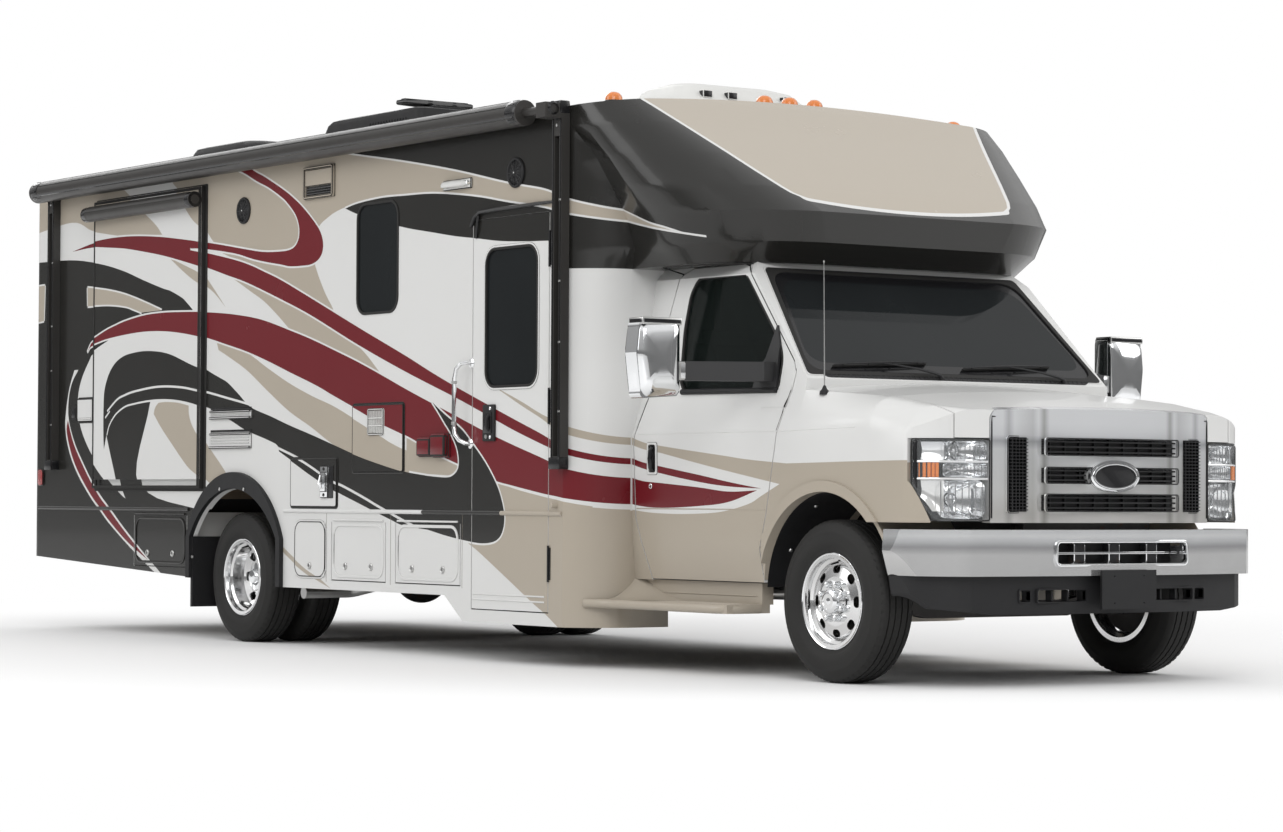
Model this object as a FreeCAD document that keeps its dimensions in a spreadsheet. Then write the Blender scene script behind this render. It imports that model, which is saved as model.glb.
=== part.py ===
"""Cutaway-chassis motorhome: van cab, box coach body, slide-outs, awning and running gear.

Frame: +X is the driver's side, -Y the front, +Z up, origin on the ground below the middle.
Inside the file a station is a distance behind the front axle; every sub-part's Placement
moves it back by half the difference of the two reaches. All sizes are in millimetres.
"""
import FreeCAD, Part
import Sketcher
import math
import os
import re
from types import SimpleNamespace

from FreeCAD import Placement, Rotation, Vector

# ---------------------------------------------------------------- driving sizes
# rows: alias, value, what it is
SIZES = (
    # overall
    ("front_reach", 920, "front axle to the face of the plate bracket"),
    ("rear_reach", 7870, "front axle to the rear bumper's face"),
    ("wheelbase", 5180, "front axle to rear axle"),
    ("half_width", 1285, "coach side wall from the centre plane"),
    # wheels
    ("tyre_radius", 372, "tread radius"),
    ("tyre_width", 223, "section width of a tyre"),
    ("tread_width", 180, "tread width of a tyre"),
    ("rim_seat", 206, "bead seat radius"),
    ("rim_flange", 221, "rim flange radius"),
    ("rim_half", 85, "half the rim width"),
    ("front_track", 1764, "between the front tyres' centres"),
    ("dual_track", 2230, "between the outer rear tyres' centres"),
    ("dual_spacing", 270, "between twin tyres' centres"),
    ("kingpin_half", 745, "kingpin from the centre plane"),
    ("pin_radius", 22, "kingpin radius"),
    ("spindle_radius", 30, "front wheel spindle radius"),
    ("running_gap", 0.3, "between a bearing and its shaft or a slide and its floor"),
    # chassis
    ("rail_half", 430, "middle of a frame rail from the centre plane"),
    ("rail_width", 76, "frame rail flange"),
    ("rail_depth", 180, "frame rail height"),
    ("rail_foot", 480, "underside of the rails"),
    ("rail_web", 8, "frame rail plate"),
    ("rail_nose", -640, "station of the rails' front end"),
    ("joist_width", 60, "cross member width"),
    ("joist_depth", 80, "floor joist height"),
    # cab
    ("cab_half", 1000, "cab side from the centre plane"),
    ("cab_foot", 440, "underside of the cab floor"),
    ("cab_roof", 1970, "top of the cab"),
    ("cab_front", 240, "station of the firewall"),
    ("cab_rear", 1700, "station of the cab's open back"),
    ("cab_skin", 45, "cab wall thickness"),
    ("cab_floor", 700, "top of the cab floor"),
    ("cab_floor_skin", 35, "cab floor thickness"),
    ("step_half", 800, "inner side of the cab's door steps from the centre plane"),
    ("cowl_height", 1395, "windshield base"),
    ("windshield_run", 560, "how far the windshield leans back"),
    ("door_gap", 6, "gap round every hinged door, hood and hatch"),
    ("door_thickness", 48, "cab door thickness"),
    ("glass", 6, "pane thickness"),
    ("arch_radius", 470, "front wheel arch"),
    ("arch_lift", 400, "centre height of the front wheel arch"),
    ("arch_station", 30, "centre station of the front wheel arch"),
    ("arch_lip", 50, "width of the raised lip round the front wheel arch"),
    ("lip_proud", 14, "front arch lip off the fender"),
    ("fender_skin", 25, "front fender thickness"),
    ("hood_skin", 25, "hood thickness"),
    ("clip_front", -800, "station of the grille's middle"),
    ("bumper_front", -885, "station of the bumper's middle"),
    ("grille_half", 662, "grille surround from the centre plane"),
    ("grille_foot", 735, "underside of the grille surround"),
    ("grille_depth", 55, "grille surround, front to back"),
    ("lamp_foot", 742, "underside of the headlamps"),
    ("lamp_head", 1105, "top of the headlamps"),
    ("lamp_rear", -562, "station of the headlamps' rear edge"),
    ("lamp_gap", 3, "gap round a headlamp"),
    ("bumper_half", 1030, "chrome bumper from the centre plane"),
    ("bumper_foot", 500, "underside of the chrome bumper"),
    ("bumper_head", 705, "top of the chrome bumper"),
    # coach
    ("wall_thickness", 40, "coach wall"),
    ("wall_foot", 760, "underside of the coach walls"),
    ("wall_front", 1740, "station of the side walls' front edge"),
    ("rear_face", "=rear_reach - 10", "station of the rear wall's face"),
    ("cap_station", "=rear_face - 100", "station where the rear cap starts"),
    ("roof_edge", 2750, "top of the side walls"),
    ("roof_rim", 15, "upright edge of the roof"),
    ("roof_crown", 70, "rise of the roof at its middle"),
    ("roof_thickness", 45, "roof thickness at its edge"),
    ("floor_top", 880, "coach floor"),
    ("floor_thickness", 60, "coach floor thickness"),
    ("skirt_thickness", 28, "skirt and hatch thickness"),
    ("skirt_foot", 330, "underside of the skirts"),
    ("step_foot", 200, "underside of the skirt round the entry step"),
    ("cap_foot", 1964, "underside of the overcab cap"),
    ("cap_skin", 35, "overcab cap thickness"),
    ("nose_station", 553, "station of the overcab cap's nose"),
    # entry door
    ("entry_front", 1870, "station of the entry door's hinge edge"),
    ("entry_width", 705, "entry door width"),
    ("entry_sill", 270, "underside of the entry door"),
    ("entry_head", 2250, "top of the entry door"),
    # slide-outs
    ("slide_foot", 960, "underside of the slide-outs"),
    ("slide_head", 2620, "top of the slide-outs"),
    ("slide_depth", 620, "slide-out depth inside the wall"),
    ("slide_skin", 35, "slide-out wall"),
    ("slide_gap", 10, "gap round a slide-out in its wall"),
    ("flange_lap", 25, "slide-out flange over the wall"),
    ("flange_proud", 22, "slide-out flange thickness"),
    ("flange_gap", 5, "flange off the wall"),
    ("right_slide_front", "=wheelbase + 360", "station of the right slide-out's front"),
    ("right_slide_length", 1370, "right slide-out length"),
    ("left_slide_front", 2300, "station of the left slide-out's front"),
    ("left_slide_length", 2100, "left slide-out length"),
    # wheel opening of the coach
    ("flare_front", "=wheelbase - 580", "station of the rear wheel opening's front"),
    ("flare_rear", "=wheelbase + 460", "station of the rear wheel opening's rear"),
    ("flare_head", 880, "top of the rear wheel opening"),
    ("flare_spring", 600, "level where the rear wheel opening starts to curve"),
    ("flare_width", 95, "wheel flare width at its top"),
    ("flare_side", 45, "wheel flare width at its sides"),
    ("flare_foot", 360, "foot of the wheel flare behind the wheels"),
    ("flare_proud", 27, "wheel flare off the wall"),
    # awning
    ("awning_radius", 64, "awning case"),
    ("awning_height", "=roof_edge - 5", "awning case centre"),
    ("awning_proud", 95, "awning case centre off the wall"),
    ("awning_front", 1950, "station of the case's front end"),
    ("awning_rear", "=cap_station - 160", "station of the case's rear end"),
    ("arm_width", 85, "awning arm"),
    ("arm_proud", 48, "awning arm off the wall"),
    # roof fittings
    ("unit_top", "=roof_edge + 350", "top of the air conditioner"),
)

doc = FreeCAD.newDocument("motorhome")
sheet = doc.addObject("Spreadsheet::Sheet", "Dims")
for line, (alias, number, note) in enumerate(SIZES, start=1):
    sheet.set(f"A{line}", note)
    sheet.set(f"B{line}", str(number))
    sheet.setAlias(f"B{line}", alias)
doc.recompute()
d = SimpleNamespace(**{alias: float(sheet.get(alias)) for alias, number, note in SIZES})
PLACE_Y = "-(Dims.rear_reach - Dims.front_reach) / 2"
NODES = []


# ---------------------------------------------------------------- helpers
def bound(text):
    """Expression text with every alias written as a cell of the sheet."""
    known = {row[0] for row in SIZES}
    return re.sub(r"[a-z_]+", lambda word: ("Dims." if word.group() in known else "") + word.group(), text)


def slab(name, low, high):
    """Box between two corners given as expressions."""
    box = doc.addObject("Part::Box", name)
    for side, axis, lo, hi in zip(("Length", "Width", "Height"), "xyz", low, high):
        box.setExpression(side, bound(f"({hi}) - ({lo})"))
        box.setExpression(f"Placement.Base.{axis}", bound(lo))
    return box


TURN = {"x": Rotation(Vector(0, 1, 0), 90), "y": Rotation(Vector(1, 0, 0), -90), "z": Rotation()}


def rod(name, radius, length, at, along="z"):
    """Cylinder that starts at a point and runs along +X, +Y or +Z."""
    solid = doc.addObject("Part::Cylinder", name)
    solid.setExpression("Radius", bound(radius))
    solid.setExpression("Height", bound(length))
    solid.Placement.Rotation = TURN[along]
    for axis, place in zip("xyz", at):
        solid.setExpression(f"Placement.Base.{axis}", bound(place))
    return solid


def join(name, pieces):
    """One solid from pieces that meet."""
    fused = doc.addObject("Part::MultiFuse", name)
    fused.Shapes = pieces
    fused.Refine = True
    return fused


def group(name, pieces):
    """Like pieces that don't touch, in one sub-part."""
    held = doc.addObject("Part::Compound", name)
    held.Links = pieces
    return held


def cut(name, base, tools):
    """The base without the tools."""
    result = doc.addObject("Part::Cut", name)
    result.Base = base
    result.Tool = tools[0] if len(tools) == 1 else group(name + "_tools", tools)
    result.Refine = True
    return result


def mirrored(name, source):
    """Copy of a piece on the other side of the centre plane."""
    copy = doc.addObject("Part::Mirroring", name)
    copy.Source = source
    copy.Normal = Vector(1, 0, 0)
    return copy


def shaped(name, shape):
    """Feature whose shape is worked out here from the sheet's values."""
    feature = doc.addObject("Part::Feature", name)
    moved = shape.Placement.toMatrix()
    shape.Placement = Placement()
    feature.Shape = shape.transformed(moved, True)
    return feature


def sub_part(label, item):
    """Names a finished sub-part, puts it in the vehicle's frame and lists it for export."""
    item.Label = label
    item.setExpression("Placement.Base.y", PLACE_Y)
    NODES.append(item)


# An outline's rows are (a, b) for a straight run to a point, or (via_a, via_b, a, b) for an arc.
def spot(axis, a, b, along):
    """Point at a, b across an axis: (y, z) across x, (x, z) across y, (x, y) across z."""
    return {"x": Vector(along, a, b), "y": Vector(a, along, b), "z": Vector(a, b, along)}[axis]


def outline(rows, axis, along):
    """Closed wire of straight runs and arcs."""
    start = spot(axis, rows[0][-2], rows[0][-1], along)
    here, edges = start, []
    for row in list(rows[1:]) + [rows[0][-2:]]:
        there = spot(axis, row[-2], row[-1], along)
        if len(row) == 4:
            edges.append(Part.Arc(here, spot(axis, row[0], row[1], along), there).toShape())
        elif here.distanceToPoint(there) > 1e-6:
            edges.append(Part.LineSegment(here, there).toShape())
        here = there
    return Part.Wire(edges)


def prism(rows, axis, low, high, grow=0):
    """Outline swept along an axis, first grown outwards or, below 0, inwards."""
    wire = outline(rows, axis, low)
    if grow:
        wire = wire.makeOffset2D(grow)
    return Part.Face(wire).extrude(spot(axis, 0, 0, high - low))


def cylinder(radius, length, at, along="z"):
    """Cylinder that starts at a point and runs along +X, +Y or +Z."""
    return Part.makeCylinder(radius, length, Vector(*at), spot(along, 0, 0, 1))


def block(x, y, z):
    """Box between pairs of limits."""
    return Part.makeBox(x[1] - x[0], y[1] - y[0], z[1] - z[0], Vector(x[0], y[0], z[0]))


def rounded(a, b, radius):
    """Rows of a rectangle with rounded corners; a and b are pairs of limits."""
    arm = radius * (1 - math.sqrt(0.5))
    return [
        (a[0] + radius, b[0]), (a[1] - radius, b[0]),
        (a[1] - arm, b[0] + arm, a[1], b[0] + radius), (a[1], b[1] - radius),
        (a[1] - arm, b[1] - arm, a[1] - radius, b[1]), (a[0] + radius, b[1]),
        (a[0] + arm, b[1] - arm, a[0], b[1] - radius), (a[0], b[0] + radius),
        (a[0] + arm, b[0] + arm, a[0] + radius, b[0]),
    ]


def symmetric(rows):
    """Whole outline from its +X half, listed upwards."""
    full = list(rows) + [(-rows[-1][-2], rows[-1][-1])]
    for here, before in zip(reversed(rows[1:]), reversed(rows[:-1])):
        end = (-before[-2], before[-1])
        full.append((-here[0], here[1]) + end if len(here) == 4 else end)
    return full


def other_side(shape):
    """Mirror image across the centre plane."""
    return shape.mirror(Vector(), Vector(1, 0, 0))


def two_sides(shape):
    """A shape and its mirror image."""
    return Part.makeCompound([shape, other_side(shape)])


def bent_bar(points, radius, bend):
    """Round bar or tube along straight runs joined by tangent arcs."""
    points = [Vector(*point) for point in points]
    edges, here = [], points[0]
    for before, corner, after in zip(points, points[1:], points[2:]):
        back, on = (before - corner).normalize(), (after - corner).normalize()
        half_turn = (math.pi - back.getAngle(on)) / 2
        reach = bend * math.tan(half_turn)
        first, last = corner + back * reach, corner + on * reach
        middle = (back + on).normalize()
        via = corner + middle * (bend / math.cos(half_turn) - bend)
        edges += [Part.LineSegment(here, first).toShape(), Part.Arc(first, via, last).toShape()]
        here = last
    edges.append(Part.LineSegment(here, points[-1]).toShape())
    spine = Part.Wire(edges)
    ring = Part.Wire(Part.Circle(points[0], points[1] - points[0], radius).toShape())
    return spine.makePipeShell([ring], True, False)


# ---------------------------------------------------------------- chassis and running gear
# stations of the cross members between the rails and of the floor joists over them
CROSS_MEMBERS = ("rail_nose", "1330", "2900", "wheelbase - 880", "wheelbase + 470", "cap_station - 370",
                 "cap_station - 80")
JOISTS = ("1760", "2640", "3600", "wheelbase - 740", "wheelbase + 580", "cap_station - 1060",
          "cap_station - 160")


def make_chassis():
    """Two channel rails with cross members between them and floor joists on risers."""
    inner, outer = "rail_half - rail_width / 2", "rail_half + rail_width / 2"
    head = "rail_foot + rail_depth"
    rail = slab("rail", (inner, "rail_nose", "rail_foot"), (outer, "cap_station - 10", head))
    hollow = slab(
        "rail_hollow",
        (inner, "rail_nose - 1", "rail_foot + rail_web"),
        ("rail_half + rail_width / 2 - rail_web", "cap_station", "rail_foot + rail_depth - rail_web"),
    )
    channel = cut("rail_channel", rail, [hollow])
    pieces = [channel, mirrored("rail_channel_other", channel)]
    web = "rail_half + rail_width / 2 - rail_web / 2"
    for number, station in enumerate(CROSS_MEMBERS):
        pieces.append(slab(
            f"cross_member_{number}",
            (f"-({web})", station, "rail_foot + 50"),
            (web, f"{station} + joist_width", "rail_foot + 120"),
        ))
    joist_low = "floor_top - floor_thickness - joist_depth"
    for number, station in enumerate(JOISTS):
        reach = "half_width - wall_thickness - 10"
        pieces.append(slab(
            f"joist_{number}", (f"-({reach})", station, joist_low),
            (reach, f"{station} + joist_width", "floor_top - floor_thickness"),
        ))
        riser = slab(f"riser_{number}", (inner, station, head),
                     (outer, f"{station} + joist_width", joist_low))
        pieces += [riser, mirrored(f"riser_{number}_other", riser)]
    sub_part("chassis_frame", join("chassis", pieces))


def make_front_axle():
    """Dropped I-beam with an eye for each kingpin, and a damper up to each rail."""
    reach = d.kingpin_half
    beam_rows = symmetric([
        (430, d.tyre_radius - 85), (reach - 60, d.tyre_radius - 35), (reach, d.tyre_radius - 35),
        (reach, d.tyre_radius + 35), (reach - 80, d.tyre_radius + 35), (430, d.tyre_radius - 10),
    ])
    beam = prism(beam_rows, "y", -32, 32)
    eye = cylinder(40, 110, (reach, 0, d.tyre_radius - 55))
    bore = cylinder(d.pin_radius + d.running_gap, 130, (reach, 0, d.tyre_radius - 65))
    rail_face = d.rail_half + d.rail_width / 2
    damper = cylinder(28, d.rail_foot + 150 - d.tyre_radius, (540, 0, d.tyre_radius))
    bracket = block((rail_face, 580), (-50, 50), (d.rail_foot + 140, d.rail_foot + 160))
    side = eye.fuse(damper).fuse(bracket)
    axle = beam.fuse(side).fuse(other_side(side)).cut(bore).cut(other_side(bore))
    sub_part("front_axle", shaped("front_axle_shape", axle.removeSplitter()))


def make_knuckles():
    """Fork over the axle eye with its kingpin and the stub that carries the wheel."""
    pin, level = d.kingpin_half, d.tyre_radius
    stub_end = d.front_track / 2 + 100
    cheek = block((pin + 46, pin + 76), (-40, 40), (level - 85, level + 85))
    shape = cheek
    for low in (level - 85, level + 57):
        ear = block((pin - 30, pin + 50), (-30, 30), (low, low + 28))
        shape = shape.fuse(ear)
    kingpin = cylinder(d.pin_radius, 170, (pin, 0, level - 85))
    stub = cylinder(d.spindle_radius, stub_end - pin - 60, (pin + 60, 0, level), "x")
    shape = shape.fuse(kingpin).fuse(stub).removeSplitter()
    sub_part("left_knuckle", shaped("left_knuckle_shape", shape))
    sub_part("right_knuckle", shaped("right_knuckle_shape", other_side(shape)))


def make_rear_axle():
    """Axle tube with its differential, drive shaft and leaf springs hung from the rails."""
    level, station = "tyre_radius", "wheelbase"
    hub_face = "dual_track / 2 - dual_spacing + 80 - running_gap"
    tube = rod("axle_tube", "62", f"2 * ({hub_face})", (f"-({hub_face})", station, level), "x")
    ball = doc.addObject("Part::Sphere", "differential")
    ball.Radius = 165
    ball.Placement.Rotation = Rotation(Vector(0, 0, 1), 45)
    ball.setExpression("Placement.Base.y", bound(station))
    ball.setExpression("Placement.Base.z", bound(level))
    shaft = rod("drive_shaft", "42", f"{station} - 1400 - 120", ("0", "1400", "tyre_radius + 45"), "y")
    leaf_rows = [
        (d.wheelbase - 650, d.rail_foot + 20),
        (d.wheelbase, d.rail_foot - 58, d.wheelbase + 650, d.rail_foot + 20),
        (d.wheelbase + 650, d.rail_foot + 6),
        (d.wheelbase, d.rail_foot - 103, d.wheelbase - 650, d.rail_foot + 6),
    ]
    face = d.rail_half + d.rail_width / 2
    spring = prism(leaf_rows, "x", face + 12, face + 87)
    for end in (-650, 650):
        station_low = d.wheelbase + end - 30
        spring = spring.fuse(block((face, face + 87), (station_low, station_low + 60),
                                   (d.rail_foot, d.rail_foot + 90)))
    pack = shaped("leaf_spring", spring)
    sub_part("rear_axle", join("rear_axle_parts", [tube, ball, shaft, pack, mirrored("leaf_other", pack)]))


def section_sketch(body, name, section, centres):
    """Closed straight-sided loops whose points are held by bound distances from the origin."""
    plane = [part for part in body.Origin.OriginFeatures if part.Role == "XY_Plane"][0]
    sketch = body.newObject("Sketcher::SketchObject", name)
    sketch.AttachmentSupport = [(plane, "")]
    sketch.MapMode = "FlatFace"
    for loop, centre in enumerate(centres):
        rows = [(f"({centre}) + {across}", radius) for across, radius in section]
        spots = [Vector(*(float(sheet.evalExpression(bound(text))) for text in row)) for row in rows]
        first = sketch.GeometryCount
        for row, spot_here in enumerate(spots):
            sketch.addGeometry(Part.LineSegment(spot_here, spots[(row + 1) % len(spots)]))
        for row, (across, radius) in enumerate(rows):
            edge, before = first + row, first + (row - 1) % len(rows)
            sketch.addConstraint(Sketcher.Constraint("Coincident", before, 2, edge, 1))
            for kind, value, text in (("DistanceX", spots[row].x, across),
                                      ("DistanceY", spots[row].y, radius)):
                index = sketch.addConstraint(Sketcher.Constraint(kind, -1, 1, edge, 1, value))
                sketch.renameConstraint(index, f"{kind}_{loop}_{row}")
                sketch.setExpression(f"Constraints.{kind}_{loop}_{row}", bound(text))
    return sketch


# tyre half section: distance from the tyre's centre, radius
TYRE_SECTION = (
    ("-rim_half + running_gap", "rim_seat"), ("-rim_half + running_gap", "rim_flange + 1"),
    ("-tyre_width / 2", "rim_flange + 45"), ("-tyre_width / 2", "rim_flange + 75"),
    ("-tread_width / 2", "tyre_radius - 12"), ("-tread_width / 2 + 24", "tyre_radius"),
    ("tread_width / 2 - 24", "tyre_radius"), ("tread_width / 2", "tyre_radius - 12"),
    ("tyre_width / 2", "rim_flange + 75"), ("tyre_width / 2", "rim_flange + 45"),
    ("rim_half - running_gap", "rim_flange + 1"), ("rim_half - running_gap", "rim_seat"),
)


def make_tyres(label, station, centres):
    """Tyres of one wheel body: their sections turned about the axle."""
    body = doc.addObject("PartDesign::Body", label + "_body")
    sketch = section_sketch(body, label + "_section", TYRE_SECTION, centres)
    turned = body.newObject("PartDesign::Revolution", label + "_turn")
    turned.Profile = sketch
    turned.ReferenceAxis = (sketch, ["H_Axis"])
    turned.Angle = 360
    body.Label = label
    body.setExpression("Placement.Base.y", bound(f"({station}) - (rear_reach - front_reach) / 2"))
    body.setExpression("Placement.Base.z", bound("tyre_radius"))
    NODES.append(body)


def turned_ring(rows):
    """Solid of a closed (across, radius) section turned about the X axis."""
    return Part.Face(outline(rows, "z", 0)).revolve(Vector(), Vector(1, 0, 0), 360)


def rim_shell(disc):
    """Drop-centre barrel with flanges and a disc whose rows run from the barrel to the hub and back."""
    half, seat, flange = d.rim_half, d.rim_seat - d.running_gap, d.rim_flange
    barrel = turned_ring([
        (-half, seat), (-half, flange), (-half - 6, flange), (-half - 6, seat - 8), (-half + 20, seat - 8),
        (-half + 30, seat - 24), (half - 30, seat - 24), (half - 20, seat - 8), (half + 6, seat - 8),
        (half + 6, flange), (half, flange), (half, seat), (half - 22, seat), (half - 34, seat - 16),
        (-half + 34, seat - 16), (-half + 22, seat),
    ])
    return barrel.fuse(turned_ring(disc))


def with_hand_holes(shape, count, circle, width, height):
    """Cuts oval hand holes through a wheel disc."""
    for turn in range(count):
        hole = cylinder(height / 2, 400, (-200, circle, 0), "x")
        for side in (-1, 1):
            hole = hole.fuse(cylinder(height / 2, 400, (-200, circle, side * (width - height) / 2), "x"))
        hole = hole.fuse(block((-200, 200), (circle - height / 2, circle + height / 2),
                               (-(width - height) / 2, (width - height) / 2)))
        hole.rotate(Vector(), Vector(1, 0, 0), 360 * turn / count)
        shape = shape.cut(hole)
    return shape


def with_lugs(shape, count, circle, low, high):
    """Adds the lug nuts round the hub."""
    for turn in range(count):
        angle = math.radians(360 * (turn + 0.5) / count)
        nut = cylinder(14, high - low, (low, circle * math.cos(angle), circle * math.sin(angle)), "x")
        shape = shape.fuse(nut)
    return shape


def make_front_rim():
    """Front wheel: the disc stands out to the hub cap."""
    barrel_inner = d.rim_seat - 18
    bore = d.spindle_radius + d.running_gap
    disc = [
        (34, barrel_inner), (60, 160), (70, 112), (70, 58), (100, 52), (112, 42), (112, 0.001), (106, 0.001),
        (106, bore), (46, bore), (46, 84), (56, 112), (46, 150), (14, barrel_inner),
    ]
    rim = with_hand_holes(rim_shell(disc), 8, 146, 52, 36)
    rim = with_lugs(rim, 8, 82, 60, 96)
    return rim


def make_rear_rims():
    """Twin wheel: two rims back to back on one hub, the outer one deeply dished."""
    barrel_inner = d.rim_seat - 18
    face = -d.dual_spacing / 2
    disc = [
        (-10, barrel_inner), (-48, 160), (-58, 128), (-58, 84), (-8, 78), (2, 62), (2, 0.001), (face, 0.001),
        (face, 132), (-70, 132), (-62, 160), (-26, barrel_inner),
    ]
    outer = with_hand_holes(rim_shell(disc), 8, 158, 56, 32)
    outer = with_lugs(outer, 8, 104, -62, -30)
    inner_disc = [(-10, barrel_inner), (-50, 132), (-80, 132), (-80, 0.001), (face, 0.001), (face, 150),
                  (-66, 150), (-28, barrel_inner)]
    inner = with_hand_holes(rim_shell(inner_disc), 8, 158, 40, 26)
    inner = other_side(inner)
    inner.translate(Vector(-d.dual_spacing, 0, 0))
    return outer.fuse(inner)


def make_wheels():
    """Tyres and rims of the four wheel bodies."""
    front = make_front_rim()
    rear = make_rear_rims()
    for side, sign in (("left", 1), ("right", -1)):
        make_tyres(f"front_{side}_tyre", "0", [f"{sign} * front_track / 2"])
        make_tyres(f"rear_{side}_tyres", "wheelbase",
                   [f"{sign} * dual_track / 2", f"{sign} * (dual_track / 2 - dual_spacing)"])
        for name, shape, station, reach in (
            (f"front_{side}_rim", front, 0, d.front_track / 2),
            (f"rear_{side}_rims", rear, d.wheelbase, d.dual_track / 2),
        ):
            rim = shape.copy() if sign > 0 else other_side(shape)
            rim.translate(Vector(sign * reach, station, d.tyre_radius))
            sub_part(name, shaped(name + "_shape", rim))


def make_engine():
    """Engine with its gearbox and the radiator ahead of it, as plain blocks."""
    engine = slab("engine", ("-330", "-500", "470"), ("330", "cab_front - 12", "1040"))
    ears = slab("engine_ears", ("-rail_half", "-150", "rail_foot + rail_depth"),
                ("rail_half", "-60", "rail_foot + rail_depth + 25"))
    gearbox = slab("gearbox", ("-130", "cab_front - 12", "330"), ("130", "1400", "rail_foot + 50"))
    radiator = slab("radiator", ("-385", "rail_nose", "rail_foot + 120"), ("385", "rail_nose + 55", "1090"))
    power = join("engine_and_gearbox", [engine, ears, gearbox])
    sub_part("engine_block", group("engine_parts", [power, radiator]))


def make_exhaust():
    """Pipe from the gearbox side to the muffler and on to the tip ahead of the rear wheel."""
    front = bent_bar([(-200, 700, 400), (-330, 1200, 370), (-690, 2300, 370), (-690, 2900, 370)], 32, 120)
    tip = d.wheelbase - 690
    rear = bent_bar([(-690, 3400, 370), (-690, tip - 190, 370), (-880, tip, 300), (-1190, tip, 300)], 32, 90)
    muffler = prism(rounded((-800, -580), (280, 460), 80), "y", 2880, 3420)
    hanger = block((-720, -470), (3100, 3140), (455, 560))
    hanger = hanger.cut(block((-700, -480), (3000, 3200), (470, 530)))
    strap = block((-530, -d.rail_half - d.rail_width / 2), (3090, 3150),
                  (d.rail_foot + 60, d.rail_foot + 110))
    pipe = front.fuse(muffler).fuse(rear).fuse(hanger).fuse(strap)
    sub_part("exhaust", shaped("exhaust_shape", pipe.removeSplitter()))


def make_fuel_tank():
    """Tank between the rails behind the rear axle, hung from the cross members."""
    inner = d.rail_half - d.rail_width / 2
    tank = prism(rounded((-inner + 12, inner - 12), (345, d.rail_foot + 50), 60), "y",
                 d.flare_rear + 60, d.cap_station - 360)
    sub_part("fuel_tank", shaped("fuel_tank_shape", tank))


# ---------------------------------------------------------------- cab
def cab_section():
    """Cross section of the cab: upright sides, shoulders above the crease and inward-leaning windows."""
    half, foot, roof = d.cab_half, d.cab_foot, d.cab_roof
    return symmetric([
        (half - 22, foot), (half - 4, foot + 180), (half, foot + 560), (half + 2, foot + 700),
        (half - 14, foot + 760), (half - 60, foot + 900), (half - 140, roof - 60), (half - 200, roof),
    ])


def cab_side_view():
    """Side view of the cab: upright firewall, raked windshield, roof, open back."""
    front, top = d.cab_front, d.cab_front + d.windshield_run
    return [
        (front, d.cab_foot), (d.cab_rear, d.cab_foot), (d.cab_rear, d.cab_roof), (top, d.cab_roof),
        (front, d.cowl_height),
    ]


def cab_hull(grow=0, front_grow=0):
    """Outer solid of the cab, or an inner one when grown by a negative amount."""
    section = prism(cab_section(), "y", -900, d.cab_rear + 50, grow)
    return section.common(prism(cab_side_view(), "x", -1100, 1100, front_grow))


def pillar_line(height):
    """Station of the windshield's plane at a height."""
    return d.cab_front + d.windshield_run * (height - d.cowl_height) / (d.cab_roof - d.cowl_height)


def door_rows():
    """Cab door in side view."""
    foot, head, pillar = d.cab_foot + d.door_gap, d.cab_roof - 12, 34
    return [
        (500, foot), (520, foot + 154), (470, foot + 314), (380, foot + 714), (330, foot + 980),
        (pillar_line(1480) + pillar, 1480), (pillar_line(head) + pillar, head), (1300, head), (1345, head - 25),
        (1420, 1640), (1500, 1300), (1536, 1100), (1520, 740), (1400, foot),
    ]


def window_rows():
    """Cab door window in side view."""
    return [
        (450, 1345), (1205, 1354), (1245, 1400), (1262, 1660), (1245, 1830), (1195, 1905),
        (pillar_line(1905) + 75, 1905), (pillar_line(1880) + 70, 1880), (pillar_line(1560) + 70, 1560),
        (440, 1490),
    ]


def fender_rows():
    """Front fender in side view; its rear edge follows the cab door."""
    gap = d.door_gap
    return [
        (-900, d.grille_foot), (-300, d.grille_foot), (-250, d.cab_foot), (500 - gap, d.cab_foot),
        (520 - gap, 600), (470 - gap, 760), (380 - gap, 1160), (330 - gap, 1420), (d.cab_front + 55, 1440),
        (d.cab_front + 2, d.cowl_height), (-900, d.cowl_height),
    ]


def make_cab():
    """Cab shell with door openings, windshield opening, raised floor and wheel houses."""
    shell = cab_hull().cut(cab_hull(-d.cab_skin, -d.cab_skin))
    shell = shell.cut(block((-700, 700), (d.cab_rear - 60, d.cab_rear + 60),
                            (d.cab_foot + d.cab_skin, d.cab_roof - d.cab_skin)))
    low = d.cab_floor - d.cab_floor_skin
    under = block((-d.step_half, d.step_half), (d.cab_front - 60, d.cab_rear + 60), (d.cab_foot - 10, low))
    pan = block((-d.step_half - 30, d.step_half + 30), (d.cab_front, d.cab_rear), (d.cab_foot, d.cab_floor))
    shell = shell.fuse(pan).cut(under)
    doors = prism(door_rows(), "x", 770, 1100, d.door_gap)
    shell = shell.cut(doors).cut(other_side(doors)).cut(windshield_plug(200))
    # the coach behind leaves the back and the middle of the roof open
    top = d.cab_front + d.windshield_run
    shell = shell.cut(block((-720, 720), (top + 90, d.cab_rear + 60), (d.cab_roof - 100, d.cab_roof + 50)))
    house = cylinder(d.arch_radius + 20.3, 600, (540, d.arch_station, d.arch_lift), "x")
    cover = cab_hull_section().cut(cab_hull_section(-d.fender_skin - 0.3))
    cover = cover.common(prism(fender_rows(), "x", 600, 1100, 0.3))
    for tool in (house, cover):
        shell = shell.cut(tool).cut(other_side(tool))
    sub_part("cab_body", shaped("cab_body_shape", shell.removeSplitter()))


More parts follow.
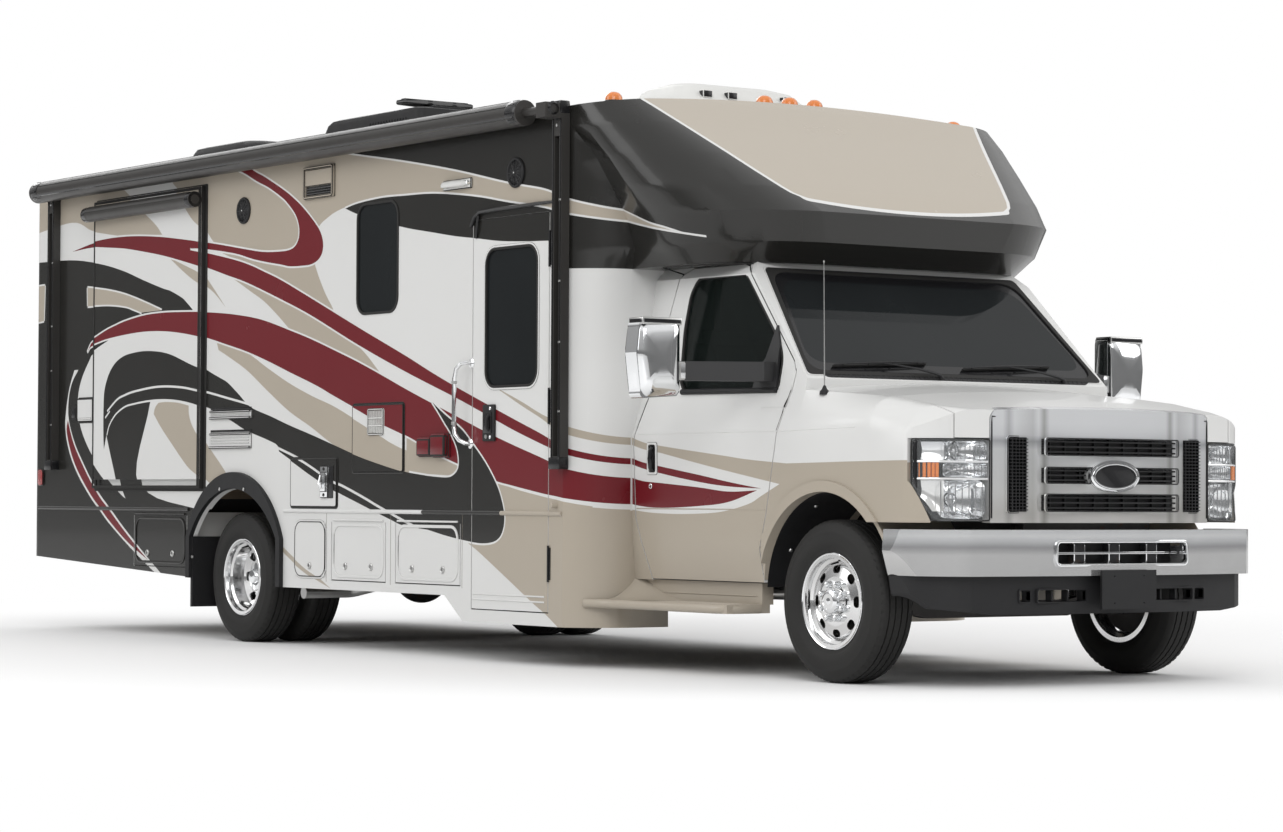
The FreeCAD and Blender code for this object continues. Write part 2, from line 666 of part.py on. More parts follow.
def windshield_plug(deep):
    """Solid of the windshield opening; deep 0 gives the pane itself."""
    front, run, rise = d.cab_front, d.windshield_run, d.cab_roof - d.cowl_height
    low, high = 0.05, 0.93
    reach = 120 if deep else 0
    inset, thick = (-reach, reach + 120) if deep else (4, 4 + d.glass)
    slope = run / math.hypot(run, rise), rise / math.hypot(run, rise)
    out = (-slope[1], slope[0])

    def at(share, depth):
        return (front + run * share - out[0] * depth, d.cowl_height + rise * share - out[1] * depth)

    side = prism([at(low, inset), at(high, inset), at(high, thick), at(low, thick)], "x", -1000, 1000)
    base, top = d.cowl_height + rise * low - 130, d.cowl_height + rise * high + 130
    lean = 0.255
    face = prism(symmetric([(900 + lean * 130, base), (900 - lean * (top - base - 130), top)]), "y", -200, 1400)
    return side.common(face)


def make_cab_door(side):
    """Door skin with its window cut, and the pane."""
    skin = cab_hull_section().cut(cab_hull_section(-d.door_thickness))
    skin = skin.cut(block((0, d.cab_half - 22 - d.door_thickness), (0, d.cab_rear), (0, 900)))
    window = prism(window_rows(), "x", 500, 1100)
    door = skin.common(prism(door_rows(), "x", 780, 1100)).cut(window)
    for low in (680, 1180):
        strap = prism(door_rows(), "x", d.cab_half - 50, d.cab_half - 28, d.door_gap - d.running_gap)
        door = door.fuse(strap.common(block((800, 1100), (300, 540), (low, low + 80))))
    door = door.removeSplitter()
    pane = cab_hull_section(-10).cut(cab_hull_section(-10 - d.glass)).common(window)
    if side == "right":
        door, pane = other_side(door), other_side(pane)
    sub_part(f"{side}_cab_door", shaped(f"{side}_cab_door_shape", door))
    sub_part(f"{side}_door_glass", shaped(f"{side}_door_glass_shape", pane))


def cab_hull_section(grow=0):
    """The cab's cross section swept past the doors."""
    return prism(cab_section(), "y", -900, d.cab_rear, grow)


# mirror head in front view, plate over the window's corner in side view, arm in plan
MIRROR_HEAD = [(1345, 1330), (1360, 1312), (1535, 1300), (1558, 1304, 1565, 1330), (1588, 1510), (1575, 1630),
               (1568, 1650, 1545, 1656), (1365, 1672), (1350, 1666, 1345, 1645)]
MIRROR_PLATE = [(455, 1345), (640, 1345), (620, 1430), (560, 1500), (500, 1650), (465, 1560)]
MIRROR_ARM = [(900, 480), (1000, 480), (1180, 590), (1360, 700), (1360, 750), (1120, 640), (900, 570)]


def make_mirror(side):
    """Chrome mirror head on a thick arm from the plate over the window's front corner."""
    plate = cab_hull_section(14).cut(cab_hull_section(0.3)).common(prism(MIRROR_PLATE, "x", 800, 1100))
    arm = prism(MIRROR_ARM, "z", 1385, 1475).cut(cab_hull_section(0.3))
    shape = prism(MIRROR_HEAD, "y", 680, 770).fuse(plate).fuse(arm)
    if side == "right":
        shape = other_side(shape)
    sub_part(f"{side}_mirror", shaped(f"{side}_mirror_shape", shape.removeSplitter()))


def make_dashboard():
    """Dashboard across the cab with the steering column and wheel."""
    inner = d.cab_front + d.cab_skin
    rows = [(inner, 950), (inner, 1330), (520, 1355), (640, 1290), (610, 1040), (420, 900)]
    dash = prism(rows, "x", -880, 880)
    column = Part.makeCylinder(32, 290, Vector(400, 560, 1040), Vector(0, 0.8, 0.35))
    centre = Vector(400, 828, 1157)
    axis = Vector(0, 0.8, 0.35)
    ring = Part.makeTorus(188, 15, centre, axis)
    spoke = cylinder(10, 376, (212, 828, 1157), "x")
    hub = Part.makeCylinder(55, 40, centre - axis.normalize() * 20, axis)
    sub_part("dashboard", shaped("dashboard_shape", dash.fuse(column).fuse(ring).fuse(spoke).fuse(hub)))


def make_seats():
    """Two captain's chairs on pedestals."""
    floor = d.cab_floor
    rows = [
        (960, floor + 280), (990, floor + 200), (1360, floor + 170), (1440, floor + 260), (1600, 1600),
        (1585, 1680), (1510, 1680), (1480, 1600), (1340, floor + 320), (1000, floor + 320),
    ]
    seat = prism(rows, "x", 210, 700).fuse(block((280, 620), (1040, 1340), (floor, floor + 190)))
    sub_part("cab_seats", shaped("cab_seats_shape", two_sides(seat.removeSplitter())))


def clip_plan():
    """Plan view of the front end: flat-curved grille face, rounded lamp corners, straight sides."""
    front, half, back = d.clip_front, d.cab_half, d.cab_front + 160
    return [
        (half + 5, back), (half + 5, -420), (half - 30, -600, half - 140, front + 112),
        (0, front, -half + 140, front + 112), (-half + 30, -600, -half - 5, -420), (-half - 5, back),
    ]


# Front end sections. Columns: station, then how far in from cab_half and down from cowl_height
# the side's top, the bend above it and the end of the crown lie, then the crown's drop.
CLIP_SECTIONS = (
    (-830, 0, 415, 120, 258, 400, 173, 155),
    (-560, 0, 265, 60, 182, 200, 138, 103),
    (-300, -2, 255, 38, 145, 140, 95, 58),
    (d.cab_front, -2, 255, 26, 155, 60, 55, 7),
)


def clip_solid(inset=0):
    """Front end filled in, or its inside when inset, within the plan view."""
    half, top, foot = d.cab_half, d.cowl_height, 300 - inset
    sections = []
    for station, side, shoulder, bend, bend_drop, edge, edge_drop, crown in CLIP_SECTIONS:
        x_side, x_edge, z_edge = half - side - inset, half - edge, top - edge_drop - inset
        x_bend, z_bend = half - bend - 0.7 * inset, top - bend_drop - 0.7 * inset
        sections.append(outline([
            (x_side, foot), (x_side, top - shoulder), (x_bend, z_bend, x_edge, z_edge),
            (0, top - crown - inset, -x_edge, z_edge), (-x_bend, z_bend, -x_side, top - shoulder),
            (-x_side, foot),
        ], "y", station))
    body = Part.makeLoft(sections, True, True)
    return body.common(prism(clip_plan(), "z", 200, 1500, -inset))


def hood_plan(gap):
    """Plan view of the hood; its seams with the fenders run forward from the cowl to the lamps."""
    return symmetric([(830 - gap, -1000), (848 - gap, -300), (900 - gap, d.cab_front - d.running_gap)])


def grille_rows():
    """Front view of the grille surround with its rounded top corners."""
    half, foot = d.grille_half, d.grille_foot
    top = 1300
    return [(-half, foot), (half, foot), (half, 1185), (half - 12, 1222, half - 52, 1240), (half - 52, top),
            (-half + 52, top), (-half + 52, 1240), (-half + 12, 1222, -half, 1185)]


def lamp_rows(gap=0):
    """Front view of a headlamp, its outer lower corner cut off; with a gap, of its recess."""
    foot, head = d.lamp_foot - 14 * gap, d.lamp_head + gap
    inner = d.grille_half + d.running_gap - 50 * gap
    return [(inner, foot), (928 + gap, foot), (928 + gap, d.lamp_foot), (986 + gap, 916), (1100, 916),
            (1100, head), (inner, head)]


def make_hood():
    """Clamshell hood over the front end, hinged at the cowl."""
    hood = clip_solid().cut(clip_solid(d.hood_skin))
    hood = hood.common(prism(hood_plan(d.door_gap / 2), "z", d.lamp_head + d.door_gap, 1500))
    behind = prism(clip_plan(), "z", 300, 1500, -d.grille_depth - d.door_gap)
    hood = hood.cut(prism(grille_rows(), "y", -1000, -600, d.door_gap).cut(behind))
    sub_part("hood", shaped("hood_shape", hood))


def make_fenders():
    """Front fenders: outer skin round the lamp, the wheel arch with its raised lip and the liner."""
    skin = clip_solid().cut(clip_solid(d.fender_skin)).common(
        block((600, 1100), (-1000, d.cab_front), (0, 1500)))
    ring = cab_hull_section().cut(cab_hull_section(-d.fender_skin))
    skin = skin.fuse(ring.common(block((600, 1100), (d.cab_front, 600), (0, 1500))))
    arch = cylinder(d.arch_radius, 800, (400, d.arch_station, d.arch_lift), "x")
    lip = cylinder(d.arch_radius + d.arch_lip, 20 + d.lip_proud, (d.cab_half - 20, d.arch_station, d.arch_lift), "x")
    lip = lip.common(block((900, 1100), (-900, 480), (d.cab_foot, 1100)))
    liner = cylinder(d.arch_radius + 20, 430, (545, d.arch_station, d.arch_lift), "x")
    keep = block((500, 1100), (-500, d.cab_front), (620, 1000)).fuse(
        block((500, 1100), (d.cab_front - 50, 510), (d.cab_foot + 20, 1000)))
    liner = liner.cut(arch).common(keep).common(cab_hull_section(-5))
    liner = liner.cut(prism(door_rows(), "x", 600, 1100, d.door_gap))
    fender = skin.fuse(lip).common(prism(fender_rows(), "x", 600, 1100)).cut(arch)
    fender = fender.cut(prism(hood_plan(-d.door_gap / 2), "z", d.lamp_head, 1500))
    fender = fender.cut(prism(lamp_rows(d.lamp_gap), "y", -1000, d.lamp_rear + d.lamp_gap)).fuse(liner)
    sub_part("fenders", shaped("fenders_shape", two_sides(fender.removeSplitter())))


# slots of the grille in front view: inner and outer edge across, foot, head
GRILLE_SLOTS = ((-400, 400, 790, 860), (-400, 400, 915, 980), (-400, 400, 1040, 1110),
                (478, 577, 785, 1115), (-577, -478, 785, 1115))


def make_front_end():
    """Grille and headlamps, following the curve of the front end."""
    body, centre = clip_solid(), d.clip_front
    grille = body.cut(prism(clip_plan(), "z", 300, 1500, -d.grille_depth)).common(
        prism(grille_rows(), "y", -1000, -600))
    for start, end, low, high in GRILLE_SLOTS:
        grille = grille.cut(block((start, end), (-1000, -500), (low, high)))
    emblem = cylinder(1, 42, (0, 0, 0), "y")
    stretch = FreeCAD.Matrix(150, 0, 0, 0, 0, 1, 0, centre - 22, 0, 0, 70, 945)
    grille = grille.fuse(emblem.transformGeometry(stretch))
    support = block((-600, 600), (centre, d.rail_nose), (d.grille_foot, d.grille_foot + 40)).common(
        prism(clip_plan(), "z", 300, 1500, -d.grille_depth / 2))
    sub_part("grille", shaped("grille_shape", grille.fuse(support).removeSplitter()))
    lamp = body.cut(prism(clip_plan(), "z", 300, 1500, -150)).common(
        prism(lamp_rows(), "y", -1000, d.lamp_rear))
    sub_part("headlamps", shaped("headlamps_shape", two_sides(lamp)))


def bumper_plan(back=0):
    """Plan view of the bumper's face, moved back by a distance."""
    front = d.bumper_front + back
    half = d.bumper_half - back
    return [
        (half, -430), (half - 12, -560, half - 190, front + 75), (0, front, -half + 190, front + 75),
        (-half + 12, -560, -half, -430),
    ]


# slots of the valance: left and right edge, foot, head
VALANCE_SLOTS = ((-560, -500, 385, 437), (-470, -190, 385, 437), (190, 470, 385, 437), (500, 560, 385, 437))


def make_bumper():
    """Chrome bumper with its air slot, and the black valance with the plate bracket below it."""
    foot, head, half = d.bumper_foot, d.bumper_head, d.bumper_half
    chrome = prism(bumper_plan(), "z", foot, head).cut(prism(bumper_plan(35), "z", foot - 1, head - 12))
    chrome = chrome.cut(prism(bumper_plan(95), "z", foot - 1, head + 1))
    chrome = chrome.cut(block((-393, 393), (-1000, -600), (550, 650)))
    ends = symmetric([(half - 35, foot), (half, foot + 110), (half - 8, head)])
    chrome = chrome.common(prism(ends, "y", -1000, 0))
    horn = block((395, 465), (d.bumper_front + 20, d.rail_nose), (foot + 20, foot + 130))
    chrome = chrome.fuse(horn).fuse(other_side(horn)).common(prism(bumper_plan(), "z", foot, head).fuse(
        block((-500, 500), (-800, d.rail_nose), (foot, head))))
    sub_part("front_bumper", shaped("front_bumper_shape", chrome.removeSplitter()))
    band = prism(bumper_plan(38), "z", 300, foot).cut(prism(bumper_plan(62), "z", 290, foot + 1))
    ends = symmetric([(690, 330), (half - 96, 356), (half - 52, 420), (half - 38, foot)])
    band = band.common(prism(ends, "y", -1000, 0))
    for start, end, low, high in VALANCE_SLOTS:
        band = band.cut(block((start, end), (-1000, -600), (low, high)))
    plate = -d.front_reach
    bracket = block((-165, 165), (plate, plate + 12), (350, 525)).fuse(
        block((-60, 60), (plate + 12, d.bumper_front + 45), (430, foot)))
    for x in (-89, 89):
        for z in (377, 498):
            bracket = bracket.cut(cylinder(3.5, 40, (x, plate - 5, z), "y"))
    sub_part("bumper_valance", shaped("bumper_valance_shape", band.fuse(bracket).removeSplitter()))


# ---------------------------------------------------------------- coach
def coach_plan():
    """Plan view of the coach: rounded nose of the cap, straight sides, rounded rear corners."""
    half, nose, rear = d.half_width, d.nose_station, d.rear_face
    corner = rear - d.cap_station
    arm = corner * (1 - math.sqrt(0.5))
    return [
        (half, rear - corner), (half - arm, rear - arm, half - corner, rear), (-half + corner, rear),
        (-half + arm, rear - arm, -half, rear - corner), (-half, nose + 850),
        (-half + 120, nose + 370, -800, nose + 130), (0, nose, 800, nose + 130),
        (half - 120, nose + 370, half, nose + 850),
    ]


def coach_section(low):
    """Cross section of the coach from a height up to the crowned roof."""
    edge, crown = d.roof_edge + d.roof_rim, d.roof_edge + d.roof_rim + d.roof_crown
    return [(d.half_width, low), (d.half_width, edge), (0, crown, -d.half_width, edge), (-d.half_width, low)]


def coach_hull():
    """Outer solid of the coach body with its crowned roof."""
    return prism(coach_section(0), "y", 0, d.rear_face + 10).common(prism(coach_plan(), "z", 0, 3200))


# Sections of the overcab cap. Columns: height; how far from the cab's side (0) to the coach's (1)
# the side's front end and the bulge lie, with their stations; the nose's edge as a share of
# half_width and its station.
CAP_SECTIONS = (
    (d.cap_foot, 0.018, 1550, 0.00, 1200, 0.390, 720),
    (2060, 0.070, 1510, 0.25, 1210, 0.430, 592),
    (2204, 0.210, 1520, 0.49, 1250, 0.470, 553),
    (2330, 0.420, 1540, 0.70, 1300, 0.515, 728),
    (2500, 0.700, 1580, 0.86, 1420, 0.610, 975),
    (2660, 0.979, 1680, 0.98, 1580, 0.740, 1210),
    (2800, 0.999, 1725, 1.00, 1670, 0.780, 1410),
    (2950, 0.999, 1732, 1.00, 1700, 0.860, 1640),
)


def cap_solid(inset=0):
    """Overcab cap filled in, or its inside when inset: level sections lofted upwards."""
    half, cab, back = d.half_width, d.cab_half, d.wall_front + inset
    shift = d.nose_station - 553 + inset
    sections = []
    for height, side_share, side_y, bulge_share, bulge_y, nose_share, nose_y in CAP_SECTIONS:
        side = cab + side_share * (half - cab) - inset
        bulge = cab + bulge_share * (half - cab) - inset
        nose, wide = nose_share * half - 0.4 * inset, half - inset
        lean = (wide - side) / (half - cab)
        via = ((wide + side) / 2 + 15 * lean + 0.8, (back + side_y) / 2 - 45 * lean)
        bulge_y, nose_y = bulge_y + inset, nose_y + shift
        bend = (nose + 0.72 * (bulge - nose), nose_y + 0.28 * (bulge_y - nose_y))
        low = height == d.cap_foot and inset
        sections.append(outline([
            (wide, back), via + (side, side_y), (bulge, bulge_y), bend + (nose, nose_y),
            (-nose, nose_y), (-bend[0], bend[1], -bulge, bulge_y), (-side, side_y),
            (-via[0], via[1], -wide, back),
        ], "z", height + (inset if low else 0)))
    return Part.makeLoft(sections, True, True).common(prism(coach_section(0), "y", 0, d.rear_face, -inset))


def make_cap():
    """Overcab cap: hollow, open to the coach behind and to the cab below."""
    cap = cap_solid().cut(cap_solid(d.cap_skin))
    cap = cap.common(block((-d.half_width, d.half_width), (0, d.wall_front), (0, 3000)))
    opening = block((-760, 760), (d.nose_station + 420, d.wall_front + 10),
                    (d.cap_foot - 10, d.cap_foot + 200))
    cap = cap.cut(opening).cut(cab_hull(0.3, 0.3))
    sub_part("overcab_cap", shaped("overcab_cap_shape", cap.removeSplitter()))


def make_corner_panels():
    """Running board and sill under each cab door, and the panel that widens to the coach wall."""
    half = d.half_width
    rows = [
        (780, 1552), (d.cab_half + 10, 1552), (d.cab_half + 160, 1600, half, d.wall_front),
        (half - 30, d.wall_front), (d.cab_half + 145, 1630, d.cab_half - 5, 1582), (780, 1582),
    ]
    panel = prism(rows, "z", d.step_foot, d.cap_foot).cut(prism(cab_section(), "y", 0, 2000, 0.3))
    board = block((900, 1150), (560, 1560), (300, 340))
    sill = block((880, 945), (560, 1560), (340, d.cab_foot))
    panel = panel.fuse(board).fuse(sill).removeSplitter()
    sub_part("corner_panels", shaped("corner_panels_shape", two_sides(panel)))


def arch_rows():
    """Rows of the rear wheel opening."""
    middle = (d.flare_front + d.flare_rear) / 2
    return [(d.flare_front, 0), (d.flare_front, d.flare_spring),
            (middle, d.flare_head, d.flare_rear, d.flare_spring), (d.flare_rear, 0)]


WINDOW_CORNER = 70
TALL_WINDOW = rounded((3330, 3750), (1825, 2410), WINDOW_CORNER)
LEFT_WINDOW = rounded((d.cap_station - 1810, d.cap_station - 810), (1500, 2150), WINDOW_CORNER)
REAR_WINDOW = rounded((-450, 450), (1500, 2050), WINDOW_CORNER)
ENTRY_WINDOW = rounded((d.entry_front + 105, d.entry_front + 580), (1400, 2095), 75)


def wall_hole(rows, side):
    """Prism through the side wall on one side."""
    return prism(rows, "x", *sorted((side * (d.half_width - 100), side * (d.half_width + 100))))


def make_walls():
    """Side walls with the doorway, windows, slide-out openings and wheel openings cut."""
    inside = "half_width - wall_thickness"
    limits = (("-half_width", "wall_front", "wall_foot"), (f"-({inside})", "cap_station", "roof_edge"))
    door = slab("doorway", ("-half_width - 9", "entry_front - door_gap", "wall_foot - 9"),
                ("-half_width + 99", "entry_front + entry_width + door_gap", "entry_head + door_gap"))
    slide = slab("right_slide_hole", ("-half_width - 9", "right_slide_front", "slide_foot - 5"),
                 ("-half_width + 99", "right_slide_front + right_slide_length", "slide_head + slide_gap"))
    arch = shaped("wheel_hole", prism(arch_rows(), "x", -d.half_width - 9, d.half_width + 9))
    window = shaped("tall_window_hole", wall_hole(TALL_WINDOW, -1))
    right = cut("right_wall_cut", slab("right_wall_blank", *limits), [door, slide, window])
    sub_part("right_wall", cut("right_wall_open", right, [arch]))
    left_limits = ((inside, "wall_front", "wall_foot"), ("half_width", "cap_station", "roof_edge"))
    left_slide = slab("left_slide_hole", ("half_width - 99", "left_slide_front", "slide_foot - 5"),
                      ("half_width + 9", "left_slide_front + left_slide_length", "slide_head + slide_gap"))
    rear_window = shaped("left_window_hole", wall_hole(LEFT_WINDOW, 1))
    left = cut("left_wall_cut", slab("left_wall_blank", *left_limits), [left_slide, rear_window])
    sub_part("left_wall", cut("left_wall_open", left, [arch]))
    tall = prism(TALL_WINDOW, "x", -d.half_width + 4, -d.half_width + 4 + d.glass)
    wide = prism(LEFT_WINDOW, "x", d.half_width - 4 - d.glass, d.half_width - 4)
    back = prism(REAR_WINDOW, "y", d.rear_face - 4 - d.glass, d.rear_face - 4)
    panes = [windshield_plug(0), tall, wide, back]
    sub_part("window_glass", shaped("window_glass_shape", Part.makeCompound(panes)))


def make_rear_wall():
    """Rear cap with rounded corners, its window and the cut-out for the bumper."""
    plan = prism(coach_plan(), "z", 450, d.roof_edge)
    wall = plan.cut(prism(coach_plan(), "z", 440, d.roof_edge + 10, -d.wall_thickness))
    bay = d.half_width - 185
    wall = wall.common(block((-d.half_width, d.half_width), (d.cap_station, d.rear_face + 10), (0, 3000)))
    wall = wall.cut(block((-bay, bay), (d.cap_station, d.rear_face + 10), (0, 620)))
    wall = wall.cut(prism(REAR_WINDOW, "y", d.cap_station, d.rear_face + 10))
    sub_part("rear_wall", shaped("rear_wall_shape", wall))


def make_roof():
    """Crowned roof from the cap to the rear."""
    crown = prism(coach_section(d.roof_edge), "y", d.wall_front, d.rear_face + 10)
    inside, low = d.half_width - d.wall_thickness, d.roof_edge - 200
    middle = d.roof_edge + d.roof_rim - d.roof_thickness + d.roof_crown
    under = prism([(inside, low), (inside, d.roof_edge), (0, middle, -inside, d.roof_edge), (-inside, low)],
                  "y", d.wall_front - 5, d.rear_face - d.wall_thickness)
    roof = crown.cut(under).common(prism(coach_plan(), "z", 0, 3200))
    sub_part("roof", shaped("roof_shape", roof))


def make_floor():
    """Coach floor with a raised well over each pair of rear wheels and the entry step."""
    inside = d.half_width - d.wall_thickness
    low, top = d.floor_top - d.floor_thickness, d.floor_top
    floor = block((-inside, inside), (d.wall_front, d.rear_face - d.wall_thickness), (low, top))
    floor = floor.common(prism(coach_plan(), "z", 0, 2000, -d.wall_thickness))
    bay = (d.entry_front - 6, d.entry_front + d.entry_width + 6)
    floor = floor.cut(block((-inside - 1, -700), bay, (0, 2000)))
    step = block((-inside, -700), bay, (top - 300, top - 270))
    riser = block((-730, -700), bay, (top - 300, top))
    floor = floor.fuse(step).fuse(riser)
    for side in (-1, 1):
        outer = sorted((side * 640, side * inside))
        hole = sorted((side * 670, side * (inside + 10)))
        well = block(outer, (d.flare_front - 60, d.flare_rear + 60), (low, top + 60))
        hole = block(hole, (d.flare_front - 30, d.flare_rear + 30), (low - 200, top + 30))
        floor = floor.fuse(well).cut(hole)
    sub_part("coach_floor", shaped("coach_floor_shape", floor.removeSplitter()))


# hatches: name, side, front station, rear station, foot, head
HATCHES = (
    ("right_front_hatch", -1, 2690, 3330, 385, 700),
    ("right_middle_hatch", -1, 3440, 4010, 385, 700),
    ("right_rear_hatch", -1, d.flare_rear + 80, d.flare_rear + 760, 420, 720),
    ("left_middle_hatch", 1, 2690, 4010, 385, 700),
)


def make_skirts():
    """Skirts under the walls, with their hatches and the lockers behind them."""
    outer, inner = d.half_width, d.half_width - d.skirt_thickness
    rows = [(d.wall_front, d.step_foot), (2660, d.step_foot), (2840, d.skirt_foot),
            (d.flare_front, d.skirt_foot), (d.flare_rear, d.flare_foot), (d.cap_station, 450), (d.cap_station, d.wall_foot),
            (d.wall_front, d.wall_foot)]
    gap = d.door_gap
    skirt = prism(rows, "x", -outer, -inner).cut(prism(arch_rows(), "x", -outer - 9, -inner + 9))
    right, left = skirt, other_side(skirt)
    doorway = (d.entry_front - gap, d.entry_front + d.entry_width + gap)
    right = right.cut(block((-outer - 9, -inner + 9), doorway, (d.entry_sill - gap, 2000)))
    lockers = []
    for name, side, start, end, foot, head in HATCHES:
        across = sorted((side * (inner - 9), side * (outer + 9)))
        hole = block(across, (start - gap, end + gap), (foot - gap, head + d.running_gap))
        right, left = right.cut(hole), left.cut(hole)
        leaf = block(sorted((side * inner, side * outer)), (start, end), (foot, head))
        sub_part(name, shaped(name + "_shape", leaf))
        liner = block(sorted((side * 850, side * inner)), (start - 20, end + 20), (foot - 20, head + 20))
        room = block(sorted((side * 865, side * (inner + 5))), (start - 8, end + 8), (foot - 8, head + 8))
        lockers.append(liner.cut(room))
    sub_part("skirts", shaped("skirts_shape", Part.makeCompound([right, left])))
    sub_part("lockers", shaped("lockers_shape", Part.makeCompound(lockers)))


def make_flares():
    """Flares round the rear wheel openings, with a mud flap behind."""
    front, rear = d.flare_front - d.flare_side, d.flare_rear + d.flare_side
    rows = [(front, d.skirt_foot), (front, d.flare_spring),
            ((front + rear) / 2, d.flare_head + d.flare_width, rear, d.flare_spring), (rear, d.flare_foot)]
    face = -d.half_width - d.flare_proud
    flare = prism(rows, "x", face, -d.half_width).cut(prism(arch_rows(), "x", face - 9, -d.half_width + 9))
    flap = block((-d.half_width - 9, -740), (d.flare_rear - 12, d.flare_rear + 12), (190, d.flare_spring))
    flap = flap.cut(block((-d.half_width, -740), (d.flare_rear, d.flare_rear + 20), (100, 900)))
    sub_part("wheel_flares", shaped("wheel_flares_shape", two_sides(flare.fuse(flap))))


def make_entry_door():
    """Entry door with its window, and the pane."""
    outer, inner = -d.half_width, -d.half_width + d.wall_thickness
    start, end = d.entry_front, d.entry_front + d.entry_width
    leaf = block((outer, inner), (start, end), (d.entry_sill, d.entry_head)).cut(wall_hole(ENTRY_WINDOW, -1))
    for low in (450, 1150, 1900):
        leaf = leaf.fuse(block((outer + 5, inner - 5), (start - d.door_gap + d.running_gap, start),
                               (low, low + 170)))
    leaf = leaf.removeSplitter()
    sub_part("entry_door", shaped("entry_door_shape", leaf))
    pane = prism(ENTRY_WINDOW, "x", outer + 6, outer + 6 + d.glass)
    sub_part("entry_door_glass", shaped("entry_glass_shape", pane))


def make_slide_out(side):
    """Slide-out room: open inward, flanged over the wall, on runners on the coach floor."""
    sign = 1 if side == "left" else -1
    start = d.left_slide_front if side == "left" else d.right_slide_front
    length = d.left_slide_length if side == "left" else d.right_slide_length
    gap, lap, skin = d.slide_gap, d.flange_lap, d.slide_skin
    low, high = d.slide_foot, d.slide_head
    face = d.half_width + d.flange_gap
    box = block((d.half_width - d.slide_depth, face), (start + gap, start + length - gap), (low, high))
    room = block((0, d.half_width - skin), (start + gap + skin, start + length - gap - skin),
                 (low + skin, high - skin))
    flange = block((face, face + d.flange_proud), (start - lap, start + length + lap),
                   (low - lap, high + lap))
    shape = box.cut(room).fuse(flange)
    deep = d.half_width - d.slide_depth
    for station in (start + 220, start + length - 280):
        shape = shape.fuse(block((deep, deep + 50), (station, station + 60),
                                 (d.floor_top + d.running_gap, low)))
    if side == "left":
        window = rounded((start + 450, start + length - 450), (1500, 2150), 70)
        shape = shape.cut(prism(window, "x", d.half_width - 100, face + 100))
        pane = prism(window, "x", face + 6, face + 6 + d.glass)
        sub_part("left_slide_glass", shaped("left_slide_glass_shape", pane))
    roller = cylinder(46, length + 60, (face + d.flange_proud + 46, start - 30, high - 55), "y")
    shape = shape.removeSplitter()
    if sign < 0:
        shape, roller = other_side(shape), other_side(roller)
    sub_part(f"{side}_slide_out", shaped(f"{side}_slide_shape", shape))
    sub_part(f"{side}_slide_topper", shaped(f"{side}_topper_shape", roller))


def make_awning():
    """Rolled awning in its case along the right wall, with its two folded arms."""
    wall, top = -d.half_width, d.awning_height + 30
    centre, arm_face = wall - d.awning_proud, wall - d.arm_proud
    shape = cylinder(d.awning_radius, d.awning_rear - d.awning_front,
                     (centre, d.awning_front, d.awning_height), "y")
    for station, low in ((d.awning_front - 255, 980), (d.awning_rear - 130, 1000)):
        arm = block((arm_face, wall), (station, station + d.arm_width), (low, top))
        arm = arm.cut(block((arm_face - 1, wall - 12), (station + 22, station + d.arm_width - 22),
                            (low + 60, top - 160)))
        end = block((centre - 50, wall), (station, station + d.arm_width), (top - 75, top))
        shape = shape.fuse(arm).fuse(end)
    bridge = cylinder(22, 210, (centre, d.awning_front - 210, d.awning_height), "y")
    rail = block((wall - 40, wall), (d.awning_front, d.awning_rear),
                 (d.awning_height - 12, d.awning_height + 12))
    shape = shape.fuse(bridge).fuse(rail)
    sub_part("awning", shaped("awning_shape", shape.removeSplitter()))


def seated(shape):
    """A roof fitting trimmed to the crowned roof."""
    return shape.cut(coach_hull())


def tapered(x, y, low, high, draw):
    """Moulded cover: a box whose top is drawn in."""
    bottom = outline([(x[0], y[0]), (x[1], y[0]), (x[1], y[1]), (x[0], y[1])], "z", low)
    top = outline([(x[0] + draw, y[0] + draw), (x[1] - draw, y[0] + draw), (x[1] - draw, y[1] - draw),
                   (x[0] + draw, y[1] - draw)], "z", high)
    return Part.makeLoft([bottom, top], True, True)


def make_roof_fittings():
    """Air conditioner, covered roof vent, skylight."""
    low = d.roof_edge
    unit = tapered((-340, 340), (d.rear_face - 1240, d.rear_face - 160), low, d.unit_top, 60)
    sub_part("air_conditioner", shaped("air_conditioner_shape", seated(unit)))
    box = tapered((-820, -180), (3900, 5150), low, d.unit_top - 30, 50)
    sub_part("roof_box", shaped("roof_box_shape", seated(box)))
    dome = tapered((-500, 500), (1850, 2600), low, 3000, 110)
    sub_part("skylight", shaped("skylight_shape", seated(dome)))


# clearance lamps on the cap: across, head
CLEARANCE_LAMPS = ((-1090, 2826), (-160, 2878), (0, 2878), (160, 2878), (1090, 2826))


def make_lamps():
    """Clearance lamps on the cap and tail lamps on the rear wall."""
    face, out = d.rear_face, d.half_width
    lamps = [seated(tapered((x - 50, x + 50), (1572, 1628), d.roof_edge, head, 12))
             for x, head in CLEARANCE_LAMPS]
    for x in (225 - out, out - 225):
        lamps.append(block((x - 65, x + 65), (face, face + 8), (900, 1330)))
    for x in (-900, -160, 0, 160, 900):
        lamps.append(block((x - 50, x + 50), (face, face + 8), (d.roof_edge - 110, d.roof_edge - 80)))
    for side in (-1, 1):
        lamps.append(block(sorted((side * out, side * (out + 12))), (face - 180, face - 110), (900, 1000)))
    sub_part("outer_lamps", shaped("outer_lamps_shape", Part.makeCompound(lamps)))


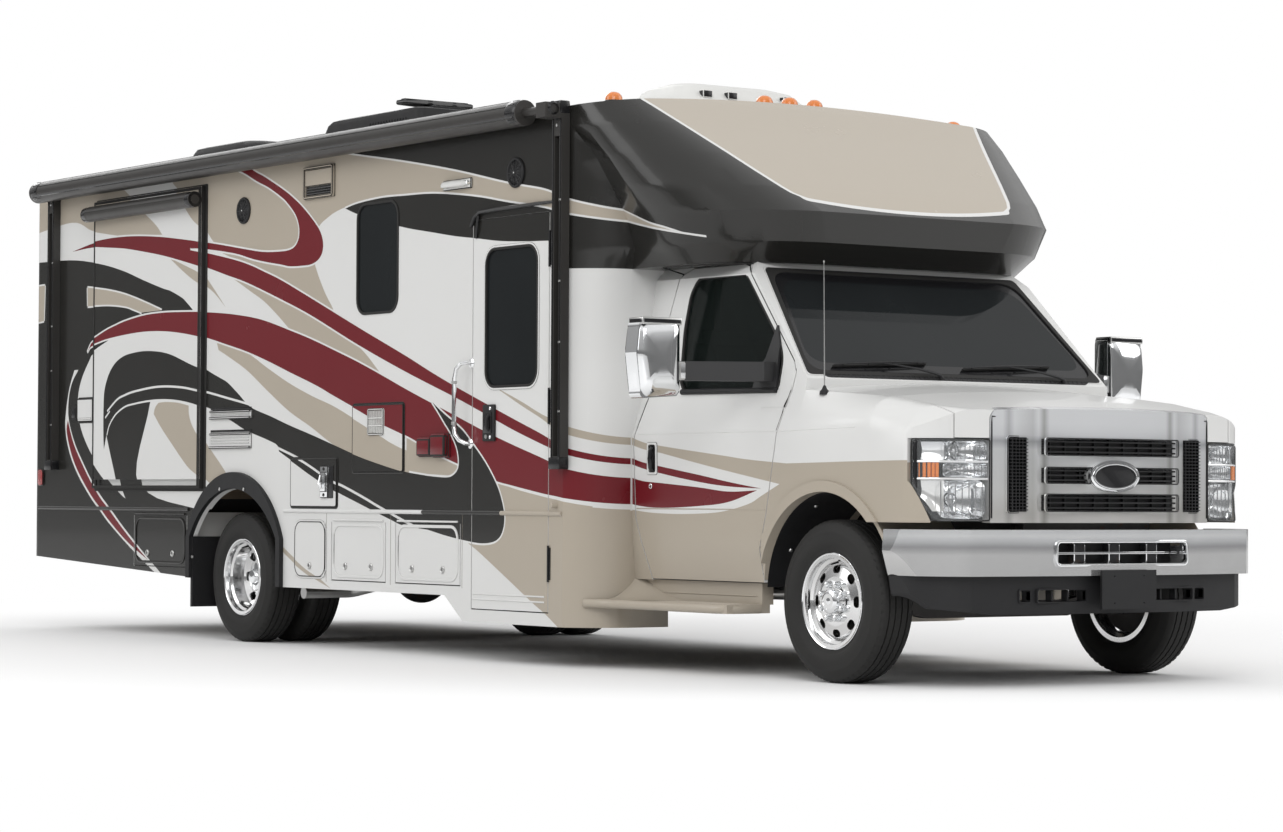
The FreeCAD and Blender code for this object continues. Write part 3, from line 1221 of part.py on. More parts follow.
def make_rear_bumper():
    """Rear bumper with the hitch receiver under it."""
    start, face, half = d.cap_station, d.rear_reach, d.half_width - 200
    bar = block((-half, half), (start + 20, face), (470, 600))
    cross = block((-468, 468), (start - 200, start - 120), (400, d.rail_foot))
    tube = block((-32, 32), (start - 200, face), (400, 464)).fuse(
        block((-80, 80), (start - 60, start + 40), (460, 480)))
    bore = block((-25.4, 25.4), (start - 160, face + 5), (406.6, 457.4))
    pin = cylinder(8, 200, (-100, start + 40, 432), "x")
    link = block((392, 468), (start - 120, start + 25), (400, d.rail_foot)).fuse(
        block((392, 468), (start - 9, start + 25), (400, 520)))
    shape = bar.fuse(cross).fuse(tube).fuse(link).fuse(other_side(link)).cut(bore).cut(pin)
    sub_part("rear_bumper", shaped("rear_bumper_shape", shape.removeSplitter()))


SLIDE_REAR = d.right_slide_front + d.right_slide_length
SPEAKERS = (2175, d.right_slide_front - 500)
# fittings on the right wall: front station, rear station, foot, head, how far they stand out
RIGHT_FITTINGS = (
    (4000, 4330, 2480, 2660, 22),      # range hood vent
    (3260, 3780, 975, 1325, 8),        # utility hatch
    (3960, 4460, 785, 1040, 8),        # compartment with a paddle latch
    (d.right_slide_front - 610, d.right_slide_front - 110, 1280, 1330, 10),    # refrigerator vent, upper
    (d.right_slide_front - 610, d.right_slide_front - 110, 1110, 1200, 10),    # refrigerator vent, lower
    (SLIDE_REAR + 70, SLIDE_REAR + 270, 1300, 1430, 10),    # rear vent
    (2790, 3090, 1055, 1150, 8),       # outlet cover
    (d.flare_front - 520, d.flare_front - 190, 400, 695, 6),    # fuel door
)


def make_fittings():
    """Vents, covers, lamp and grab handle on the outside of the walls."""
    out = d.half_width
    pieces = [block((-out - proud, -out), (start, end), (foot, head))
              for start, end, foot, head, proud in RIGHT_FITTINGS]
    pieces.append(block((-out - 45, -out), (2610, 2840), (2425, 2475)))
    for station in SPEAKERS:
        pieces.append(cylinder(75, 12, (-out - 12, station, 2470), "x"))
    handle = [(-out, 2655, 1110), (-out - 60, 2655, 1110), (-out - 60, 2655, 1530), (-out, 2655, 1530)]
    pieces.append(bent_bar(handle, 11, 30))
    sub_part("side_fittings", shaped("side_fittings_shape", Part.makeCompound(pieces)))


def build():
    """Makes every sub-part."""
    make_chassis()
    make_front_axle()
    make_knuckles()
    make_rear_axle()
    make_wheels()
    make_engine()
    make_exhaust()
    make_fuel_tank()
    make_cab()
    for side in ("left", "right"):
        make_cab_door(side)
        make_mirror(side)
        make_slide_out(side)
    make_dashboard()
    make_seats()
    make_hood()
    make_fenders()
    make_front_end()
    make_bumper()
    make_cap()
    make_corner_panels()
    make_walls()
    make_rear_wall()
    make_roof()
    make_floor()
    make_skirts()
    make_flares()
    make_entry_door()
    make_awning()
    make_roof_fittings()
    make_lamps()
    make_rear_bumper()
    make_fittings()


def check_and_export():
    """Stops on any failed object or shape, then writes one STEP file for each sub-part."""
    doc.recompute()
    for item in doc.Objects:
        if "Invalid" in item.State or "Error" in item.State:
            raise RuntimeError(f"{item.Label} did not build: {item.State}")
    for item in NODES:
        if item.Shape.isNull() or not item.Shape.isValid() or not item.Shape.Solids:
            raise RuntimeError(f"{item.Label} has no valid shape")
    os.makedirs("parts", exist_ok=True)
    for item in NODES:
        item.Shape.exportStep(f"parts/{item.Label}.step")
    print(len(NODES), "sub-parts")


build()
check_and_export()
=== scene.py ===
"""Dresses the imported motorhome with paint, graphics, glass, wheels, lamps and fittings, in a studio."""

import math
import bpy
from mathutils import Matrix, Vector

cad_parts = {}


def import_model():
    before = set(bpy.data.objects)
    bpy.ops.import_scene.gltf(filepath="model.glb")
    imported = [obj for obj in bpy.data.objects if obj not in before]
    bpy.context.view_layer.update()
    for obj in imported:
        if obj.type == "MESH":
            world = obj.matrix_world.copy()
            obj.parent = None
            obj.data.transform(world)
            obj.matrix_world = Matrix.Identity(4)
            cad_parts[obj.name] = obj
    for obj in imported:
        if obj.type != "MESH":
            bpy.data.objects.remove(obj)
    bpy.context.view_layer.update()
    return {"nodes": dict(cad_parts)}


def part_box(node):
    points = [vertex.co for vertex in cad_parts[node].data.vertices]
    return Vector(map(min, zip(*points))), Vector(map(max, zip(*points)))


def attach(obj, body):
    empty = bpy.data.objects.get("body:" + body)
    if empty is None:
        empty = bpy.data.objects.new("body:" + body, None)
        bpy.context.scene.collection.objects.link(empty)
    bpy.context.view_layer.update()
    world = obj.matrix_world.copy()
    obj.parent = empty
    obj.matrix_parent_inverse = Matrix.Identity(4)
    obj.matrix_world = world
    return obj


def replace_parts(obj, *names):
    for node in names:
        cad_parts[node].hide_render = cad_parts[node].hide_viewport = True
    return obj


bl_info = {
    "name": "Motorhome Dresser",
    "version": (1, 0, 0),
    "blender": (4, 5, 0),
    "location": "3D View > Sidebar > Motorhome",
    "description": "Paints the packed motorhome and adds its trim, glass, wheels, lamps and fittings",
    "category": "Add Mesh",
}

import bmesh
import bpy
from bpy.props import FloatProperty, FloatVectorProperty, IntProperty, PointerProperty
from mathutils import Matrix, Vector
from mathutils.bvhtree import BVHTree
from mathutils.geometry import delaunay_2d_cdt

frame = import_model()
NODES = frame["nodes"]


def middle(node):
    """Centre of a CAD node's box."""
    low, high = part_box(node)
    return (low + high) / 2


AXLE_Y = middle("front_left_tyre").y
WALL_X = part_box("left_wall")[1].x
COACH = "coach"


# ---------------------------------------------------------------- what a user may change
class PaintColours(bpy.types.PropertyGroup):
    """Colours of the coach paint and its graphics."""

    white: FloatVectorProperty(name="White", description="Main body colour", subtype="COLOR", size=3,
                               min=0, max=1, default=(0.655, 0.655, 0.645))
    beige: FloatVectorProperty(name="Beige", description="Second graphic colour", subtype="COLOR", size=3,
                               min=0, max=1, default=(0.39, 0.345, 0.283))
    red: FloatVectorProperty(name="Red", description="Accent colour of the swooshes", subtype="COLOR", size=3,
                             min=0, max=1, default=(0.138, 0.009, 0.014))
    charcoal: FloatVectorProperty(name="Charcoal", description="Dark graphic colour", subtype="COLOR", size=3,
                                  min=0, max=1, default=(0.015, 0.0145, 0.0130))
    pinstripe: FloatProperty(name="Pinstripe", description="Width of the white lines round the graphics",
                             subtype="DISTANCE", min=0.002, max=0.03, default=0.010)


class TyreSizes(bpy.types.PropertyGroup):
    """Tread and sidewall of the tyres."""

    tread_depth: FloatProperty(name="Tread depth", description="Depth of the tread grooves",
                               subtype="DISTANCE", min=0.002, max=0.014, default=0.008)
    blocks: IntProperty(name="Tread blocks", description="Blocks round one tyre", min=24, max=96, default=56)


class LightLevels(bpy.types.PropertyGroup):
    """Studio light and backdrop."""

    sky: FloatProperty(name="Sky", description="Strength of the light from all round",
                       min=0, max=2, default=0.60)
    key: FloatProperty(name="Key", description="Power of the large lamp in front", subtype="POWER",
                       min=0, max=9000, default=850)
    backdrop: FloatProperty(name="Backdrop", description="Brightness of the background",
                            min=0, max=1, default=1.0)


def settings(group):
    """One of the scene's own property groups."""
    return getattr(bpy.context.scene, group)


# ---------------------------------------------------------------- shader helpers
class Value:
    """A socket of a material's nodes that takes part in ordinary sums."""

    def __init__(self, finish, socket):
        self.finish, self.socket = finish, socket

    def maths(self, operation, *values):
        return self.finish.node("ShaderNodeMath", {"operation": operation}, dict(enumerate(values)))

    def __add__(self, other):
        return self.maths("ADD", self, other)

    __radd__ = __add__

    def __sub__(self, other):
        return self.maths("SUBTRACT", self, other)

    def __rsub__(self, other):
        return self.maths("SUBTRACT", other, self)

    def __mul__(self, other):
        return self.maths("MULTIPLY", self, other)

    __rmul__ = __mul__

    def __truediv__(self, other):
        return self.maths("DIVIDE", self, other)

    def __gt__(self, other):
        return self.maths("GREATER_THAN", self, other)

    def __lt__(self, other):
        return self.maths("LESS_THAN", self, other)

    def __abs__(self):
        return self.maths("ABSOLUTE", self)


class Finish:
    """A node tree with one way to add nodes to it."""

    def __init__(self, owner):
        owner.use_nodes = True
        self.owner, self.tree = owner, owner.node_tree

    def node(self, kind, options, inputs, output=0):
        made = self.tree.nodes.new(kind)
        for key, value in options.items():
            if key == "stops":
                elements = made.color_ramp.elements
                while len(elements) < len(value):
                    elements.new(0.5)
                for element, (position, colour) in zip(elements, value):
                    element.position, element.color = position, colour
            else:
                setattr(made, key, value)
        for key, value in inputs.items():
            self.feed(made.inputs[key], value)
        return Value(self, made.outputs[output])

    def feed(self, socket, value):
        if isinstance(value, Value):
            self.tree.links.new(value.socket, socket)
        else:
            socket.default_value = value

    def place(self):
        """Position in the vehicle's frame."""
        return self.node("ShaderNodeTexCoord", {}, {}, "Object")

    def axes(self):
        split = self.node("ShaderNodeSeparateXYZ", {}, {0: self.place()})
        return [Value(self, split.socket.node.outputs[axis]) for axis in range(3)]

    def noise(self, scale, detail=2.0, rough=0.5, stretch=(1, 1, 1)):
        place = self.node("ShaderNodeMapping", {}, {"Vector": self.place(), "Scale": stretch})
        return self.node("ShaderNodeTexNoise", {}, {"Vector": place, "Scale": scale, "Detail": detail,
                                                    "Roughness": rough})

    def mix(self, factor, a, b):
        """Colour between a and b."""
        return self.node("ShaderNodeMix", {"data_type": "RGBA"}, {0: factor, 6: a, 7: b}, 2)

    def times(self, a, b):
        """Product of two colours."""
        return self.node("ShaderNodeMix", {"data_type": "RGBA", "blend_type": "MULTIPLY"},
                         {0: 1.0, 6: a, 7: b}, 2)

    def ramp(self, stops, factor):
        """Colour by a number, from stops of (position, colour)."""
        return self.node("ShaderNodeValToRGB", {"stops": stops}, {"Fac": factor})

    def bump(self, height, strength, distance):
        return self.node("ShaderNodeBump", {}, {"Strength": strength, "Distance": distance, "Height": height})

    def shader(self, **values):
        """Feeds the surface shader's sockets."""
        principled = self.tree.nodes["Principled BSDF"]
        for key, value in values.items():
            self.feed(principled.inputs[key.replace("_", " ")], value)
        return self


def tone(colour, factor=1.0):
    return tuple(min(1.0, channel * factor) for channel in colour) + (1.0,)


def new_finish(name):
    return Finish(bpy.data.materials.new(name))


def clear_coat(f, shade, rough, weight=0.3, soft=0.06, specular=0.35):
    """Paint under a clear coat, with a faint orange peel and an uneven gloss."""
    f.shader(Base_Color=shade, Roughness=f.noise(3.0, 4.0) * 0.08 + rough, Coat_Weight=weight,
             Coat_Roughness=soft, Specular_IOR_Level=specular, Normal=f.bump(f.noise(180, 2.0), 0.05, 0.0006))
    return f.owner


def paint(name, colour, gloss=0.30, flake=0.0):
    """Clear-coated body paint with an uneven tone and, at choice, metal flake."""
    f = new_finish(name)
    shade = f.mix(f.noise(0.8, 3.0), tone(colour, 0.96), tone(colour, 1.04))
    if flake:
        shade = f.mix(f.noise(900, 1.0) * flake, shade, tone(colour, 2.6))
    return clear_coat(f, shade, gloss - 0.04, 0.22, 0.05, 0.30)


def moulded(name, colour, rough=0.55, grain=420.0, depth=0.0004):
    """Moulded plastic with a fine grain."""
    f = new_finish(name)
    f.shader(Specular_IOR_Level=0.35,
             Base_Color=f.mix(f.noise(2.2, 3.0), tone(colour, 0.86), tone(colour, 1.12)),
             Roughness=f.noise(14.0, 3.0) * 0.14 + (rough - 0.07),
             Normal=f.bump(f.noise(grain, 2.0), 0.25, depth))
    return f.owner


def plated(name, colour, rough=0.07, metal=1.0):
    """Bright metal with faint smears; less metal gives the paler look of plated plastic."""
    f = new_finish(name)
    smear = f.noise(9.0, 5.0, 0.6, (1, 0.4, 2))
    f.shader(Base_Color=f.mix(smear, tone(colour, 0.92), tone(colour, 1.0)), Metallic=metal,
             Roughness=smear * 0.07 + (rough - 0.02), Normal=f.bump(f.noise(60, 2.0), 0.02, 0.0004))
    return f.owner


def bumper_painted_reflection_metal():
    """Pressed and plated steel with a painted reflection: bright along its upper roll, a dark band across its
    face, greyer below.
    """
    f = new_finish("bumper_plate_painted_reflection")
    foot, height = 0.50, 0.205
    level = (f.axes()[2] - foot) / height + (f.noise(1.6, 2.0) - 0.5) * 0.10
    # painted reflection: the stops brighten the upper roll, lay a dark horizon band across the face and grey
    # the lower face
    stops = [(0.0, (0.52, 0.52, 0.52, 1)), (0.45, (0.62, 0.62, 0.62, 1)), (0.62, (0.40, 0.40, 0.41, 1)),
             (0.74, (0.66, 0.67, 0.68, 1)), (0.86, (0.88, 0.89, 0.90, 1)), (1.0, (0.80, 0.81, 0.82, 1))]
    f.shader(Base_Color=f.ramp(stops, level), Metallic=0.80, Roughness=f.noise(9.0, 5.0) * 0.06 + 0.09,
             Normal=f.bump(f.noise(40, 2.0), 0.02, 0.0004))
    return f.owner


def grille_painted_reflection_metal():
    """Plated plastic of the grille with painted reflections: a bright top band over a dark band, and columns
    that darken to one edge.
    """
    f = new_finish("grille_plate_painted_reflection")
    foot, height, half_width = 0.78, 0.40, 0.60
    x, _, z = f.axes()
    level = (z - foot) / height + (f.noise(2.2, 2.0) - 0.5) * 0.05
    # painted reflection: down brightens the top band over a dark band, out darkens bands across the columns
    down = [(0.0, (0.62, 0.61, 0.59, 1)), (0.20, (0.72, 0.72, 0.71, 1)), (0.70, (0.78, 0.79, 0.80, 1)),
            (0.79, (0.50, 0.51, 0.53, 1)), (0.86, (0.84, 0.85, 0.87, 1)), (1.0, (0.92, 0.93, 0.95, 1))]
    out = [(position, (grey, grey, blue, 1)) for position, grey, blue in (
        (0.0, 1, 1), (0.59, 1, 1), (0.64, 0.60, 0.58), (0.69, 1, 1), (0.74, 0.80, 0.79), (0.90, 1, 1),
        (0.95, 0.70, 0.70), (1.0, 1, 1))]
    f.shader(Base_Color=f.times(f.ramp(down, level), f.ramp(out, abs(x) / half_width)), Metallic=0.55,
             Roughness=f.noise(9.0, 5.0) * 0.06 + 0.09, Normal=f.bump(f.noise(60, 2.0), 0.02, 0.0004))
    return f.owner


def dark_metal(name, colour, rough=0.55, rust=0.25):
    """Coated frame metal with dust and a little rust."""
    f = new_finish(name)
    patch = f.noise(7.0, 5.0, 0.65)
    spots = (patch > 0.60) * rust
    base = f.mix(f.noise(25.0, 3.0), tone(colour, 0.8), tone(colour, 1.25))
    f.shader(Base_Color=f.mix(spots, base, (0.09, 0.045, 0.025, 1)), Metallic=0.35,
             Roughness=patch * 0.2 + (rough - 0.1), Normal=f.bump(f.noise(120, 3.0), 0.3, 0.0008))
    return f.owner


def rubber(name, colour=(0.012, 0.012, 0.012)):
    """Tyre rubber with dust in its texture."""
    f = new_finish(name)
    dust = f.noise(5.0, 5.0, 0.6)
    f.shader(Base_Color=f.mix(dust * 0.5, tone(colour), (0.036, 0.034, 0.031, 1)),
             Roughness=dust * 0.16 + 0.56,
             Specular_IOR_Level=0.30, Normal=f.bump(f.noise(500, 2.0), 0.2, 0.0004))
    return f.owner


def tinted_glass(name, colour, clear=1.0, rough=0.03, shine=0.5):
    """Glass that shows what is behind it by its alpha."""
    f = new_finish(name)
    haze = f.noise(1.4, 3.0)
    f.shader(Base_Color=f.mix(haze, tone(colour, 0.8), tone(colour, 1.25)), Roughness=haze * 0.03 + rough,
             Alpha=clear, IOR=1.52, Specular_IOR_Level=shine)
    return f.owner


def lens(name, colour, glow=0.0):
    """Ribbed lamp lens."""
    f = new_finish(name)
    ribs = f.node("ShaderNodeTexWave", {"bands_direction": "Z"}, {"Vector": f.place(), "Scale": 60.0})
    f.shader(Base_Color=f.mix(ribs * 0.5, tone(colour, 0.75), tone(colour, 1.2)), Roughness=0.12,
             Coat_Weight=1.0, Coat_Roughness=0.03, Normal=f.bump(ribs, 0.35, 0.002),
             Emission_Color=tone(colour), Emission_Strength=glow)
    return f.owner


def woven(name, colour, scale=420.0):
    """Plain woven cloth."""
    f = new_finish(name)
    warp = f.node("ShaderNodeTexWave", {"bands_direction": "Y"}, {"Vector": f.place(), "Scale": scale})
    weft = f.node("ShaderNodeTexWave", {"bands_direction": "Z"}, {"Vector": f.place(), "Scale": scale})
    thread = warp * weft
    f.shader(Base_Color=f.mix(f.noise(6.0, 4.0) * 0.6 + thread * 0.4, tone(colour, 0.7), tone(colour, 1.25)),
             Roughness=0.85, Normal=f.bump(thread, 0.4, 0.0006))
    return f.owner


# The cap's beige panel: its half width by level, the level and bend of its foot, how far back it reaches.
PANEL_EDGE = ((2.20, 0.60), (2.279, 0.648), (2.297, 0.682), (2.33, 0.715), (2.415, 0.78), (2.525, 0.86),
              (2.645, 0.95), (2.748, 1.031), (2.83, 1.10), (2.90, 1.16))
PANEL_LINE, PANEL_FOOT, PANEL_BEND, PANEL_DEPTH = 0.009, 2.226, 0.100, 1.64


def cap_paint(colours):
    """Charcoal paint with the beige panel and its white line on the front."""
    f = new_finish("cap_paint")
    x, y, z = f.axes()
    across, low = abs(x), PANEL_EDGE[0][0]
    span, most = PANEL_EDGE[-1][0] - low, PANEL_EDGE[-1][1]
    stops = [((level - low) / span, (half / most,) * 3 + (1,)) for level, half in PANEL_EDGE]
    beside = (f.ramp(stops, (z - low) / span) * most - across) * 0.8
    inside = f.node("ShaderNodeMath", {"operation": "SMOOTH_MIN"},
                    {0: beside, 1: z - (across * across * PANEL_BEND + PANEL_FOOT), 2: 0.03})
    ahead = y < AXLE_Y + PANEL_DEPTH
    line, panel = ahead * (abs(inside) < PANEL_LINE), ahead * (inside > 0)
    dark = f.mix(f.noise(0.8, 3.0), tone(colours.charcoal, 0.95), tone(colours.charcoal, 1.06))
    shade = f.mix(line, f.mix(panel, dark, tone(colours.beige, 1.08)), tone(colours.white, 1.05))
    return clear_coat(f, shade, 0.22)


def split_paint(name, below, above, level):
    """Body paint that changes colour at a level."""
    f = new_finish(name)
    shade = f.mix(f.axes()[2] > level, tone(below), tone(above))
    return clear_coat(f, f.times(shade, f.noise(0.8, 3.0) * 0.08 + 0.96), 0.26)


def mirror_metal():
    """Chrome head and black arm of a door mirror."""
    f = new_finish("mirror_metal")
    head_start = 1.342
    head = abs(f.axes()[0]) > head_start
    smear = f.noise(9.0, 5.0)
    chrome = f.mix(smear, (0.80, 0.81, 0.82, 1), (0.86, 0.87, 0.88, 1))
    f.shader(Base_Color=f.mix(head, (0.018, 0.018, 0.019, 1), chrome), Metallic=head,
             Roughness=0.48 - head * 0.40 + smear * 0.06, Normal=f.bump(f.noise(300, 2.0), 0.1, 0.0003))
    return f.owner


def make_finishes():
    """Every finish of the vehicle by its plain name."""
    colours = settings("paint_colours")
    return {
        "cap": cap_paint(colours),
        "fender": split_paint("fender_paint", colours.beige, colours.white, 1.0),
        "corner": split_paint("corner_paint", colours.beige, colours.white, 0.775),
        "mirror": mirror_metal(),
        "white": paint("white_paint", colours.white),
        "beige": paint("beige_paint", colours.beige),
        "red": paint("red_paint", colours.red, 0.26),
        "charcoal": paint("charcoal_paint", colours.charcoal, 0.24, 0.06),
        "chrome": plated("chrome_plate", (0.86, 0.87, 0.88)),
        # grille plate with painted reflection bands, also used on the headlamp reflectors and trims
        "bright": grille_painted_reflection_metal(),
        # plated steel whose colour carries a painted reflection by height
        "bumper": bumper_painted_reflection_metal(),
        "wheel": plated("polished_wheel", (0.80, 0.80, 0.80), 0.12),
        "black": moulded("black_plastic", (0.011, 0.011, 0.012)),
        "gloss_black": paint("gloss_black", (0.010, 0.010, 0.011), 0.22),
        "grey": moulded("grey_plastic", (0.13, 0.13, 0.13)),
        "pale": moulded("white_plastic", (0.68, 0.68, 0.66), 0.42),
        "membrane": moulded("roof_membrane", (0.60, 0.60, 0.58), 0.7, 90.0, 0.001),
        "frame": dark_metal("frame_steel", (0.030, 0.030, 0.032)),
        "iron": dark_metal("cast_iron", (0.055, 0.052, 0.050), 0.6, 0.5),
        "steel": plated("bright_steel", (0.55, 0.55, 0.54), 0.28),
        "rubber": rubber("tyre_rubber"),
        "seal": rubber("window_seal", (0.012, 0.012, 0.012)),
        "cab_glass": tinted_glass("cab_glass", (0.007, 0.010, 0.009), 0.76, 0.03, 0.12),
        "coach_glass": tinted_glass("coach_glass", (0.013, 0.015, 0.016), 1.0, 0.03, 0.16),
        "amber": lens("amber_lens", (0.75, 0.20, 0.015), 0.12),
        "lamp_red": lens("red_lens", (0.32, 0.012, 0.012), 0.04),
        "clear": tinted_glass("clear_lens", (0.62, 0.64, 0.65), 0.12, 0.02),
        "clear_lamp": lens("clear_lamp", (0.70, 0.70, 0.68), 0.05),
        "awning": moulded("awning_case", (0.034, 0.032, 0.030), 0.38),
        "cloth": woven("grey_cloth", (0.10, 0.095, 0.09)),
        "seat": woven("seat_cloth", (0.16, 0.15, 0.135), 260.0),
        "board": woven("floor_board", (0.22, 0.17, 0.12), 30.0),
    }


# ---------------------------------------------------------------- mesh helpers
FINISHES = {}


def piece(name, mesh, body, finishes, smooth=30.0):
    """Links a mesh as a piece that rides on a body."""
    made = bpy.data.objects.new(name, mesh)
    bpy.context.scene.collection.objects.link(made)
    for finish in finishes if isinstance(finishes, (list, tuple)) else [finishes]:
        mesh.materials.append(FINISHES[finish])
    mesh.shade_smooth()
    mesh.set_sharp_from_angle(angle=math.radians(smooth))
    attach(made, body)
    return made


def flow(points, steps=6):
    """Smooth line through points, the way a bent batten would lie."""
    if len(points) < 3:
        return [tuple(point) for point in points]
    ends = [Vector(point) for point in points]
    ends = [2 * ends[0] - ends[1]] + ends + [2 * ends[-1] - ends[-2]]
    line = []
    for a, b, c, e in zip(ends, ends[1:], ends[2:], ends[3:]):
        for step in range(steps):
            t = step / steps
            line.append(tuple(0.5 * (2 * b + (c - a) * t + (2 * a - 5 * b + 4 * c - e) * t * t
                                     + (3 * b - a - 3 * c + e) * t ** 3)))
    return line + [tuple(ends[-2])]


def closed(runs):
    """Outline of smooth runs that meet at corners."""
    line = []
    for run in runs:
        for point in flow(run):
            if not line or (Vector(point) - Vector(line[-1])).length > 1e-5:
                line.append(point)
    if (Vector(line[0]) - Vector(line[-1])).length < 1e-5:
        line.pop()
    return line


def area(line):
    return sum(a[0] * b[1] - b[0] * a[1] for a, b in zip(line, line[1:] + line[:1])) / 2


def ribbon(line, left, right):
    """Strip along a line, from left to right of it."""
    sides = ([], [])
    for index, here in enumerate(line):
        ahead = Vector(line[min(index + 1, len(line) - 1)]) - Vector(line[max(index - 1, 0)])
        across = Vector((-ahead.y, ahead.x)).normalized()
        sides[0].append(tuple(Vector(here) + across * left))
        sides[1].append(tuple(Vector(here) - across * right))
    return sides[0] + sides[1][::-1]


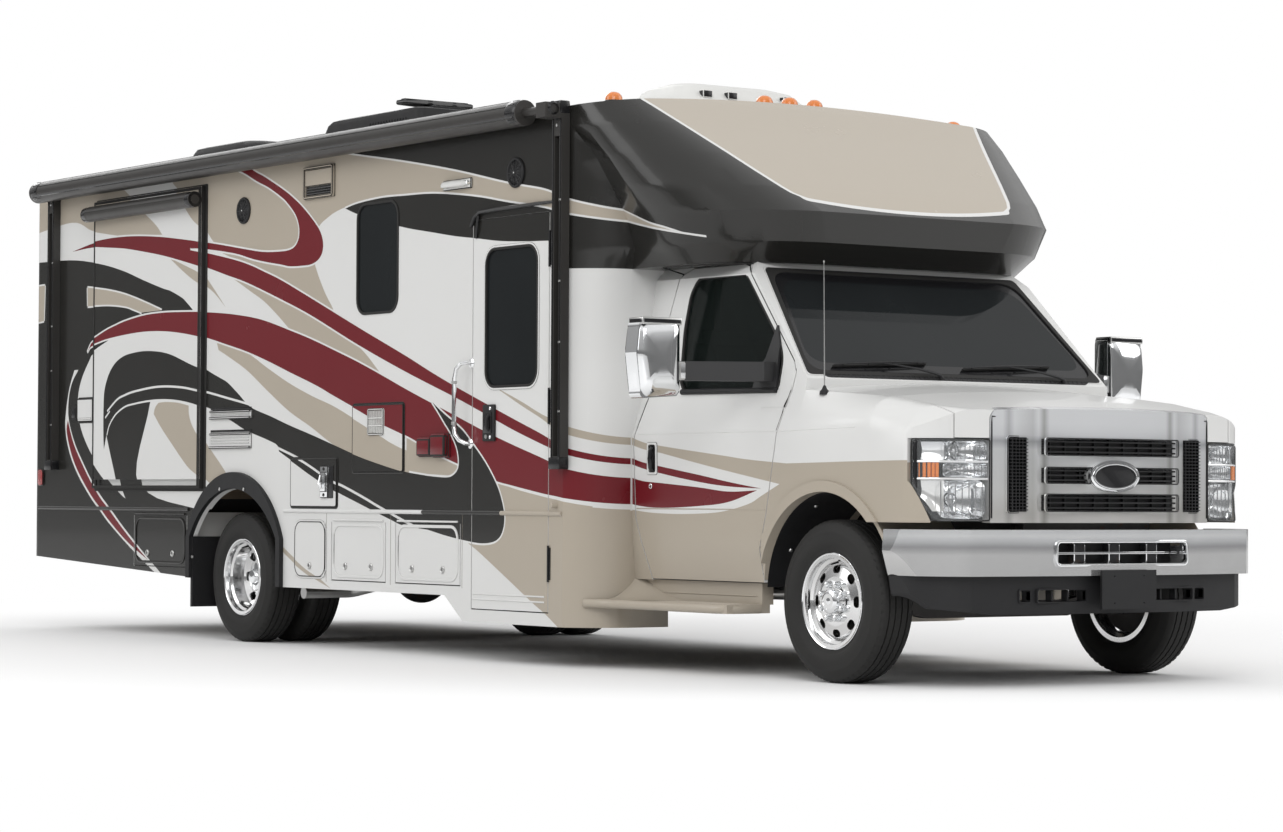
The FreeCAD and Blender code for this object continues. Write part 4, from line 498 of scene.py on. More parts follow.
# Graphics in painting order: finish, which runs carry a white line, then smooth runs of (station, level).
# Straight lines join one run to the next. Metres, with stations behind the front axle.
SIDE_GRAPHICS = (
    ("beige", "",
     ((-1.3, 0.1), (-1.3, 1.01)),
     ((-1.3, 1.01), (-0.5, 1.01), (0.33, 1.0)),
     ((0.36, 0.906), (0.5, 0.85), (0.6, 0.812), (0.8, 0.776), (1.0, 0.764), (1.25, 0.762), (1.5, 0.775),
      (1.75, 0.82), (1.94, 0.845), (2.2, 0.885), (2.45, 0.94)),
     ((2.62, 0.605), (2.5, 0.554), (2.2, 0.408), (2.0, 0.31), (1.87, 0.25), (1.6, 0.1))),
    ("beige", "",
     ((0.3, 1.0), (0.6, 1.02), (0.8, 1.04), (1.3, 1.09), (1.5, 1.12), (1.775, 1.205), (1.95, 1.257),
      (2.125, 1.32), (2.38, 1.402)),
     ((2.38, 1.402), (2.125, 1.3), (1.95, 1.235), (1.775, 1.165), (1.5, 1.085), (1.3, 1.055), (0.8, 0.97),
      (0.34, 0.9))),
    ("beige", "",
     ((1.08, 2.13), (1.25, 2.17), (1.5, 2.245), (1.75, 2.32), (1.925, 2.37), (2.25, 2.425), (2.75, 2.525),
      (3.25, 2.61), (3.72, 2.68)),
     ((3.8, 2.95), (6.0, 2.95)),
     ((5.93, 2.69), (5.85, 2.637), (5.65, 2.469), (5.525, 2.4), (5.43, 2.325)),
     ((5.3, 2.24), (4.8, 2.1), (4.5, 2.0), (4.25, 1.92), (4.0, 1.84)),
     ((4.0, 1.84), (4.03, 1.88), (4.1, 1.95), (4.17, 2.04), (4.215, 2.11)),
     ((4.25, 2.25), (4.17, 2.33), (4.08, 2.368), (4.0, 2.392), (3.89, 2.412), (3.75, 2.428), (3.5, 2.44),
      (3.25, 2.435), (3.0, 2.427), (2.75, 2.405), (2.5, 2.372), (2.25, 2.33), (1.925, 2.28), (1.75, 2.24),
      (1.5, 2.19), (1.25, 2.145), (1.08, 2.11))),
    ("beige", "",
     ((6.012, 2.39), (6.125, 2.469), (6.462, 2.637), (6.562, 2.69), (6.8, 2.8)),
     ((7.9, 2.95), (7.9, 2.5)),
     ((7.9, 2.5), (7.3, 2.545), (7.03, 2.48), (6.8, 2.445), (6.5, 2.41), (6.25, 2.4), (6.012, 2.39))),
    ("beige", "",
     ((3.515, 1.505), (3.65, 1.6), (3.77, 1.665)),
     ((3.77, 1.665), (4.0, 1.76), (4.25, 1.85), (4.5, 1.93), (4.9, 2.03), (5.25, 2.115)),
     ((5.25, 2.115), (5.1, 2.06), (4.95, 2.0), (4.8, 1.94), (4.65, 1.86), (4.5, 1.77)),
     ((4.5, 1.77), (4.25, 1.7), (4.0, 1.63), (3.75, 1.56), (3.515, 1.49))),
    ("beige", "",
     ((2.68, 0.97), (2.8, 1.04), (3.0, 1.1), (3.228, 1.17)),
     ((3.228, 1.082), (3.38, 1.124), (3.5, 1.165), (3.75, 1.249), (4.0, 1.33), (4.25, 1.394), (4.5, 1.469),
      (4.75, 1.56), (5.0, 1.656), (5.25, 1.706), (5.525, 1.755)),
     ((5.525, 1.755), (5.375, 1.694), (5.25, 1.65), (5.0, 1.556), (4.75, 1.431), (4.5, 1.312), (4.25, 1.22),
      (4.0, 1.12), (3.75, 1.05), (3.25, 0.96), (2.9, 0.93), (2.68, 0.97))),
    ("beige", "",
     ((5.256, 1.925), (5.4, 2.037), (5.512, 2.119), (5.575, 2.15), (5.75, 2.2), (5.925, 2.25)),
     ((5.925, 2.25), (5.75, 2.162), (5.625, 2.106), (5.525, 2.069), (5.4, 2.015), (5.256, 1.925))),
    ("beige", "",
     ((4.02, 0.335), (4.15, 0.39), (4.3, 0.44), (4.45, 0.505), (4.7, 0.62)),
     ((4.7, 0.595), (4.45, 0.475), (4.3, 0.415), (4.15, 0.37), (4.02, 0.335))),
    ("white", "",
     ((0.36, 0.905), (0.8, 0.972), (1.3, 1.052), (1.5, 1.07), (1.62, 1.09)),
     ((1.62, 0.79), (1.5, 0.775), (1.25, 0.762), (1.0, 0.764), (0.8, 0.776), (0.6, 0.812), (0.5, 0.85),
      (0.36, 0.905))),
    # dark field of the rear with its band and nose
    ("charcoal", "34",
     ((7.95, 0.1), (7.95, 2.322)),
     ((7.95, 2.322), (7.35, 2.312), (7.0, 2.28), (6.75, 2.245), (6.5, 2.195), (6.25, 2.13), (6.0, 2.07),
      (5.9, 2.05), (5.75, 2.002), (5.688, 1.97), (5.62, 1.93)),
     ((5.45, 1.56), (5.25, 1.5), (5.1, 1.425), (4.95, 1.345), (4.7, 1.285), (4.5, 1.235), (4.25, 1.179),
      (4.0, 1.12), (3.75, 1.061), (3.5, 1.012), (3.25, 0.971), (3.0, 0.947)),
     ((3.0, 0.947), (2.6, 0.93)),
     ((2.6, 0.93), (2.4, 0.8), (2.38, 0.65), (2.658, 0.617), (2.825, 0.637), (3.0, 0.665), (3.25, 0.685),
      (3.38, 0.714), (3.5, 0.744), (3.75, 0.808), (4.0, 0.874), (4.25, 0.957), (4.42, 1.019), (4.61, 1.088)),
     ((4.61, 1.088), (4.637, 1.125), (4.75, 1.156), (5.0, 1.212), (5.2, 1.275), (5.41, 1.328),
      (5.65, 1.375), (5.9, 1.398), (6.15, 1.4)),
     ((6.15, 1.4), (6.3, 0.9), (5.5, 0.745)),
     ((5.5, 0.745), (5.4, 0.1))),
    ("white", "",
     ((5.4, 1.8), (5.9, 1.86), (6.3, 1.86), (6.6, 1.83), (6.725, 1.785)),
     ((6.725, 1.785), (6.875, 1.744), (7.0, 1.706), (7.037, 1.675), (7.125, 1.588), (7.175, 1.512),
      (7.196, 1.437), (7.188, 1.35), (7.156, 1.262), (7.088, 1.175), (7.0, 1.094), (6.875, 1.0),
      (6.75, 0.925), (6.588, 0.844), (6.525, 0.819)),
     ((6.525, 0.819), (6.562, 0.862), (6.588, 0.9), (6.63, 0.987), (6.675, 1.075), (6.712, 1.15),
      (6.738, 1.205)),
     ((6.738, 1.205), (6.758, 1.15), (6.771, 1.119)),
     ((6.771, 1.119), (6.779, 1.2), (6.782, 1.3), (6.778, 1.437), (6.762, 1.5), (6.725, 1.562),
      (6.675, 1.612), (6.6, 1.656), (6.5, 1.685), (6.4, 1.697), (6.275, 1.704), (6.15, 1.702), (6.0, 1.69),
      (5.875, 1.669), (5.75, 1.637), (5.625, 1.604), (5.5, 1.575), (5.4, 1.544), (5.25, 1.5))),
    ("white", "",
     ((5.2, 1.275), (5.41, 1.328), (5.65, 1.375), (5.9, 1.398), (6.056, 1.4)),
     ((6.056, 1.4), (6.1, 1.355), (6.1225, 1.3), (6.119, 1.237), (6.087, 1.162), (6.025, 1.075),
      (5.975, 1.025), (5.9, 0.962), (5.825, 0.912), (5.75, 0.869), (5.675, 0.819), (5.587, 0.762),
      (5.5, 0.7)),
     ((5.2, 0.9), (5.2, 1.275))),
    ("beige", "",
     ((5.656, 1.366), (5.8, 1.386), (5.95, 1.393), (6.045, 1.39)),
     ((6.045, 1.39), (6.087, 1.362), (6.106, 1.325)),
     ((6.106, 1.325), (6.025, 1.256), (5.95, 1.2), (5.85, 1.131), (5.75, 1.062), (5.65, 1.0), (5.525, 0.95),
      (5.4, 0.894), (5.2, 0.8)),
     ((5.1, 0.85), (5.25, 0.98), (5.4, 1.087), (5.525, 1.175), (5.612, 1.25), (5.65, 1.312), (5.656, 1.366))),
    ("beige", "012",
     ((6.012, 1.94), (6.25, 2.0), (6.5, 2.056), (6.75, 2.094), (7.075, 2.127)),
     ((7.075, 2.127), (7.07, 2.012)),
     ((7.07, 2.01), (6.75, 2.006), (6.5, 1.985), (6.375, 1.96), (6.275, 1.937))),
    ("beige", "012",
     ((7.69, 2.17), (7.95, 2.165)),
     ((7.95, 1.93), (7.7, 1.945)),
     ((7.7, 1.945), (7.69, 2.17))),
    # long red band, then the dark nose over it
    ("red", "01",
     ((0.53, 0.876), (0.76, 0.87), (1.0, 0.89), (1.3, 0.91), (1.5, 0.926), (1.75, 0.985), (1.94, 1.037),
      (2.2, 1.103), (2.48, 1.179), (2.75, 1.26), (2.98, 1.328), (3.25, 1.41), (3.5, 1.49), (3.75, 1.567),
      (4.0, 1.637), (4.25, 1.705), (4.5, 1.765), (4.825, 1.837), (5.15, 1.88), (5.5, 1.908), (5.75, 1.919),
      (6.0, 1.925), (6.25, 1.919), (6.5, 1.894), (6.65, 1.869), (6.75, 1.85), (6.9, 1.812), (7.0, 1.785),
      (7.037, 1.76), (7.07, 1.725)),
     ((7.07, 1.725), (7.02, 1.757), (6.9, 1.774), (6.75, 1.794), (6.5, 1.812), (6.25, 1.821), (6.0, 1.815),
      (5.75, 1.794), (5.5, 1.76), (5.25, 1.712), (5.0, 1.662), (4.75, 1.6), (4.5, 1.531), (4.2, 1.45),
      (4.0, 1.387), (3.7, 1.295), (3.49, 1.228), (3.25, 1.165), (3.089, 1.117), (2.894, 1.054), (2.6, 0.98),
      (2.36, 0.922), (2.2, 0.897), (1.94, 0.86), (1.75, 0.837), (1.5, 0.8), (1.3, 0.79), (1.0, 0.8),
      (0.76, 0.82), (0.53, 0.876))),
    ("charcoal", "01",
     ((3.2, 0.965), (3.0, 0.947), (2.825, 0.939), (2.756, 0.953), (2.714, 0.985), (2.707, 1.033),
      (2.728, 1.096), (2.783, 1.165), (2.853, 1.228), (2.922, 1.29), (2.972, 1.332)),
     ((2.972, 1.332), (2.867, 1.276), (2.751, 1.221), (2.658, 1.172), (2.575, 1.11), (2.501, 1.054),
      (2.436, 0.999), (2.367, 0.929), (2.318, 0.867), (2.283, 0.797), (2.269, 0.742), (2.276, 0.686),
      (2.311, 0.637), (2.38, 0.61), (2.5, 0.603), (2.658, 0.617), (2.825, 0.637), (3.0, 0.665)),
     ((3.2, 0.72), (3.2, 0.965))),
    ("red", "01",
     ((5.67, 2.338), (5.5, 2.315), (5.25, 2.281), (5.0, 2.245), (4.8, 2.22), (4.6, 2.212), (4.51, 2.215),
      (4.45, 2.23), (4.41, 2.265), (4.398, 2.31), (4.41, 2.36), (4.45, 2.415), (4.53, 2.475), (4.6, 2.515),
      (4.75, 2.58), (4.9, 2.63), (5.06, 2.69), (5.3, 2.76)),
     ((5.2, 2.8), (4.93, 2.69), (4.8, 2.645), (4.6, 2.565), (4.49, 2.515), (4.37, 2.45), (4.25, 2.37),
      (4.17, 2.305), (4.135, 2.25), (4.13, 2.205), (4.15, 2.165), (4.2, 2.135), (4.27, 2.12), (4.35, 2.118),
      (4.5, 2.122), (4.6, 2.137), (4.8, 2.165), (4.95, 2.19), (5.15, 2.231), (5.5, 2.276), (5.65, 2.287))),
    ("red", "012",
     ((0.5, 0.884), (0.76, 0.916), (1.0, 0.95), (1.3, 0.99), (1.5, 1.02), (1.75, 1.09), (1.94, 1.155),
      (2.2, 1.235), (2.5, 1.33), (2.75, 1.41), (3.0, 1.495), (3.25, 1.585), (3.75, 1.755), (4.25, 1.93),
      (4.6, 2.05), (4.8, 2.108), (4.95, 2.15), (5.15, 2.194), (5.5, 2.254), (5.65, 2.277)),
     ((5.66, 2.336), (5.75, 2.347), (6.0, 2.375), (6.25, 2.396), (6.5, 2.409), (6.75, 2.41), (7.0, 2.398),
      (7.3, 2.362)),
     ((7.3, 2.362), (7.0, 2.372), (6.75, 2.356), (6.5, 2.335), (6.25, 2.302), (6.0, 2.265), (5.75, 2.219),
      (5.5, 2.169), (5.25, 2.112), (5.0, 2.055), (4.6, 1.942), (4.25, 1.835), (3.75, 1.66), (3.25, 1.5),
      (2.75, 1.353), (2.5, 1.275), (2.2, 1.179), (1.94, 1.105), (1.75, 1.055), (1.5, 0.99), (1.3, 0.956),
      (1.0, 0.916), (0.76, 0.894), (0.5, 0.884))),
    ("charcoal", "0",
     ((0.9, 2.07), (1.1, 2.137), (1.25, 2.175), (1.5, 2.248), (1.75, 2.322), (1.925, 2.375), (2.25, 2.43),
      (2.75, 2.53), (3.25, 2.615), (3.75, 2.69), (4.0, 2.73)),
     ((4.0, 3.0), (0.9, 3.0))),
    ("charcoal", "0",
     ((3.89, 2.405), (3.75, 2.424), (3.5, 2.436), (3.25, 2.431), (3.0, 2.423), (2.75, 2.4), (2.5, 2.368),
      (2.25, 2.326), (1.925, 2.276), (1.75, 2.236), (1.5, 2.186), (1.25, 2.141), (0.9, 2.08)),
     ((0.9, 2.08), (0.8, 1.9)),
     ((0.8, 1.94), (1.0, 1.985), (1.25, 2.03), (1.5, 2.072), (1.75, 2.103), (1.925, 2.112), (2.1, 2.12),
      (2.325, 2.135), (2.55, 2.162), (2.75, 2.185), (3.0, 2.222), (3.25, 2.26), (3.5, 2.31), (3.75, 2.364),
      (3.89, 2.405))),
    ("white", "",
     ((7.194, 1.619), (7.25, 1.619)),
     ((7.25, 1.619), (7.312, 1.525), (7.35, 1.425), (7.375, 1.312), (7.372, 1.25), (7.35, 1.175),
      (7.3, 1.087), (7.237, 1.012), (7.15, 0.931), (7.0, 0.819), (6.875, 0.744), (6.75, 0.669),
      (6.5, 0.544), (6.25, 0.431), (6.06, 0.352)),
     ((6.0, 0.352), (6.25, 0.481), (6.5, 0.619), (6.575, 0.662), (6.75, 0.769), (6.875, 0.844),
      (7.0, 0.937), (7.125, 1.05), (7.225, 1.15), (7.287, 1.237), (7.325, 1.312), (7.335, 1.387),
      (7.319, 1.475), (7.275, 1.55), (7.194, 1.619))),
    ("red", "",
     ((7.338, 1.31), (7.297, 1.228), (7.235, 1.139), (7.133, 1.037), (7.008, 0.924), (6.883, 0.83),
      (6.757, 0.755), (6.507, 0.606), (6.22, 0.452)),
     ((6.22, 0.452), (6.495, 0.557), (6.745, 0.683), (6.868, 0.758), (6.992, 0.833), (7.14, 0.946),
      (7.226, 1.026), (7.286, 1.1), (7.334, 1.185), (7.355, 1.25), (7.338, 1.31))),
)
# White lines: width, then (station, level).
SIDE_LINES = (
    (0.013, (4.875, 1.344), (5.025, 1.37), (5.25, 1.405), (5.5, 1.444), (5.75, 1.475), (6.05, 1.486),
     (6.35, 1.466), (6.5, 1.444), (6.6, 1.419), (6.73, 1.352)),
    (0.011, (5.41, 1.333), (5.65, 1.378), (5.9, 1.4025), (6.15, 1.404), (6.4, 1.387), (6.5, 1.372),
     (6.6, 1.337), (6.66, 1.3), (6.706, 1.256), (6.731, 1.206)),
    (0.011, (6.694, 1.352), (6.756, 1.312)),
    (0.014, (3.1, 0.672), (3.25, 0.711), (3.5, 0.781), (3.67, 0.832), (3.867, 0.887), (4.033, 0.929),
     (4.25, 1.005), (4.42, 1.057), (4.64, 1.112)),
)


def drawn(graphics, lines, width):
    """Polygons of the graphics in painting order: (finish, outline)."""
    layers = []
    for finish, lined, *runs in graphics:
        outline = closed(runs)
        turn = 1 if area(outline) > 0 else -1
        for index in lined:
            line = flow(runs[int(index)])
            layers.append(("white", ribbon(line, 0.001 if turn > 0 else width, width if turn > 0 else 0.001)))
        layers.append((finish, outline))
    for thick, *points in lines:
        layers.append(("white", ribbon(flow(points), thick / 2, thick / 2)))
    return layers


# Direction of looking: axis of depth, its sign outwards.
VIEWS = {"right": (0, -1), "left": (0, 1), "back": (1, 1), "front": (1, -1)}
PAINTS = ("white", "beige", "red", "charcoal")


def level_on(a, normal, spot, axis):
    """How far along the depth axis a plane lies under a flat spot."""
    u, v = spot
    if axis == 0:
        return a.x - (normal.y * (AXLE_Y + u - a.y) + normal.z * (v - a.z)) / normal.x
    return a.y - (normal.x * (u - a.x) + normal.z * (v - a.z)) / normal.y


def skin(name, node, view, body, layers, base, facing=0.3, lift=0.0006, wanted=None):
    """Thin coloured skin over a CAD node's faces on one side, cut along the graphics."""
    axis, sign = VIEWS[view]
    out = Vector((sign, 0, 0)) if axis == 0 else Vector((0, sign, 0))
    source = NODES[node].data
    source.calc_loop_triangles()
    points = [vertex.co for vertex in source.vertices]
    triangles = [
        [points[i] for i in triangle.vertices] for triangle in source.loop_triangles
        if triangle.normal.dot(out) > facing and (axis or points[triangle.vertices[0]].x * sign > 0)
        and (not wanted or wanted(triangle.center.y - AXLE_Y, triangle.center.z))
    ]
    spots, faces = [], []
    for shape in triangles + [layer[1] for layer in layers]:
        start = len(spots)
        outline = [(p.x if axis else p.y - AXLE_Y, p.z) if isinstance(p, Vector) else p for p in shape]
        if area(outline) < 0:
            outline.reverse()
        spots += [Vector(p) for p in outline]
        faces.append(list(range(start, len(spots))))
    verts, _, polygons, _, _, origins = delaunay_2d_cdt(spots, [], faces, 1, 1e-5, True)
    rows, cells, slots, known = [], [], [], {}
    for polygon, found in zip(polygons, origins):
        under = [index for index in found if index < len(triangles)]
        if not under:
            continue
        centre = sum((verts[i] for i in polygon), Vector((0, 0))) / len(polygon)
        planes = []
        for index in under:
            a, b, c = triangles[index]
            normal = (b - a).cross(c - a)
            planes.append((level_on(a, normal, centre, axis), a, normal))
        _, a, normal = max(planes, key=lambda plane: plane[0] * sign)
        cell = []
        for i in polygon:
            reach = level_on(a, normal, verts[i], axis)
            key = (i, round(reach, 4))
            if key not in known:
                known[key] = len(rows)
                u, v = verts[i]
                rows.append((u, reach + lift * sign, v) if axis else (reach + lift * sign, AXLE_Y + u, v))
            cell.append(known[key])
        above = [index for index in found if index >= len(triangles)]
        finish = layers[max(above) - len(triangles)][0] if above else base
        cells.append(cell if view in ("left", "front") else cell[::-1])
        slots.append(PAINTS.index(finish))
    mesh = bpy.data.meshes.new(name)
    mesh.from_pydata(rows, [], cells)
    made = piece(name, mesh, body, PAINTS)
    mesh.polygons.foreach_set("material_index", slots)
    mesh.validate()
    return made


# Back: bands that carry the side's colours round the corners.
BACK_GRAPHICS = (
    ("charcoal", "",
     ((-1.3, 0.1), (-1.3, 2.322)),
     ((-1.3, 2.322), (-1.0, 2.32), (0, 2.3), (1.0, 2.32), (1.3, 2.322)),
     ((1.3, 2.322), (1.3, 0.1))),
    ("beige", "",
     ((-1.3, 2.54), (0, 2.6), (1.3, 2.54)),
     ((1.3, 2.54), (1.3, 3.0), (-1.3, 3.0))),
    ("beige", "",
     ((-1.3, 1.93), (-1.05, 1.925), (-0.8, 1.93)),
     ((-0.8, 1.93), (-0.62, 2.03), (-0.8, 2.13)),
     ((-0.8, 2.13), (-1.05, 2.16), (-1.3, 2.165))),
    ("beige", "",
     ((1.3, 1.93), (1.05, 1.925), (0.8, 1.93)),
     ((0.8, 1.93), (0.62, 2.03), (0.8, 2.13)),
     ((0.8, 2.13), (1.05, 2.16), (1.3, 2.165))),
    ("red", "01",
     ((-1.3, 0.66), (-0.6, 0.8), (0, 0.85), (0.6, 0.8), (1.3, 0.66)),
     ((1.3, 0.58), (0.6, 0.74), (0, 0.8), (-0.6, 0.74), (-1.3, 0.58))),
)


# ---------------------------------------------------------------- solid helpers
AXES = {"x": lambda a, b, t: (t, a, b), "y": lambda a, b, t: (a, t, b), "z": lambda a, b, t: (a, b, t)}
AFAR = 3
TREES = {}


def extent(node):
    """Start, end, foot and head of a CAD node: stations and levels."""
    low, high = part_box(node)
    return low.y - AXLE_Y, high.y - AXLE_Y, low.z, high.z


def rounded(low, high, radius, steps=5):
    """Rectangle with round corners, from its lowest and highest corner."""
    radius = min(radius, (high[0] - low[0]) / 2 - 1e-4, (high[1] - low[1]) / 2 - 1e-4)
    line = []
    for corner, (x, y) in enumerate((high, (low[0], high[1]), low, (high[0], low[1]))):
        centre = (x - radius if x == high[0] else x + radius, y - radius if y == high[1] else y + radius)
        for step in range(steps + 1):
            angle = math.radians(90 * (corner + step / steps))
            line.append((centre[0] + radius * math.cos(angle), centre[1] + radius * math.sin(angle)))
    return line


def grown(low, high, by, radius, steps=5):
    """Rectangle with round corners, drawn out by a distance all round."""
    return rounded((low[0] - by, low[1] - by), (high[0] + by, high[1] + by), radius, steps)


def oval(centre, across, up, steps=40):
    """Ellipse by its centre and half widths."""
    turns = [math.tau * i / steps for i in range(steps)]
    return [(centre[0] + across * math.cos(turn), centre[1] + up * math.sin(turn)) for turn in turns]


def softened(corners, radius, steps=5):
    """Polygon with its corners rounded."""
    line = []
    for index, corner in enumerate(corners):
        here = Vector(corner)
        to_last = Vector(corners[index - 1]) - here
        to_next = Vector(corners[(index + 1) % len(corners)]) - here
        reach = min(radius, to_last.length * 0.45, to_next.length * 0.45)
        a, b = here + to_last.normalized() * reach, here + to_next.normalized() * reach
        for t in [step / steps for step in range(steps + 1)]:
            line.append(tuple(a * (1 - t) ** 2 + here * 2 * t * (1 - t) + b * t ** 2))
    return line


def divided(corners, step):
    """Points along straight lines, about a step apart."""
    line = []
    for a, b in zip(corners, corners[1:]):
        span = Vector(b) - Vector(a)
        count = max(1, round(span.length / step))
        line += [Vector(a) + span * (i / count) for i in range(count)]
    return line


def band(rings, size, loop=False):
    """Faces between rings of a size, one ring after another."""
    cells = []
    for ring in range(rings if loop else rings - 1):
        a, b = ring * size, (ring + 1) % rings * size
        cells += [(a + i, a + (i + 1) % size, b + (i + 1) % size, b + i) for i in range(size)]
    return cells


def net(rows, size):
    """Faces of an open grid."""
    return [(r * size + i, r * size + i + 1, (r + 1) * size + i + 1, (r + 1) * size + i)
            for r in range(rows - 1) for i in range(size - 1)]


def cast(nodes, start, way, needed=True):
    """Nearest point and normal where a line from (across, station, level) meets CAD nodes."""
    origin = Vector((start[0], AXLE_Y + start[1], start[2]))
    found = []
    for node in nodes.split():
        if node not in TREES:
            source = NODES[node].data
            TREES[node] = BVHTree.FromPolygons([vertex.co for vertex in source.vertices],
                                               [face.vertices for face in source.polygons])
        spot, normal, _, reach = TREES[node].ray_cast(origin, Vector(way))
        if spot:
            found.append((reach, spot, normal))
    if not found:
        if needed:
            raise RuntimeError(f"no surface of {nodes} lies on the line from {tuple(start)}")
        return None
    _, spot, normal = min(found, key=lambda row: row[0])
    return Vector((spot.x, spot.y - AXLE_Y, spot.z)), normal


def beside(nodes, side, station, level, needed=True):
    """Point and normal of CAD nodes seen from one side."""
    return cast(nodes, (side * AFAR, station, level), (-side, 0, 0), needed)


def before(nodes, across, level):
    """Station of CAD nodes seen from the front."""
    return cast(nodes, (across, -AFAR, level), (0, 1, 0))[0].y


def draped(nodes, points, side, lift=0.0, step=0.03):
    """Line laid on CAD nodes: (station, level) from a side, or with side 0 (across, level) from the front."""
    laid = []
    for u, v in divided(points, step) + [Vector(points[-1])]:
        start, way = ((side * AFAR, u, v), (-side, 0, 0)) if side else ((u, -AFAR, v), (0, 1, 0))
        met = cast(nodes, start, way, False)
        if met and met[1].dot(Vector(way)) < -0.2:
            laid.append(met[0] + met[1] * lift)
    return laid


# Radius that closes the end of a turned part.
TIP = 0.0001


class Mould:
    """A mesh under construction, in (across, station, level), stations behind the front axle."""

    def __init__(self):
        self.bm, self.names = bmesh.new(), []
        self.matrix = Matrix.Identity(4)

    def turned(self, origin, right, above):
        """Later shapes are measured from an origin along right, above and outwards."""
        right, above = Vector(right).normalized(), Vector(above).normalized()
        self.matrix = Matrix((right, above, right.cross(above))).transposed().to_4x4()
        self.matrix.translation = Vector(origin)
        return self

    def upright(self):
        """Back to the vehicle's own directions."""
        self.matrix = Matrix.Identity(4)
        return self

    def add(self, rows, cells, finish):
        if finish not in self.names:
            self.names.append(finish)
        points = [self.bm.verts.new(self.matrix @ Vector(row)) for row in rows]
        made = []
        for cell in cells:
            face = self.bm.faces.new([points[i] for i in cell])
            face.material_index = self.names.index(finish)
            made.append(face)
        return made

    def bevelled(self, edges, size, steps=2):
        if size:
            bmesh.ops.bevel(self.bm, geom=edges, offset=size, offset_type="OFFSET", segments=steps,
                            profile=0.6, affect="EDGES", clamp_overlap=True)

    def plate(self, outline, axis, start, end, finish, hole=None, bevel=0.0):
        """Flat outline given thickness along an axis, or the ring between it and a hole of as many points."""
        place, count = AXES[axis], len(outline)
        rows = [place(a, b, t) for t in (start, end) for a, b in outline]
        cells = band(2, count)
        if hole:
            rows += [place(a, b, t) for t in (start, end) for a, b in hole]
            cells += [tuple(2 * count + i for i in (a, d, c, b)) for a, b, c, d in band(2, count)]
            for level in (0, count):
                cells += [(level + i, 2 * count + level + i, 2 * count + level + (i + 1) % count,
                           level + (i + 1) % count) for i in range(count)]
        else:
            cells += [tuple(range(count)), tuple(range(count, 2 * count))]
        faces = self.add(rows, cells, finish)
        if bevel:
            caps = set(faces[2 * count:] if hole else faces[count:])
            edges = {edge for face in caps for edge in face.edges if len(caps & set(edge.link_faces)) == 1}
            self.bevelled(list(edges), bevel)
        return self

    def block(self, low, high, finish, bevel=0.004):
        """Box with rounded edges."""
        rows = [(x, y, z) for x in (low[0], high[0]) for y in (low[1], high[1]) for z in (low[2], high[2])]
        cells = ((0, 1, 3, 2), (4, 6, 7, 5), (0, 4, 5, 1), (2, 3, 7, 6), (0, 2, 6, 4), (1, 5, 7, 3))
        faces = self.add(rows, cells, finish)
        self.bevelled(list({edge for face in faces for edge in face.edges}),
                      min(bevel, *(abs(b - a) * 0.4 for a, b in zip(low, high))))
        return self

    def cuboid(self, x, y, z, finish, bevel=0.004):
        """Box with rounded edges from its spans, the ends of x in any order."""
        return self.block((min(x), y[0], z[0]), (max(x), y[1], z[1]), finish, bevel)

    def tube(self, points, radius, finish, sides=10, flat=1.0, loop=False):
        """Round or flattened bar along points; the radius may be one for each point."""
        points = [Vector(point) for point in points]
        radii = radius if isinstance(radius, (list, tuple)) else [radius] * len(points)
        count, rows, above = len(points), [], None
        for index, here in enumerate(points):
            ahead = points[(index + 1) % count] if loop or index < count - 1 else here
            back = points[index - 1] if loop or index else here
            way = (ahead - back).normalized()
            if above is None:
                above = Vector((0, 0, 1)) if abs(way.z) < 0.8 else Vector((0, 1, 0))
            above = (above - way * above.dot(way)).normalized()
            across = way.cross(above)
            for angle in [math.tau * side / sides for side in range(sides)]:
                rows.append(here + (across * math.cos(angle) + above * math.sin(angle) * flat) * radii[index])
        cells = band(count, sides, loop)
        if not loop:
            cells += [tuple(range(sides)), tuple(range((count - 1) * sides, count * sides))]
        self.add(rows, cells, finish)
        return self

    def lathe(self, profile, centre, axis, finish, steps=32, scale=(1, 1), ripple=None):
        """Turns a scaled section of (along, radius) about an axis; ripple changes radii by step and row."""
        place, rows = AXES[axis], []
        for step in range(steps):
            angle = math.tau * step / steps
            for index, (along, radius) in enumerate(profile):
                radius = radius * scale[1] + (ripple(step, index) if ripple else 0)
                spot = place(radius * math.cos(angle), radius * math.sin(angle), along * scale[0])
                rows.append(Vector(centre) + Vector(spot))
        size = len(profile)
        cells = [(s * size + i, s * size + i + 1, (s + 1) % steps * size + i + 1, (s + 1) % steps * size + i)
                 for s in range(steps) for i in range(size - 1)]
        self.add(rows, cells, finish)
        return self

    def stacked(self, rings, finish):
        """Rings of as many points each, one after another, closed over the last."""
        size, last = len(rings[0]), len(rings) - 1
        cells = band(len(rings), size) + [tuple(range(last * size, (last + 1) * size))]
        self.add([row for ring in rings for row in ring], cells, finish)
        return self

    def lock(self, side, station, level):
        """Round compartment lock on a side wall."""
        self.lathe([(-0.001, 0.020), (0.005, 0.0195), (0.0075, 0.016), (0.0055, 0.012), (0.0070, TIP)],
                   (side * WALL_X, station, level), "x", "steel", 24, (side, 1))
        self.cuboid((side * (WALL_X + 0.0065), side * (WALL_X + 0.0085)),
                    (station - 0.0015, station + 0.0015), (level - 0.008, level + 0.008), "seal", 0.0004)

